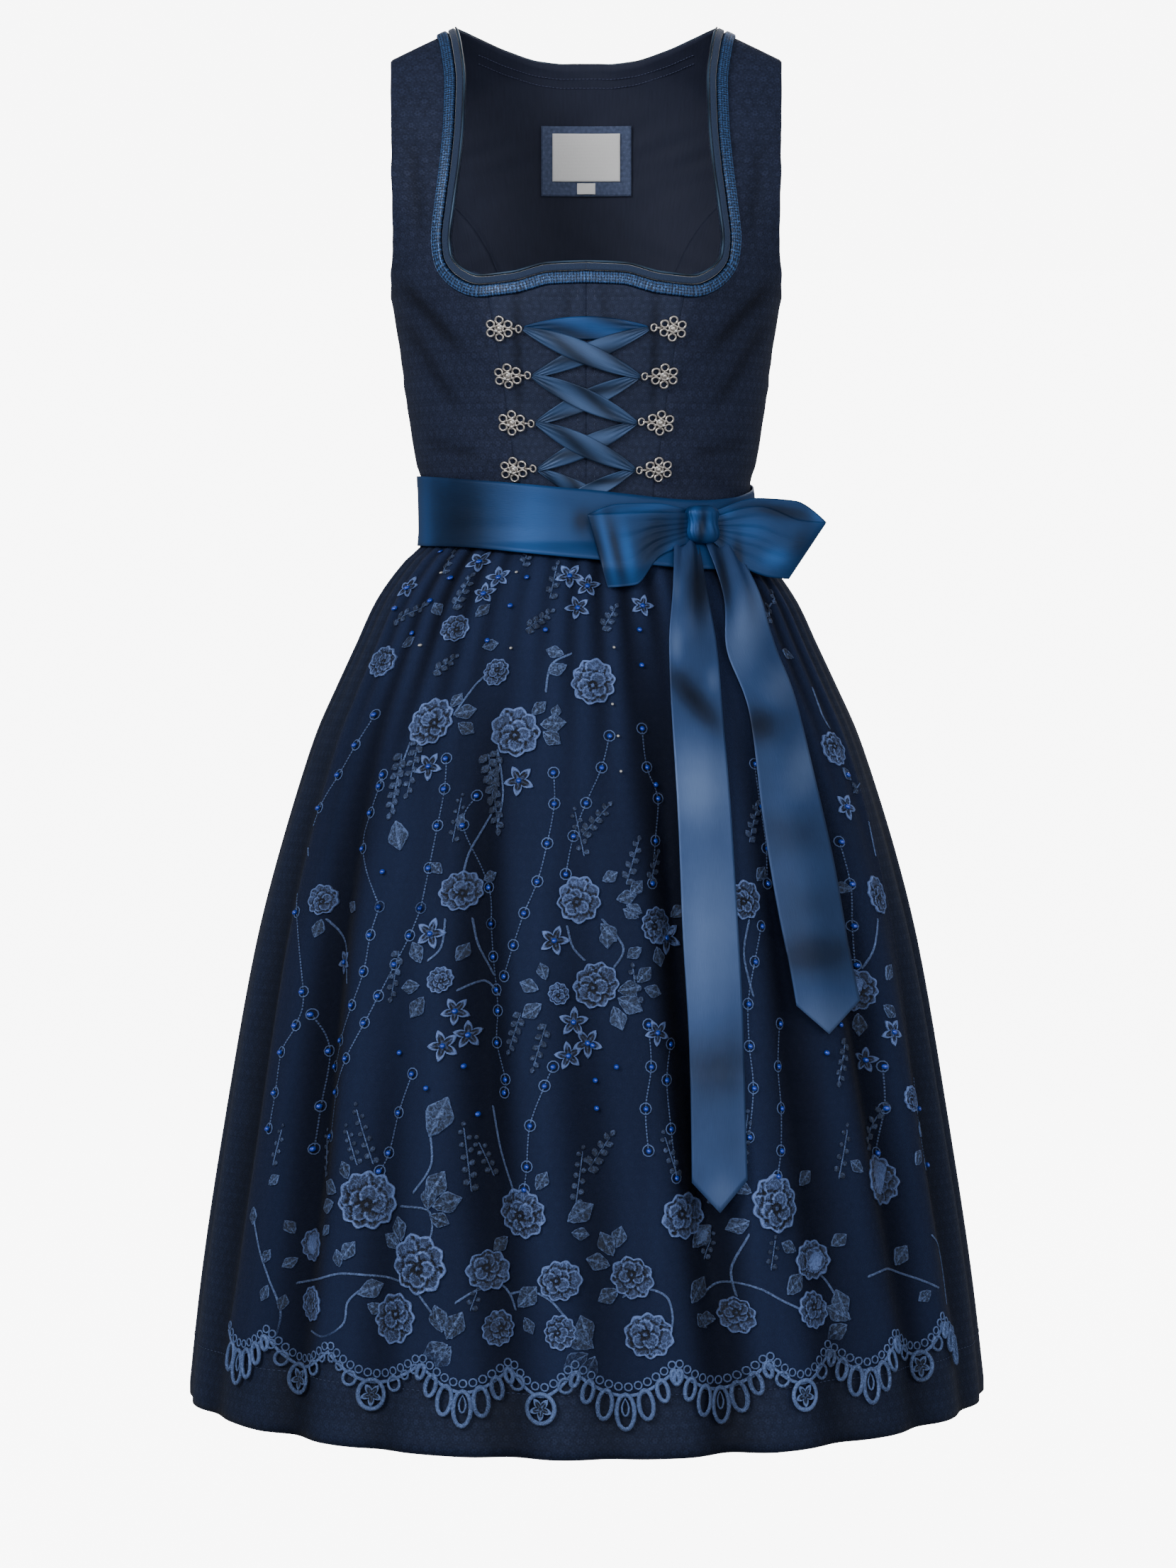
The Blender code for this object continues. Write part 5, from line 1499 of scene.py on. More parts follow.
# Sprigs of small leaves or berries: start, end, how many pairs and the size of each
Sprig = namedtuple("Sprig", "x1 y1 x2 y2 pairs size round")
SPRIGS = rows_of(
    Sprig,
    (566, 1056, 550, 1138, 6, 15, 0), (686, 1056, 700, 1160, 7, 16, 0), (590, 1036, 574, 1110, 5, 13, 0),
    (700, 1052, 690, 1120, 5, 13, 0), (520, 1640, 500, 1560, 5, 13, 1), (500, 1640, 486, 1590, 4, 12, 1),
    (660, 1680, 650, 1590, 5, 14, 1), (690, 1660, 668, 1610, 4, 13, 1), (812, 1700, 822, 1624, 5, 14, 1),
    (830, 1650, 862, 1600, 4, 14, 0), (822, 1170, 858, 1130, 4, 12, 0), (824, 1200, 812, 1140, 4, 12, 1),
    (770, 1440, 752, 1500, 4, 12, 0), (734, 1424, 716, 1476, 4, 12, 0), (884, 1240, 902, 1180, 4, 12, 0),
    (560, 1336, 548, 1400, 4, 12, 0), (636, 1180, 648, 1120, 4, 11, 1), (612, 940, 640, 920, 3, 12, 0),
    (556, 868, 600, 846, 4, 12, 0), (640, 850, 664, 806, 4, 12, 0), (742, 880, 776, 856, 4, 12, 0),
    (776, 836, 786, 790, 3, 12, 0), (540, 800, 556, 768, 3, 11, 0), (626, 800, 640, 768, 3, 11, 0),
    (738, 790, 748, 762, 3, 11, 0), (506, 860, 520, 826, 3, 11, 0), (468, 960, 488, 926, 3, 11, 0),
    (850, 880, 868, 850, 3, 12, 0), (960, 1660, 940, 1600, 4, 13, 1), (1048, 1640, 1056, 1570, 5, 13, 1),
    (1190, 1660, 1200, 1590, 4, 13, 1), (1240, 1620, 1262, 1560, 4, 13, 0),
    (1082, 870, 1092, 830, 3, 11, 0), (1176, 980, 1190, 950, 3, 11, 0), (1208, 1110, 1222, 1080, 3, 11, 0),
    (1060, 1180, 1074, 1130, 4, 12, 0), (1240, 1200, 1228, 1150, 4, 12, 0),
    (1200, 1460, 1188, 1520, 4, 12, 0), (440, 1660, 436, 1600, 4, 11, 1), (380, 1640, 392, 1590, 3, 11, 1),
    (660, 1850, 668, 1826, 2, 12, 1), (1090, 1790, 1096, 1750, 3, 12, 1),
    (1004, 1780, 1016, 1750, 3, 12, 1), (430, 1200, 424, 1150, 3, 11, 0), (920, 1240, 934, 1200, 3, 11, 0),
    (900, 1410, 894, 1360, 3, 11, 0),
)
# Pearls strung on dotted lines of stitches
STRINGS = (
    ((534, 1272), (521, 1312), (511, 1364), (493, 1412), (470, 1463), (451, 1502)),
    ((592, 1274), (576, 1313), (554, 1354), (531, 1399), (512, 1437), (484, 1488), (462, 1537), (451, 1601)),
    ((579, 1510), (557, 1566), (541, 1624), (528, 1650)),
    ((781, 1082), (782, 1126), (772, 1182), (758, 1236), (739, 1281), (723, 1327), (708, 1372)),
    ((860, 1030), (849, 1075), (827, 1125), (809, 1172), (798, 1226)),
    ((687, 1298), (690, 1345), (695, 1392), (697, 1422), (695, 1468), (709, 1520), (707, 1539)),
    ((780, 1500), (768, 1527), (747, 1584), (742, 1643), (738, 1676)),
    ((413, 1240), (413, 1280), (422, 1393), (412, 1441), (392, 1479), (383, 1537), (374, 1588)),
    ((526, 1000), (500, 1043), (475, 1085), (447, 1132), (423, 1195), (413, 1240)),
    ((538, 1085), (533, 1101), (518, 1139), (505, 1190), (534, 1272)),
    ((629, 1062), (626, 1105), (616, 1157), (604, 1217), (592, 1274)),
    ((669, 1115), (650, 1157), (684, 1246), (687, 1298)),
    ((908, 1020), (916, 1075), (934, 1120), (930, 1180), (924, 1240)),
    ((1068, 1070), (1078, 1130), (1088, 1190), (1090, 1240)),
    ((1078, 1300), (1066, 1350), (1056, 1410), (1058, 1470), (1064, 1530), (1058, 1600)),
    ((1110, 1440), (1104, 1500), (1108, 1560), (1106, 1620), (1100, 1656)),
    ((1190, 1180), (1206, 1240), (1214, 1300), (1222, 1356)),
    ((1256, 1500), (1262, 1560), (1258, 1625)),
    ((1296, 1420), (1304, 1480), (1310, 1560), (1318, 1640)),
    ((952, 1470), (944, 1520), (950, 1590), (958, 1660)),
    ((916, 1440), (920, 1500), (912, 1560), (916, 1620)),
    ((428, 1426), (440, 1480), (428, 1559), (420, 1620)),
)
STAR_REACH = 1.28
LOOSE_PEARLS = (
    (636, 807), (744, 806), (610, 839), (721, 846), (582, 885), (688, 895), (443, 1141), (468, 1044),
    (455, 1085), (540, 1222), (625, 770), (560, 850), (770, 880), (902, 880), (906, 930), (1060, 890),
    (1140, 895), (1212, 1000), (1196, 1085), (930, 1100), (1010, 1110), (1190, 1440), (1170, 1480),
    (650, 1500), (560, 1480), (600, 1530), (840, 1520), (842, 1560), (836, 1470), (870, 1500), (668, 1570),
)
GLINTS = ((625, 800), (730, 799), (594, 902), (721, 906), (866, 905), (864, 985), (872, 1030), (876, 1080))
# Stems: their bends, each a smooth line of stem stitch
STEMS = (
    ((400, 1812), (434, 1806), (476, 1796), (517, 1800), (552, 1806), (580, 1818), (616, 1865), (634, 1888)),
    ((426, 1880), (452, 1886), (480, 1868), (486, 1838), (500, 1822)),
    ((560, 1700), (602, 1706), (606, 1740), (590, 1760)),
    ((640, 1838), (668, 1822), (700, 1816), (716, 1830), (724, 1850)),
    ((716, 1828), (748, 1822), (780, 1838), (812, 1880), (836, 1904)),
    ((880, 1830), (904, 1818), (930, 1822), (946, 1836), (950, 1870), (930, 1890)),
    ((1000, 1830), (1030, 1812), (1070, 1816), (1110, 1836), (1140, 1850)),
    ((1130, 1800), (1170, 1800), (1196, 1840), (1206, 1862)),
    ((1230, 1800), (1262, 1790), (1296, 1800), (1330, 1816)),
    ((640, 1000), (668, 960), (690, 940)), ((770, 968), (778, 930), (806, 914)),
    ((700, 1050), (708, 1110), (698, 1160)), ((578, 1040), (560, 1090), (552, 1140)),
    ((660, 1290), (668, 1330), (690, 1370)), ((626, 1290), (620, 1330), (600, 1350)),
    ((800, 1300), (808, 1330), (826, 1350)), ((690, 1140), (660, 1190), (650, 1222)),
    ((850, 1290), (880, 1330), (866, 1360)), ((700, 1400), (676, 1380), (640, 1392)),
    ((604, 1590), (606, 1640), (580, 1680)), ((688, 1560), (700, 1620), (720, 1676)),
    ((1058, 1290), (1050, 1340), (1064, 1400)), ((1240, 1290), (1236, 1330), (1228, 1360)),
    ((1146, 962), (1160, 1000), (1172, 1020)), ((450, 1290), (470, 1330), (480, 1380)),
    ((350, 1710), (360, 1760), (372, 1800), (384, 1850), (378, 1890)),
    ((1320, 1740), (1342, 1770), (1346, 1840)), ((1060, 1740), (1040, 1790), (1046, 1830)),
)


def apron_place(x, y):
    """The angle and the drop on the skirt of places in the picture."""
    across = (np.asarray(x, float) - PICTURE_MIDDLE_X) * METRES_PER_PIXEL
    up = -(np.asarray(y, float) - PICTURE_TOP_Y) * METRES_PER_PIXEL
    depth = np.full(across.shape, -0.15)
    for _ in range(6):
        nearer = (CAMERA_DISTANCE + depth) / CAMERA_DISTANCE
        real_x = across * nearer
        drop = drop_of(real_x, CAMERA_HEIGHT + (up - CAMERA_HEIGHT) * nearer)
        angle = angle_of(real_x, drop)
        depth = on_figure("front", angle, np.sqrt(drop))[..., 1]
    return np.degrees(angle), drop


def toned_disc(name, segments, rings, radius_of, relief, low, rise, dome=0.0):
    """A low closed motif: rings inset in a raised disc, shaped by turn and part of the way out."""
    mesh = bmesh.new()
    tone = mesh.verts.layers.float.new("tone")
    bmesh.ops.create_circle(mesh, cap_ends=True, segments=segments, radius=1.0)
    top = bmesh.ops.extrude_face_region(mesh, geom=mesh.faces[:])["geom"]
    raised = [part for part in top if isinstance(part, bmesh.types.BMVert)]
    bmesh.ops.translate(mesh, verts=raised, vec=(0, 0, 1))
    face = next(part for part in top if isinstance(part, bmesh.types.BMFace))
    before = 1.0
    for n in range(1, rings):
        part = 1.0 - n / rings
        bmesh.ops.inset_individual(mesh, faces=[face], thickness=before - part, use_even_offset=False)
        before = part
    for vert in mesh.verts:
        part = min(1.0, hypot(vert.co.x, vert.co.y))
        turn = atan2(vert.co.y, vert.co.x)
        value = relief(part, turn)
        vert[tone] = value
        height = low + rise * value + dome * (1.0 - part)
        vert.co = (*radius_of(part, turn), height if vert.co.z > 0.5 else 0.0)
    bmesh.ops.recalc_face_normals(mesh, faces=mesh.faces[:])
    return shape_of(mesh, name)


def folded_turn(turn, petals, start):
    """The place across a petal, from -1 at one edge to 1 at the other."""
    part = (turn - start) / (2.0 * pi) * petals
    return (part - floor(part)) * 2.0 - 1.0


def rose_shape(kind):
    """A rose seen from above: overlapping petals with raised rims, and a dark heart off its middle."""
    rng = random.Random(40 + kind)
    outer = (7, 8, 6)[kind]
    start = rng.uniform(0.0, 6.0)
    heart_x, heart_y = 0.17 * cos(start * 2.0), 0.14 * sin(start * 2.0)
    petals = []
    for count, reach, low, high in ((outer, 0.60, 0.34, 0.43), (5, 0.30, 0.24, 0.31)):
        for n in range(count):
            turn = start + reach + 2.0 * pi * n / count + rng.uniform(-0.15, 0.15)
            near = 1.0 if count == outer else 0.0
            x = reach * cos(turn) + heart_x * (1.0 - near)
            petals.append((x, reach * sin(turn) + heart_y * (1.0 - near), rng.uniform(low, high)))

    def outline(turn):
        across = folded_turn(turn, outer + 3, start)
        return 0.80 + 0.14 * (1.0 - abs(across)) ** 0.8 + 0.05 * sin(2.0 * turn + start)

    def radius_of(part, turn):
        reach = part * outline(turn)
        return reach * cos(turn), reach * sin(turn)

    def relief(part, turn):
        x, y = radius_of(part, turn)
        value = 0.38
        # Each petal is lighter towards its middle and at its rim, the raised cord with a painted highlight;
        # a painted shadow falls just outside each petal.
        for petal_x, petal_y, radius in petals:
            inside = radius - hypot(x - petal_x, y - petal_y)
            if inside > 0.0:
                value = 0.40 + 0.14 * inside / radius + 0.42 * (inside < 0.07)
            elif inside > -0.09:
                value -= 0.30
        from_heart = hypot(x - heart_x, y - heart_y)
        if from_heart < 0.19:
            value = 0.60 if from_heart < 0.07 else 0.0
        if part > 0.93:
            value = 0.92
        return max(0.0, min(1.0, value))

    return toned_disc(f"rose_{kind}", 72, 18, radius_of, relief, 0.0008, 0.0013, 0.0006)


def star_shape():
    """Five pointed petals outlined in cord round an open middle, with the dark net inside them."""

    def radius_of(part, turn):
        reach = 0.40 + 0.62 * (1.0 - abs(folded_turn(turn, 5, 0.0))) ** 0.9
        shape = reach if part > 0.35 else 0.5
        return part * shape * cos(turn), part * shape * sin(turn)

    def relief(part, turn):
        rib = 0.40 * (abs(folded_turn(turn, 5, 0.0)) < 0.12) * (part > 0.4)
        return min(1.0, 0.85 * (part > 0.78) + 0.12 + rib + 0.5 * (0.2 < part < 0.4))

    return toned_disc("star", 40, 6, radius_of, relief, 0.0006, 0.0010)


def leaf_shape(segments=24, rings=5):
    """A pointed leaf from its stalk's end at zero to its tip at one, outlined, with a raised rib."""

    def radius_of(part, turn):
        along_leaf = 0.5 + 0.5 * part * cos(turn)
        across = 0.30 * part * sin(turn) * (1.0 - 0.75 * (2.0 * along_leaf - 1.0) ** 2)
        return along_leaf, across * (1.0 + 0.12 * cos(along_leaf * 40.0))

    def relief(part, turn):
        veins = 0.14 * cos(cos(turn) * part * 22.0 + abs(sin(turn)) * 5.0)
        outlined = 0.40 * (part > 0.85) + 0.32 * (abs(sin(turn) * part) < 0.12)
        return min(1.0, 0.44 + outlined + veins)

    return toned_disc(f"leaf_{segments}", segments, rings, radius_of, relief, 0.0005, 0.0009)


def toned(data, value):
    """The shape with one thread tone all over."""
    return marked(data, "tone", np.full(len(data.vertices), value))


def seed_shape(value, name):
    """A small rounded stitch, longer than it is wide once it is placed."""
    mesh = bmesh.new()
    bmesh.ops.create_uvsphere(mesh, u_segments=6, v_segments=4, radius=0.5)
    turned(mesh, mesh.verts, pi / 2, "Y")
    bmesh.ops.scale(mesh, verts=mesh.verts, vec=(1.0, 1.0, 0.0012))
    bmesh.ops.translate(mesh, verts=mesh.verts, vec=(0.0, 0.0, 0.0003))
    bmesh.ops.recalc_face_normals(mesh, faces=mesh.faces[:])
    return toned(shape_of(mesh, name), value)


def hoop_shape(name, hoop):
    """An oval ring of cord, which may narrow to a point at its top."""
    mesh = bmesh.new()
    half_width, half_height = hoop.width / 2.0, hoop.height / 2.0
    ring_mesh(mesh, (0.0, 0.0, hoop.wire * 0.6), half_width, half_height, hoop.wire, hoop.around, 5)
    for vert in mesh.verts:
        narrow = max(0.0, vert.co.y / half_height)
        vert.co.x *= 1.0 - hoop.pointed * narrow**1.5
        vert.co.z = max(vert.co.z, 0.0)
    bmesh.ops.recalc_face_normals(mesh, faces=mesh.faces[:])
    return toned(shape_of(mesh, name), hoop.tone)


def pixels(length):
    return length * METRES_PER_PIXEL * APRON_NEARER


def smooth_line(points, count):
    """Close places on a smooth line through some points of the picture."""
    table = np.asarray(points, float)
    at = np.linspace(0.0, len(table) - 1.0, count)
    i = np.clip(at.astype(int), 0, len(table) - 2)
    t = (at - i)[:, None]
    before, after = table[np.maximum(i - 1, 0)], table[np.minimum(i + 2, len(table) - 1)]
    p, q = table[i], table[i + 1]
    m, n = (q - before) / 2.0, (after - p) / 2.0
    line = (2 * t**3 - 3 * t**2 + 1) * p + (t**3 - 2 * t**2 + t) * m
    line = line + (3 * t**2 - 2 * t**3) * q + (t**3 - t**2) * n
    return apron_place(line[:, 0], line[:, 1])


def across_scale(degrees):
    """Metres for each degree along the apron's cord line."""
    return float(surface_scale("front", np.float64(degrees), np.float64(CORD_DROP))[0])


def motif(shape, x, y, turn, size, taller=1.0):
    """A copy of a shape at a place in the picture, turned by some degrees."""
    return Copy(shape, *apron_place(x, y), radians(turn), size, size * taller, 0.0)


def scallop_drop(degrees):
    """The drop of the apron's cord line at an angle."""
    starts = np.array([scallop.start for scallop in SCALLOPS])
    n = np.clip(np.searchsorted(starts, degrees, side="right") - 1, 0, len(starts) - 2)
    part = (degrees - starts[n]) / (starts[n + 1] - starts[n])
    sag = MIDDLE_SAG * np.cos(np.radians(degrees) * 1.4)
    return CORD_DROP + sag + SCALLOP_DEPTH * np.sin(pi * part)


def tulle(name, colour):
    """Fine net that the cloth below shows through."""
    f = Finish(name, 0.8, sheen=0.06, specular=0.1)
    where = f.cloth_place()
    across, up, _ = f.parts(where)
    cell = 2.0 * pi / 0.0016
    one = ((across + up) * cell).apply("SINE").apply("ABSOLUTE")
    two = ((across - up) * cell).apply("SINE").apply("ABSOLUTE")
    threads = one.math("MINIMUM", one, two).below(0.30, 0.25)
    slow = f.threads(where, 40.0, 6.0, 2.0)
    base = f.tints(slow, colour, 0.7, 1.3)
    # Painted shade in the hollows of the net's folds and gathers.
    f.shade(base, colour, 0.85, 0.06)
    f.put("Alpha", threads * 0.30 + 0.26)
    f.material.use_transparent_shadow = True
    return f.material


def embroidery(name, colour, roughness=0.6):
    """Dense stitches whose tone follows each motif's relief, with a squiggle of thread over them."""
    f = Finish(name, roughness, sheen=0.08, specular=0.22)
    f.put("Sheen Roughness", 0.35)
    where = f.object_place()
    stitches = f.noise(where, 1100.0, 2.0)
    curl = (f.noise(where, 300.0, 1.0) - 0.5).apply("ABSOLUTE").below(0.045, 0.05)
    uneven = f.noise(where, 26.0, 1.0)
    # The motif's tone mark, which on the roses holds painted shadows and painted highlights.
    value = f.mark("tone") * 1.05 + stitches * 0.55 + curl * 0.30 + uneven * 0.50 - 0.70
    tones = ((0.0, 0.05), (0.28, 0.36), (0.55, 1.0), (0.95, 2.6))
    base = f.ramp(value, *((place, tinted(colour, brighter)) for place, brighter in tones))
    # Painted shade in the hollows of the skirt's folds.
    f.shade(base, colour, 0.62, 0.05)
    f.bump(stitches + curl * 0.6, 0.0004)
    return f.material


class DIRNDL_OT_apron(bpy.types.Operator):
    """Lay the net apron over the skirt and embroider it with roses, leaves, stars and pearls"""

    bl_idname = "dirndl.apron"
    bl_label = "Apron"

    def execute(self, context):
        paint = colours()
        net = self.net(tulle("apron_tulle", paint.net))
        rose_thread = embroidery("rose_thread", paint.thread)
        leaf_thread = embroidery("leaf_thread", paint.leaf)
        pieces = [
            self.roses(rose_thread), self.stars(rose_thread), self.leaves(leaf_thread),
            self.sprigs(leaf_thread), self.stems(leaf_thread), self.strings(leaf_thread),
            self.pearls(), self.cord_line(leaf_thread), self.edge_loops(leaf_thread),
        ]
        return {"FINISHED"}

    def net(self, material):
        """The net itself, gathered with the skirt and cut along the scalloped cord."""
        columns, rows = 260, 90
        count = APRON_LAST_COLUMN - APRON_FIRST_COLUMN

        def measures(u, v):
            degrees = (APRON_FIRST_COLUMN + count * u / columns) * COLUMN_DEGREES
            return degrees, WAIST_DROP + (scallop_drop(degrees) - WAIST_DROP) * v / rows

        def out_of(v, drop):
            return APRON_LOW + NET_WALL + APRON_EDGE_RISE * smoothstep(0.93, 1.0, v / rows)

        made = gathered_cloth("apron_net", "front", columns, rows, measures, out_of, material)
        walled(made, NET_WALL)
        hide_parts("apron_lace")
        return made

    def scatter(self, name, copies, material, margin=0.0):
        """The copies whose middles lie that many degrees inside the net's side edges."""
        low = APRON_FIRST_COLUMN * COLUMN_DEGREES + margin
        high = APRON_LAST_COLUMN * COLUMN_DEGREES - margin
        kept = [copy for copy in copies if low <= copy.degrees <= high]
        return scattered(name, kept, "front", on_skirt, material, APRON_LOW + NET_WALL)

    def roses(self, material):
        shapes = [rose_shape(kind) for kind in range(3)]
        copies = [
            motif(shapes[bloom.kind], bloom.x, bloom.y, bloom.turn, pixels(bloom.radius))
            for bloom in BLOOMS
        ]
        return self.scatter("apron_roses", copies, material, margin=4.5)

    def stars(self, material):
        shape = star_shape()
        copies = [
            motif(shape, star.x, star.y, star.turn, pixels(star.radius * STAR_REACH)) for star in STARS
        ]
        return self.scatter("apron_stars", copies, material, margin=2.0)

    def leaves(self, material):
        shape = leaf_shape()
        copies = [
            motif(shape, leaf.x, leaf.y, leaf.turn, pixels(leaf.length), 1.1) for leaf in LEAVES
        ]
        return self.scatter("apron_leaves", copies, material, margin=3.5)

    def sprigs(self, material):
        small_leaf, berry = toned(leaf_shape(10, 2), 0.46), seed_shape(0.50, "berry")
        berry_stalk = pixels(BERRY_STALK)
        copies = []
        for sprig in SPRIGS:
            dx, dy = sprig.x2 - sprig.x1, sprig.y1 - sprig.y2
            last = sprig.pairs * 2
            for number in range(last + 1):
                part = number / last
                degrees, drop = apron_place(sprig.x1 + dx * part, sprig.y1 - dy * part)
                side = (1 if number % 2 else -1) * (number < last)
                turn = atan2(dy, dx) + side * SPRIG_SPREAD
                size = pixels(sprig.size) * (1.15 - 0.35 * part)
                if sprig.round:
                    wide = size * BERRY_SHARE
                    per_degree, per_drop = surface_scale("front", degrees, drop)
                    degrees = degrees + berry_stalk * cos(turn) / per_degree
                    drop = drop - berry_stalk * sin(turn) / per_drop
                    copies.append(Copy(berry, degrees, drop, turn, wide, wide, 0.0002))
                else:
                    copies.append(Copy(small_leaf, degrees, drop, turn, size, size * 1.15, 0.0))
        return self.scatter("apron_sprigs", copies, material, margin=2.0)

    def stems(self, material):
        shape = seed_shape(0.80, "stem_stitch")
        copies = []
        for stem in STEMS:
            copies += stitch_copies(shape, *smooth_line(stem, 60), *STEM_STITCHES)
        for sprig in SPRIGS:
            line = smooth_line((sprig[:2], sprig[2:4]), 12)
            copies += stitch_copies(shape, *line, *SPRIG_STITCHES)
        return self.scatter("apron_stems", copies, material)

    def strings(self, material):
        dash = toned(bar_shape(1.0, 1.0, 0.0006), 0.85)
        hoop = hoop_shape("pearl_ring", PEARL_RING)
        copies = []
        for string in STRINGS:
            copies += stitch_copies(dash, *smooth_line(string, 80), *STRING_DASHES)
            copies += [motif(hoop, x, y, 0.0, 1.0) for x, y in string]
        return self.scatter("apron_strings", copies, material)

    def pearls(self):
        """The blue pearls on the strings, in the stars and between them, and a few clear glints."""
        mesh = bmesh.new()
        ball(mesh, (0.0, 0.0, 0.0), 0.5, 1.0, 10)
        pearl = shape_of(mesh, "pearl")
        size = sizes().pearl
        for vert in pearl.vertices:
            vert.co.z *= size
        places = [*(place for string in STRINGS for place in string), *LOOSE_PEARLS]
        places += [star[:2] for star in STARS]
        blue = [motif(pearl, x, y, 0.0, size)._replace(low=size * 0.55) for x, y in places]
        clear = [motif(pearl, x, y, 0.0, size * 0.55)._replace(low=size * 0.4) for x, y in GLINTS]
        material = glossy_pearl("apron_pearl_gloss", colours().pearl)
        made = self.scatter("apron_pearls", blue, material, margin=1.0)
        glass = glossy_pearl("glint_glass", (0.9, 0.86, 0.74))
        self.scatter("apron_glints", clear, glass)
        return made

    def cord_line(self, material):
        """The twisted cord along the scallops, with its row of rings above."""
        stitch = seed_shape(0.86, "cord_stitch")
        hoop = hoop_shape("edge_ring", EDGE_RING)
        degrees = np.linspace(APRON_FIRST_COLUMN, APRON_LAST_COLUMN, 1400) * COLUMN_DEGREES
        drop = scallop_drop(degrees)
        copies = stitch_copies(stitch, degrees, drop, *CORD_STITCHES)
        copies += stitch_copies(hoop, degrees, drop - EDGE_RINGS_UP, EDGE_RINGS_APART)
        copies = [copy._replace(low=APRON_EDGE_RISE) for copy in copies]
        return self.scatter("apron_cord", copies, material)

    def hung(self, shape, degrees, across, length, turn=0.0, size=1.0):
        """A loop that hangs from the cord line, so far beside that angle."""
        beside = degrees + across / across_scale(degrees)
        drop = float(scallop_drop(beside)) + length / 2.0 - LOOP_TUCK
        return Copy(shape, beside, drop, turn, size, size, APRON_EDGE_RISE)

    def edge_loops(self, material):
        """Below the cord, fans of long corded loops and round arches with a star in each."""
        cords = 2 * CORD_RADIUS
        hoops = [Hoop(row.width - cords, row.length - cords, CORD_RADIUS, 0.82, 16, 0.0, 0.0) for row in FAN]
        fan = [hoop_shape("fan_loop", hoop) for hoop in hoops]
        inner, arch = hoop_shape("inner_loop", INNER_LOOP), hoop_shape("arch", ARCH)
        beside, small = hoop_shape("beside_loop", BESIDE_LOOP), hoop_shape("small_loop", SMALL_LOOP)
        flower = star_shape()
        copies = []
        for scallop, after in zip(SCALLOPS, SCALLOPS[1:]):
            middle = (scallop.start + after.start) / 2.0
            span = (after.start - scallop.start) * across_scale(middle)
            if scallop.arch:
                copies.append(self.hung(arch, middle, 0.0, ARCH.hangs))
                star = (flower, middle, 0.0, ARCH_STAR_HANGS, ARCH_STAR_TURN, ARCH_STAR_SIZE)
                copies.append(self.hung(*star))
                for side in (-1, 1):
                    copies.append(self.hung(beside, middle, side * BESIDE_LOOP_ACROSS, BESIDE_LOOP.hangs))
                    for at in SMALL_LOOPS_ACROSS:
                        if at < span / 2.0:
                            copies.append(self.hung(small, middle, side * at, SMALL_LOOP.hangs))
                continue
            for row, shape in zip(FAN, fan):
                for side in (-1, 1) if row.across else (-1,):
                    across = side * row.across * span / FAN_SPAN
                    lean = side * row.across * FAN_LEAN
                    copies.append(self.hung(shape, middle, across, row.length, lean))
            copies.append(self.hung(inner, middle, 0.0, INNER_LOOP.hangs))
        return self.scatter("apron_edge_loops", copies, material, margin=1.5)


# Sash and bow

# Painted highlights and painted shade on the satin, by the picture's pixels: the middle, the reach across
# and down, the lean in degrees and how much lighter it is
Gleam = namedtuple("Gleam", "x y wide high lean amount")
GLEAMS = {
    "sash": rows_of(
        Gleam,
        (650, 735, 36, 90, 0, -0.36), (600, 735, 9, 80, 0, 0.3), (745, 740, 30, 90, 8, 0.38),
        (790, 765, 40, 50, 0, 0.16), (820, 728, 14, 18, 0, -0.3),
    ),
    "bow_loop_right": rows_of(
        Gleam,
        (843, 762, 6, 60, -13, -0.3), (856, 762, 5, 55, -13, 0.26), (870, 770, 6, 50, -13, -0.28),
        (886, 773, 9, 42, -10, 0.4), (922, 756, 20, 42, 20, -0.32), (915, 709, 45, 7, -6, 0.3),
        (945, 772, 6, 14, 30, 0.28), (962, 735, 7, 24, 0, -0.22),
    ),
    "bow_loop_left": rows_of(
        Gleam,
        (1021, 716, 14, 7, -10, 0.3), (1059, 740, 24, 17, 0, 0.22), (1101, 714, 42, 9, 10, -0.34),
        (1093, 779, 20, 14, -10, 0.38), (1152, 721, 9, 14, -30, 0.26), (1040, 775, 8, 28, 0, -0.32),
        (1128, 760, 13, 24, 20, -0.18), (1016, 745, 7, 30, 0, -0.26),
    ),
    "bow_knot": rows_of(
        Gleam,
        (976, 730, 6, 26, 12, 0.36), (990, 738, 5, 26, 8, -0.32), (1001, 730, 5, 22, 4, 0.26),
    ),
    "bow_tail_right": rows_of(
        Gleam,
        (988, 818, 17, 50, 0, -0.5), (955, 822, 8, 22, 0, 0.26), (954, 900, 9, 28, 0, 0.3),
        (978, 977, 52, 15, 51, -0.46), (1006, 950, 10, 22, 0, 0.24), (985, 1100, 46, 56, 0, 0.42),
        (1000, 1310, 60, 110, 0, 0.26), (1010, 1500, 60, 44, 0, -0.22), (1020, 1680, 24, 34, 0, 0.22),
    ),
    "bow_tail_left": rows_of(
        Gleam,
        (1019, 800, 7, 50, -10, -0.4), (1056, 870, 26, 70, 15, 0.4), (1102, 958, 26, 36, 15, 0.28),
        (1071, 1014, 25, 24, 20, -0.42), (1136, 1072, 28, 50, 15, 0.34), (1120, 1168, 60, 36, 0, -0.12),
        (1140, 1270, 60, 34, 0, -0.1), (1150, 1340, 60, 28, 0, -0.28), (1170, 1440, 60, 40, 0, 0.3),
    ),
}
PLAIN_GLEAM = 0.45


def picture_place(points):
    """Where places of the garment show in the picture."""
    nearer = CAMERA_DISTANCE / (CAMERA_DISTANCE + points[:, 1])
    up = CAMERA_HEIGHT + (points[:, 2] - CAMERA_HEIGHT) * nearer
    x = PICTURE_MIDDLE_X + points[:, 0] * nearer / METRES_PER_PIXEL
    return x, PICTURE_TOP_Y - up / METRES_PER_PIXEL


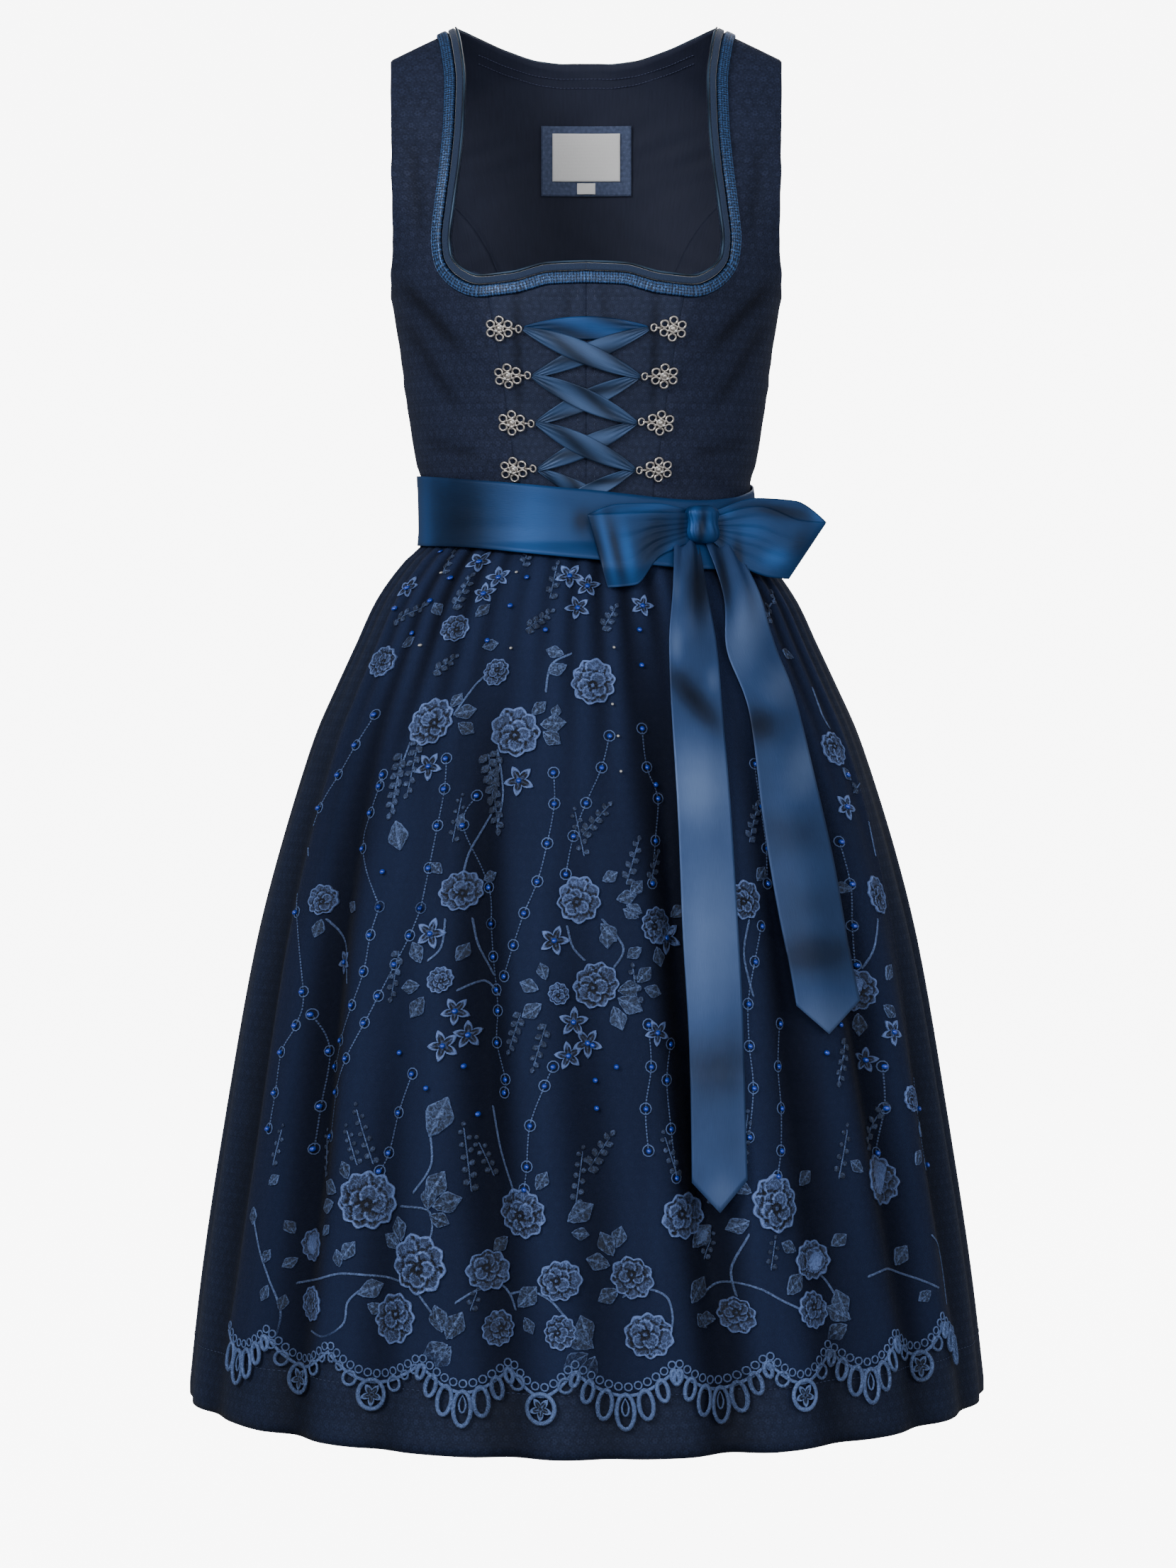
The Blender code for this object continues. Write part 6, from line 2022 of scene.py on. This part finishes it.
def gleam_of(name, points):
    """How brightly a satin piece gleams at its points, from 0 to 1: painted highlights and painted shade,
    with slow painted waves on its back.
    """
    x, y = picture_place(points)
    value = np.full(len(x), PLAIN_GLEAM)
    for gleam in GLEAMS[name]:
        lean = radians(gleam.lean)
        across = ((x - gleam.x) * cos(lean) + (y - gleam.y) * sin(lean)) / gleam.wide
        down = ((y - gleam.y) * cos(lean) - (x - gleam.x) * sin(lean)) / gleam.high
        value += gleam.amount * np.exp(-(across**2) - down**2)
    behind = PLAIN_GLEAM + 0.18 * np.sin(points[:, 0] * 60.0 + points[:, 2] * 90.0)
    return np.clip(np.where(points[:, 1] < 0.0, value, behind), 0.0, 1.0)


# The painted highlights and shade of a satin piece, as a mark of its points.
def gleam_mark(name):
    return lambda u, v, points: gleam_of(name, points)


def sash_at(degrees, column):
    wrapped = (degrees + 180.0) % 360.0 - 180.0
    angles = [point.angle for point in SASH_POINTS]
    return along(angles, [getattr(point, column) for point in SASH_POINTS], wrapped)


def sash_creases(degrees, part):
    """How deep the sash's soft creases are at an angle and a part of its width."""
    depth = np.zeros(len(degrees))
    stretch = 40.0
    for crease in SASH_CREASES:
        dx, dy = (crease.angle2 - crease.angle1) / stretch, crease.part2 - crease.part1
        length = hypot(dx, dy)
        x, y = (degrees - crease.angle1) / stretch, part - crease.part1
        t = (x * dx + y * dy) / length**2
        off = (x * dy - y * dx) / length
        ends = smoothstep(-0.1, 0.35, t) * (1.0 - smoothstep(0.75, 1.1, t))
        depth += crease.depth * ends * np.exp(-((off / crease.width) ** 2))
    return depth * SASH_CREASE_SHARE


class DIRNDL_OT_sash(bpy.types.Operator):
    """Lay the satin sash round the waist"""

    bl_idname = "dirndl.sash"
    bl_label = "Sash"

    def execute(self, context):
        columns, rows = 360, 20

        def place(u, v):
            degrees = 360.0 * u / columns - 180.0
            part = 1.0 - v / rows
            top = SASH_TOP_DROP + sash_at(degrees, "sag")
            edges = 0.0004 * np.exp(-((np.minimum(part, 1.0 - part) / 0.05) ** 2))
            out = sash_at(degrees, "low") + SASH_THICK - edges - sash_creases(degrees, part)
            wrapped = all_round(degrees, np.sqrt(top + part * SASH_WIDTH), out)
            upper, lower = (all_round(degrees, np.sqrt(top + at), out) for at in (0.0, SASH_WIDTH))
            pulled = upper + (lower - upper) * part[:, None]
            return wrapped + (pulled - wrapped) * SASH_PULLED

        def cloth_place(u, v):
            return SASH_WIDTH * v / rows, 0.72 * u / columns

        paint, grid = colours().sash, sheet_grid(columns, rows)
        cloth = satin("sash_satin_cloth", paint, tinted(paint, 1.9), 0.50, 0.20)
        gleam = gleam_mark("sash")
        made = laid("sash_satin", grid, place, cloth_place, cloth, from_axis, gleam=gleam)
        closed = bmesh.new()
        closed.from_mesh(made.data)
        bmesh.ops.remove_doubles(closed, verts=closed.verts, dist=0.00002)
        closed.to_mesh(made.data)
        closed.free()
        walled(made, SASH_THICK - 0.0002)
        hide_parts("sash")
        return {"FINISHED"}


def bow_place(x, y, out, over_body):
    """Places before the picture's pixels, out from the body or from a level past the knot."""
    knot_stop = radians(KNOT_ANGLE), np.float64(sqrt(-KNOT_Z))
    knot = on_figure("front", *knot_stop)
    normal = slopes_and_normal("front", *knot_stop)[2]
    depth = np.full(len(x), knot[1])
    for _ in range(5):
        nearer = (CAMERA_DISTANCE + depth) / CAMERA_DISTANCE
        real_x = (x - PICTURE_MIDDLE_X) * METRES_PER_PIXEL * nearer
        z = CAMERA_HEIGHT + (-(y - PICTURE_TOP_Y) * METRES_PER_PIXEL - CAMERA_HEIGHT) * nearer
        if over_body:
            level = np.full(len(x), KNOT_Z)
            depth = at_place("front", np.minimum(real_x, knot[0]), level, out)[:, 1]
        else:
            past = np.maximum(real_x - knot[0], 0.0)
            depth = knot[1] + past * LOOP_FALLS_BACK + out * normal[1] / hypot(normal[0], normal[1])
        clear = at_place("front", real_x, z, LOOP_CLEAR + out * LOOP_CLEAR_SHARE)[:, 1]
        depth = (depth + clear - np.hypot(depth - clear, LOOP_CLEAR_SOFTNESS)) / 2.0
    return np.stack([real_x, depth, z], axis=-1)


# A loop's creases: where each runs across it, its width and depth, and how far out it reaches
LoopCrease = namedtuple("LoopCrease", "at width depth reach")
LOOP_CREASES = rows_of(
    LoopCrease,
    (-0.34, 0.05, 0.0016, 0.75), (-0.17, 0.045, 0.0022, 0.95), (0.02, 0.05, 0.002, 0.7),
    (0.19, 0.04, 0.0021, 0.9), (0.36, 0.05, 0.0014, 0.65),
)


def loop_creases(part, across, seed):
    """Creases that fan out from the knot and fade along a loop."""
    fan = np.zeros(len(part))
    for n, crease in enumerate(LOOP_CREASES):
        bend = 0.05 * np.sin(seed * 3.1 + n * 2.0)
        line = crease.at * (0.75 + 0.35 * part) + bend * part
        off = (across - line) / (crease.width * (0.8 + 0.9 * part))
        fan += crease.depth * np.exp(-(off**2)) * (1.0 - smoothstep(0.25, crease.reach, part))
    return fan


def bow_loop(loop, material):
    """A ribbon that runs out from the knot, turns over and runs back in front."""
    columns, rows = 30, 110
    table, flat = LOOP_ROWS[loop.name], LOOP_FLAT[loop.name]
    seed = 1.0 if loop.over_body else 2.7

    def place(u, v):
        way = v / rows
        top_x, top_y, low_x, low_y = smooth_row(table, way * (len(table) - 1))
        part = 1.0 - np.abs(2.0 * way - 1.0)
        across = u / columns
        spread = loop.thick * (LOOP_ROOT_THICK + (1.0 - LOOP_ROOT_THICK) * part)
        front = smoothstep(0.35, 0.65, way)
        crease = loop_creases(part, across - 0.5, seed + np.round(front))
        bulge = 0.0022 * np.sin(pi * across) * part * (2.0 * front - 1.0)
        opened = spread * (0.5 - 0.5 * np.cos(pi * way))
        out = loop.low + opened + bulge - crease * LOOP_CREASE_SHARE
        x, y = top_x + (low_x - top_x) * across, top_y + (low_y - top_y) * across
        return bow_place(x, y, out, loop.over_body)

    def cloth_place(u, v):
        return flat[0] * u / columns, flat[1] * v / rows

    name, grid, gleam = f"{loop.name}_satin", sheet_grid(columns, rows), gleam_mark(loop.name)
    made = laid(name, grid, place, cloth_place, material, gleam=gleam)
    walled(made, SATIN_WALL, offset=0.0)
    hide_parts(loop.name)


def bow_knot(material):
    """The wrapped knot: a cushion drawn in at its waist, with folds that run over it."""
    mesh = bmesh.new()
    bmesh.ops.create_uvsphere(mesh, u_segments=72, v_segments=40, radius=0.5)
    stop = radians(KNOT_ANGLE), sqrt(-KNOT_Z)
    normal = Vector(slopes_and_normal("front", *stop)[2])
    level = Vector((0.0, 0.0, 1.0)).cross(normal).normalized()
    sash_high = float(sash_at(KNOT_ANGLE, "low")) + SASH_THICK
    base = Vector(over("front", *stop, sash_high + KNOT_STANDS_OFF + KNOT_SIZE.y / 2.0))
    for vert in mesh.verts:
        turn = atan2(vert.co.x, -vert.co.y)
        vert.co = [copysign(abs(2.0 * value) ** KNOT_SQUARED, value) / 2.0 for value in vert.co]
        x, y, up = vert.co
        waist = 1.0 - 0.17 * exp(-(((up - 0.05) / 0.20) ** 2))
        line = turn * 4.2 + up * 1.6
        groove = 0.055 * (cos(line * 2.0) ** 4) * exp(-((up / 0.42) ** 2))
        swell = waist - groove + 0.10 * up
        sideways = (x * swell * 1.22 - 0.06 * up) * KNOT_SIZE.x - KNOT_SHIFT
        point = sideways * level + y * swell * KNOT_SIZE.y * -normal
        vert.co = base + point + Vector((0.0, 0.0, up * KNOT_SIZE.z * (1.0 - 0.3 * up * up)))
    bmesh.ops.recalc_face_normals(mesh, faces=mesh.faces[:])
    data = shape_of(mesh, "bow_knot_satin")
    where = read(data.vertices, "co")
    # Painted highlights and shade on the knot's satin.
    marked(data, "gleam", gleam_of("bow_knot", where))
    set_cloth_uv(data, where[:, ::2])
    made = shown("bow_knot_satin", data, material)
    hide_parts("bow_knot")


def bow_tail(name, table, material):
    """A ribbon end that hangs over the apron, sewn to a point at its end."""
    columns, rows = 24, 150

    def measures(u, v):
        down = v / rows
        x, z, half_width, low = smooth_row(table, down * (len(table) - 1))
        across = u / columns * 2.0 - 1.0
        z = z - TAIL_TIP * smoothstep(0.90, 1.0, down) * (1.0 - np.abs(across))
        return x, z, half_width, low, across, down

    def place(u, v):
        x, z, half_width, low, across, down = measures(u, v)
        wave = 0.0012 * (1.0 - np.cos(pi * (across + 1.0)))
        bundled = 1.0 - smoothstep(0.02, 0.30, down)
        folds = 0.0034 * bundled * (0.5 - 0.5 * np.cos(across * 5.5 + 1.2 + down * 9.0))
        sway = 0.0010 * (1.0 + np.sin(down * 17.0 + across * 1.4)) * smoothstep(0.1, 0.3, down)
        hem = 0.0005 * smoothstep(0.885, 0.895, down)
        out = low + wave * 0.5 + folds + sway + hem
        return at_place("front", x + across * half_width, z, out)

    def cloth_place(u, v):
        _, z, half_width, _, across, _ = measures(u, v)
        return across * half_width, z

    grid, gleam = sheet_grid(columns, rows), gleam_mark(name)
    made = laid(f"{name}_satin", grid, place, cloth_place, material, from_axis, gleam=gleam)
    walled(made, SATIN_WALL)
    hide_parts(name)
    width = 2.0 * table[-1].half_width


class DIRNDL_OT_bow(bpy.types.Operator):
    """Tie the satin bow: two loops, the knot and two tails"""

    bl_idname = "dirndl.bow"
    bl_label = "Bow"

    def execute(self, context):
        paint = colours()
        loop_satin = satin("bow_loop_satin", paint.sash, tinted(paint.sash, 2.4), 0.42, 0.25)
        tail_satin = satin("bow_tail_satin", paint.tails, tinted(paint.gleam, 1.0))
        for loop in LOOPS:
            bow_loop(loop, loop_satin)
        bow_knot(loop_satin)
        for name, table in TAILS.items():
            bow_tail(name, table, tail_satin)
        return {"FINISHED"}


# Closure


def surface_axes(half, x, z):
    """The normal, the level direction and the upward direction of the surface at a place."""
    drop = drop_of(x, z)
    normal = Vector(slopes_and_normal(half, angle_of(x, drop), np.sqrt(drop))[2])
    level = Vector((0.0, 0.0, 1.0)).cross(normal).normalized()
    return normal, level, normal.cross(level)


def rosette(row, number, sign, metal, stud):
    """A cast rosette of six open petals round a studded middle, with its wire eye."""
    mesh, studs = bmesh.new(), bmesh.new()
    petal = 0.0029
    across, up_reach = ROSETTE_WIDTH / 2.0 - petal - 0.0009, ROSETTE_HEIGHT / 2.0 - petal - 0.0005
    for n in range(6):
        turn = pi / 3.0 * (n + 0.5)
        x, y = across * cos(turn), up_reach * sin(turn)
        ring_mesh(mesh, (x, y, 0.0010), petal, petal * 0.9, 0.00085)
        ball(mesh, (x * 0.52, y * 0.52, 0.0014), 0.0011, 0.8, 8)
    ring_mesh(mesh, (0.0, 0.0, 0.0016), 0.0030, 0.0027, 0.0008, 18)
    ball(mesh, (0.0, 0.0, 0.0014), 0.0022, 0.6, 14)
    reach = row.rosette - row.eye
    ring_mesh(mesh, (reach + 0.0006, 0.0, 0.0014), 0.0022, 0.0026, 0.00075, 14)
    arm = bmesh.ops.create_cone(
        mesh, cap_ends=True, segments=10, radius1=0.0011, radius2=0.0008, depth=reach - 0.0095,
    )["verts"]
    turned(mesh, arm, pi / 2, "Y")
    bmesh.ops.translate(mesh, verts=arm, vec=((reach + 0.0095) / 2.0 - 0.0005, 0.0, 0.0013))
    ball(studs, (0.0019, 0.0019, 0.0030), 0.0011, 1.0, 10)
    ball(studs, (-0.0019, -0.0014, 0.0030), 0.0010, 1.0, 10)
    normal, level, up = surface_axes("front", row.rosette, row.z)
    base = Vector(at_place("front", np.float64(row.rosette), np.float64(row.z), ROSETTE_LOW))
    tilt = radians(ROSETTE_TILTS[number]) * sign
    for part in (mesh, studs):
        turned(part, part.verts, tilt, "Z")
        for vert in part.verts:
            point = base - level * vert.co.x + up * vert.co.y + normal * vert.co.z
            vert.co = Vector((sign * point.x, point.y, point.z))
        bmesh.ops.recalc_face_normals(part, faces=part.faces[:])
    name = f"rosette_{side_name(sign)}_{number + 1}"
    made = shown(name, shape_of(mesh, name), metal)
    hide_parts(f"hook_{side_name(sign)}_{number + 1}")
    beads = shown(f"{name}_studs", shape_of(studs, f"{name}_studs"), stud)


def ribbon_stretch(number, start, end, width, end_width, layer, material, seed):
    """A flat ribbon over the front between two places, widest at its middle, pinched in pleats."""
    columns, rows = 14, 56
    low = LAYER_LOWS[layer]
    dx, dz = end[0] - start[0], end[1] - start[1]
    length = hypot(dx, dz)
    slant = (dx / length, dz / length)
    pinch = end_width - PINCHED_WIDTH

    def place(u, v):
        t, across = v / rows, u / columns - 0.5
        swell = (width - PINCHED_WIDTH - pinch * 0.5) * np.sin(pi * t) ** 0.8
        offset = across * (PINCHED_WIDTH + pinch * t + swell)
        x = start[0] + dx * t - slant[1] * offset
        z = start[1] + dz * t + slant[0] * offset
        gathered = 1.0 - smoothstep(0.0, 0.38, t if pinch else np.minimum(t, 1.0 - t))
        pleats = 0.0007 * gathered * (0.5 + 0.5 * np.cos(across * 21.0 + seed))
        roll = 0.0006 * np.sin(pi * t) * np.sin(across * 4.0 + seed * 1.7)
        return at_place("front", x, z, low + RIBBON_WALL * 0.8 + pleats + roll)

    def cloth_place(u, v):
        return width * u / columns, length * v / rows

    # Painted highlights and shade in waves along the lacing's satin.
    def gleam(u, v, _):
        t, part = v / rows, u / columns
        return 0.56 + 0.32 * np.sin(t * 9.0 + part * 5.0 + seed * 2.3) * np.sin(pi * t) ** 0.5

    name, grid = f"lacing_ribbon_{number}", sheet_grid(columns, rows)
    made = laid(name, grid, place, cloth_place, material, from_axis, gleam=gleam)
    walled(made, RIBBON_WALL * 0.6)
    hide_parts(f"lacing_{number}")
    flat = (max(width * 0.75, LEAST_SHEET_WIDTH), length)


class DIRNDL_OT_closure(bpy.types.Operator):
    """Set the eight silver rosette hooks and thread the satin lacing between them"""

    bl_idname = "dirndl.closure"
    bl_label = "Closure"

    def execute(self, context):
        paint = colours()
        metal = silver("hook_silver_cast", paint.silver)
        stud = glossy_pearl("stud_pearl", (0.86, 0.84, 0.82))
        front_ribbon = satin("lacing_satin_cloth", paint.lace, tinted(paint.lace, 1.8))
        back_ribbon = satin("lacing_satin_back", tinted(paint.sash, 0.8), tinted(paint.sash, 1.6))
        for number, row in enumerate(HOOK_ROWS):
            for sign in (-1, 1):
                rosette(row, number, sign, metal, stud)
        ribbons = (back_ribbon, front_ribbon, front_ribbon)
        for number, stretch in enumerate(STRETCHES):
            start = self.eye(stretch.from_row, stretch.from_side)
            end = self.eye(stretch.to_row, stretch.to_side)
            ribbon_stretch(
                number + 1, start, end, stretch.width, PINCHED_WIDTH, stretch.layer,
                ribbons[stretch.layer], number * PLEAT_SHIFT,
            )
        for tuck in TUCKS:
            start = self.eye(-1, tuck.side)
            end = (-tuck.side * TUCK_SIDE, start[1] - TUCK_DROP)
            ribbon_stretch(
                tuck.number, start, end, TUCK_WIDTH, TUCK_WIDTH, tuck.layer,
                front_ribbon, tuck.number * PLEAT_SHIFT,
            )
        return {"FINISHED"}

    def eye(self, row, side):
        """Where the lace ends beside a hook's eye."""
        hook = HOOK_ROWS[row]
        return side * (hook.eye - STRETCH_STARTS_INSIDE), hook.z


# Labels inside the back


def label_cloth(row, material):
    """A bare cloth sewn inside the back."""
    columns, rows = 36, 24

    def place(u, v):
        x = (u / columns - 0.5) * row.width
        z = row.z + (v / rows - 0.5) * row.height
        lift = 0.0004 * np.sin(u / columns * 7.0) * np.sin(v / rows * 3.0)
        return at_place("back", x, z, -BODICE_WALL - row.depth + lift)

    def cloth_place(u, v):
        return u / columns * row.width, v / rows * row.height

    def inward(points):
        return -from_axis(points)

    grid = sheet_grid(columns, rows)
    made = laid(f"{row.name}_cloth", grid, place, cloth_place, material, inward)
    walled(made, RIBBON_WALL * 0.8)
    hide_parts(row.name)
    row.height > LEAST_SHEET_WIDTH


class DIRNDL_OT_labels(bpy.types.Operator):
    """Sew the bare patch, the bare woven label and the size tag inside the back"""

    bl_idname = "dirndl.labels"
    bl_label = "Labels"

    def execute(self, context):
        paint = colours()
        finishes = (
            (jacquard("patch_cloth", paint.patch, 0.004, 0.3), "patch"),
            (woven_tape("label_weave", paint.label, 0.0007), "label"),
            (woven_tape("tag_weave", paint.label, 0.0006), "label"),
        )
        for row, (material, slot) in zip(LABELS, finishes):
            label_cloth(row, material)
        return {"FINISHED"}


# Stage


Lamp = namedtuple("Lamp", "name place aim size power")
LAMPS = rows_of(
    Lamp,
    ("key_light", (-1.9, -2.5, 0.9), (0.0, 0.0, -0.45), 1.4, 58.0),
    ("neck_light", (0.3, -2.9, 0.5), (0.0, 0.1, -0.15), 0.8, 17.0),
    ("fill_light", (2.2, -2.2, 0.2), (0.0, 0.0, -0.55), 2.0, 19.0),
    ("low_light", (0.2, -3.2, -0.9), (0.0, 0.0, -0.75), 1.6, 11.0),
    ("back_light", (0.4, 2.6, 1.2), (0.0, 0.0, -0.5), 2.0, 34.0),
)


def aimed(thing, place, aim):
    """A light or camera at a place, looking at another."""
    thing.location = place
    thing.rotation_euler = (Vector(aim) - Vector(place)).to_track_quat("-Z", "Y").to_euler()


class DIRNDL_OT_stage(bpy.types.Operator):
    """Set the pale floor, the soft lights and the camera"""

    bl_idname = "dirndl.stage"
    bl_label = "Stage"

    def execute(self, context):
        self.floor()
        self.lights()
        self.camera()
        return {"FINISHED"}

    def floor(self):
        """A pale floor that curves up behind into a backdrop."""
        mesh = bmesh.new()
        bmesh.ops.create_grid(mesh, x_segments=1, y_segments=1, size=6.0)

        def edges_past(y):
            return [edge for edge in mesh.edges if min(vert.co.y for vert in edge.verts) > y]

        far = edges_past(5.9)
        bmesh.ops.spin(
            mesh, geom=far + [vert for edge in far for vert in edge.verts], cent=(0.0, 6.0, 2.0),
            axis=(1.0, 0.0, 0.0), dvec=(0, 0, 0), angle=pi / 2.0, steps=16, use_merge=False,
        )
        raised = bmesh.ops.extrude_edge_only(mesh, edges=edges_past(7.99))
        verts = [part for part in raised["geom"] if isinstance(part, bmesh.types.BMVert)]
        bmesh.ops.translate(mesh, verts=verts, vec=(0.0, 0.0, 6.0))
        bmesh.ops.translate(mesh, verts=mesh.verts, vec=(0.0, 0.0, -HEM_DROP - 0.24))
        data = shape_of(mesh, "pale_floor")
        f = Finish("pale_paper", 0.9)
        paper = f.noise(f.object_place(), 3.0)
        f.put("Base Color", f.mix(paper, (0.86, 0.86, 0.87, 1.0), (0.90, 0.90, 0.91, 1.0)))
        f.put("Emission Color", (1.0, 1.0, 1.0, 1.0))
        f.put("Emission Strength", 8.0)
        data.materials.append(f.material)
        data.shade_smooth()
        made = linked("pale_floor", data)
        made.visible_diffuse = False
        made.visible_glossy = False

    def lights(self):
        for lamp in LAMPS:
            data = bpy.data.lights.new(lamp.name, "AREA")
            data.shape = "DISK"
            data.size = lamp.size
            data.energy = lamp.power
            aimed(linked(lamp.name, data), lamp.place, lamp.aim)
        world = bpy.data.worlds.new("soft_room")
        world.use_nodes = True
        background = world.node_tree.nodes["Background"]
        background.inputs["Color"].default_value = (0.92, 0.95, 1.0, 1.0)
        background.inputs["Strength"].default_value = 0.25
        bpy.context.scene.world = world

    def camera(self):
        data = bpy.data.cameras.new("camera")
        data.sensor_width = SENSOR
        data.sensor_fit = "AUTO"
        data.lens = SENSOR * PICTURE_FOCAL / PICTURE_HEIGHT
        side = (PICTURE_WIDTH / 2.0 - PICTURE_MIDDLE_X) * METRES_PER_PIXEL
        middle = -(PICTURE_HEIGHT / 2.0 - PICTURE_TOP_Y) * METRES_PER_PIXEL + AIM_RAISED
        made = linked("camera", data)
        aimed(made, (side, -CAMERA_DISTANCE, CAMERA_HEIGHT), (side, 0.0, middle))
        bpy.context.scene.camera = made


class DIRNDL_PT_panel(bpy.types.Panel):
    """The dirndl's pieces, its sizes and its colours"""

    bl_idname = "DIRNDL_PT_panel"
    bl_label = "Dirndl"
    bl_space_type = "VIEW_3D"
    bl_region_type = "UI"
    bl_category = "Dirndl"

    def draw(self, context):
        for operator in OPERATORS:
            self.layout.operator(operator.bl_idname)
        for group in (context.scene.dirndl_sizes, context.scene.dirndl_colours):
            for name in group.bl_rna.properties.keys():
                if name not in ("rna_type", "name"):
                    self.layout.prop(group, name)


OPERATORS = (
    DIRNDL_OT_stage,
    DIRNDL_OT_bodice,
    DIRNDL_OT_neck_trims,
    DIRNDL_OT_skirt,
    DIRNDL_OT_apron,
    DIRNDL_OT_sash,
    DIRNDL_OT_bow,
    DIRNDL_OT_closure,
    DIRNDL_OT_labels,
)
CLASSES = (DirndlColours, DirndlSizes, *OPERATORS, DIRNDL_PT_panel)


def register():
    for kind in CLASSES:
        bpy.utils.register_class(kind)
    bpy.types.Scene.dirndl_colours = PointerProperty(type=DirndlColours)
    bpy.types.Scene.dirndl_sizes = PointerProperty(type=DirndlSizes)


def unregister():
    del bpy.types.Scene.dirndl_sizes
    del bpy.types.Scene.dirndl_colours
    for kind in reversed(CLASSES):
        bpy.utils.unregister_class(kind)


def main():
    register()
    for operator in OPERATORS:
        group, name = operator.bl_idname.split(".")
        getattr(getattr(bpy.ops, group), name)()


if __name__ == "__main__":
    main()
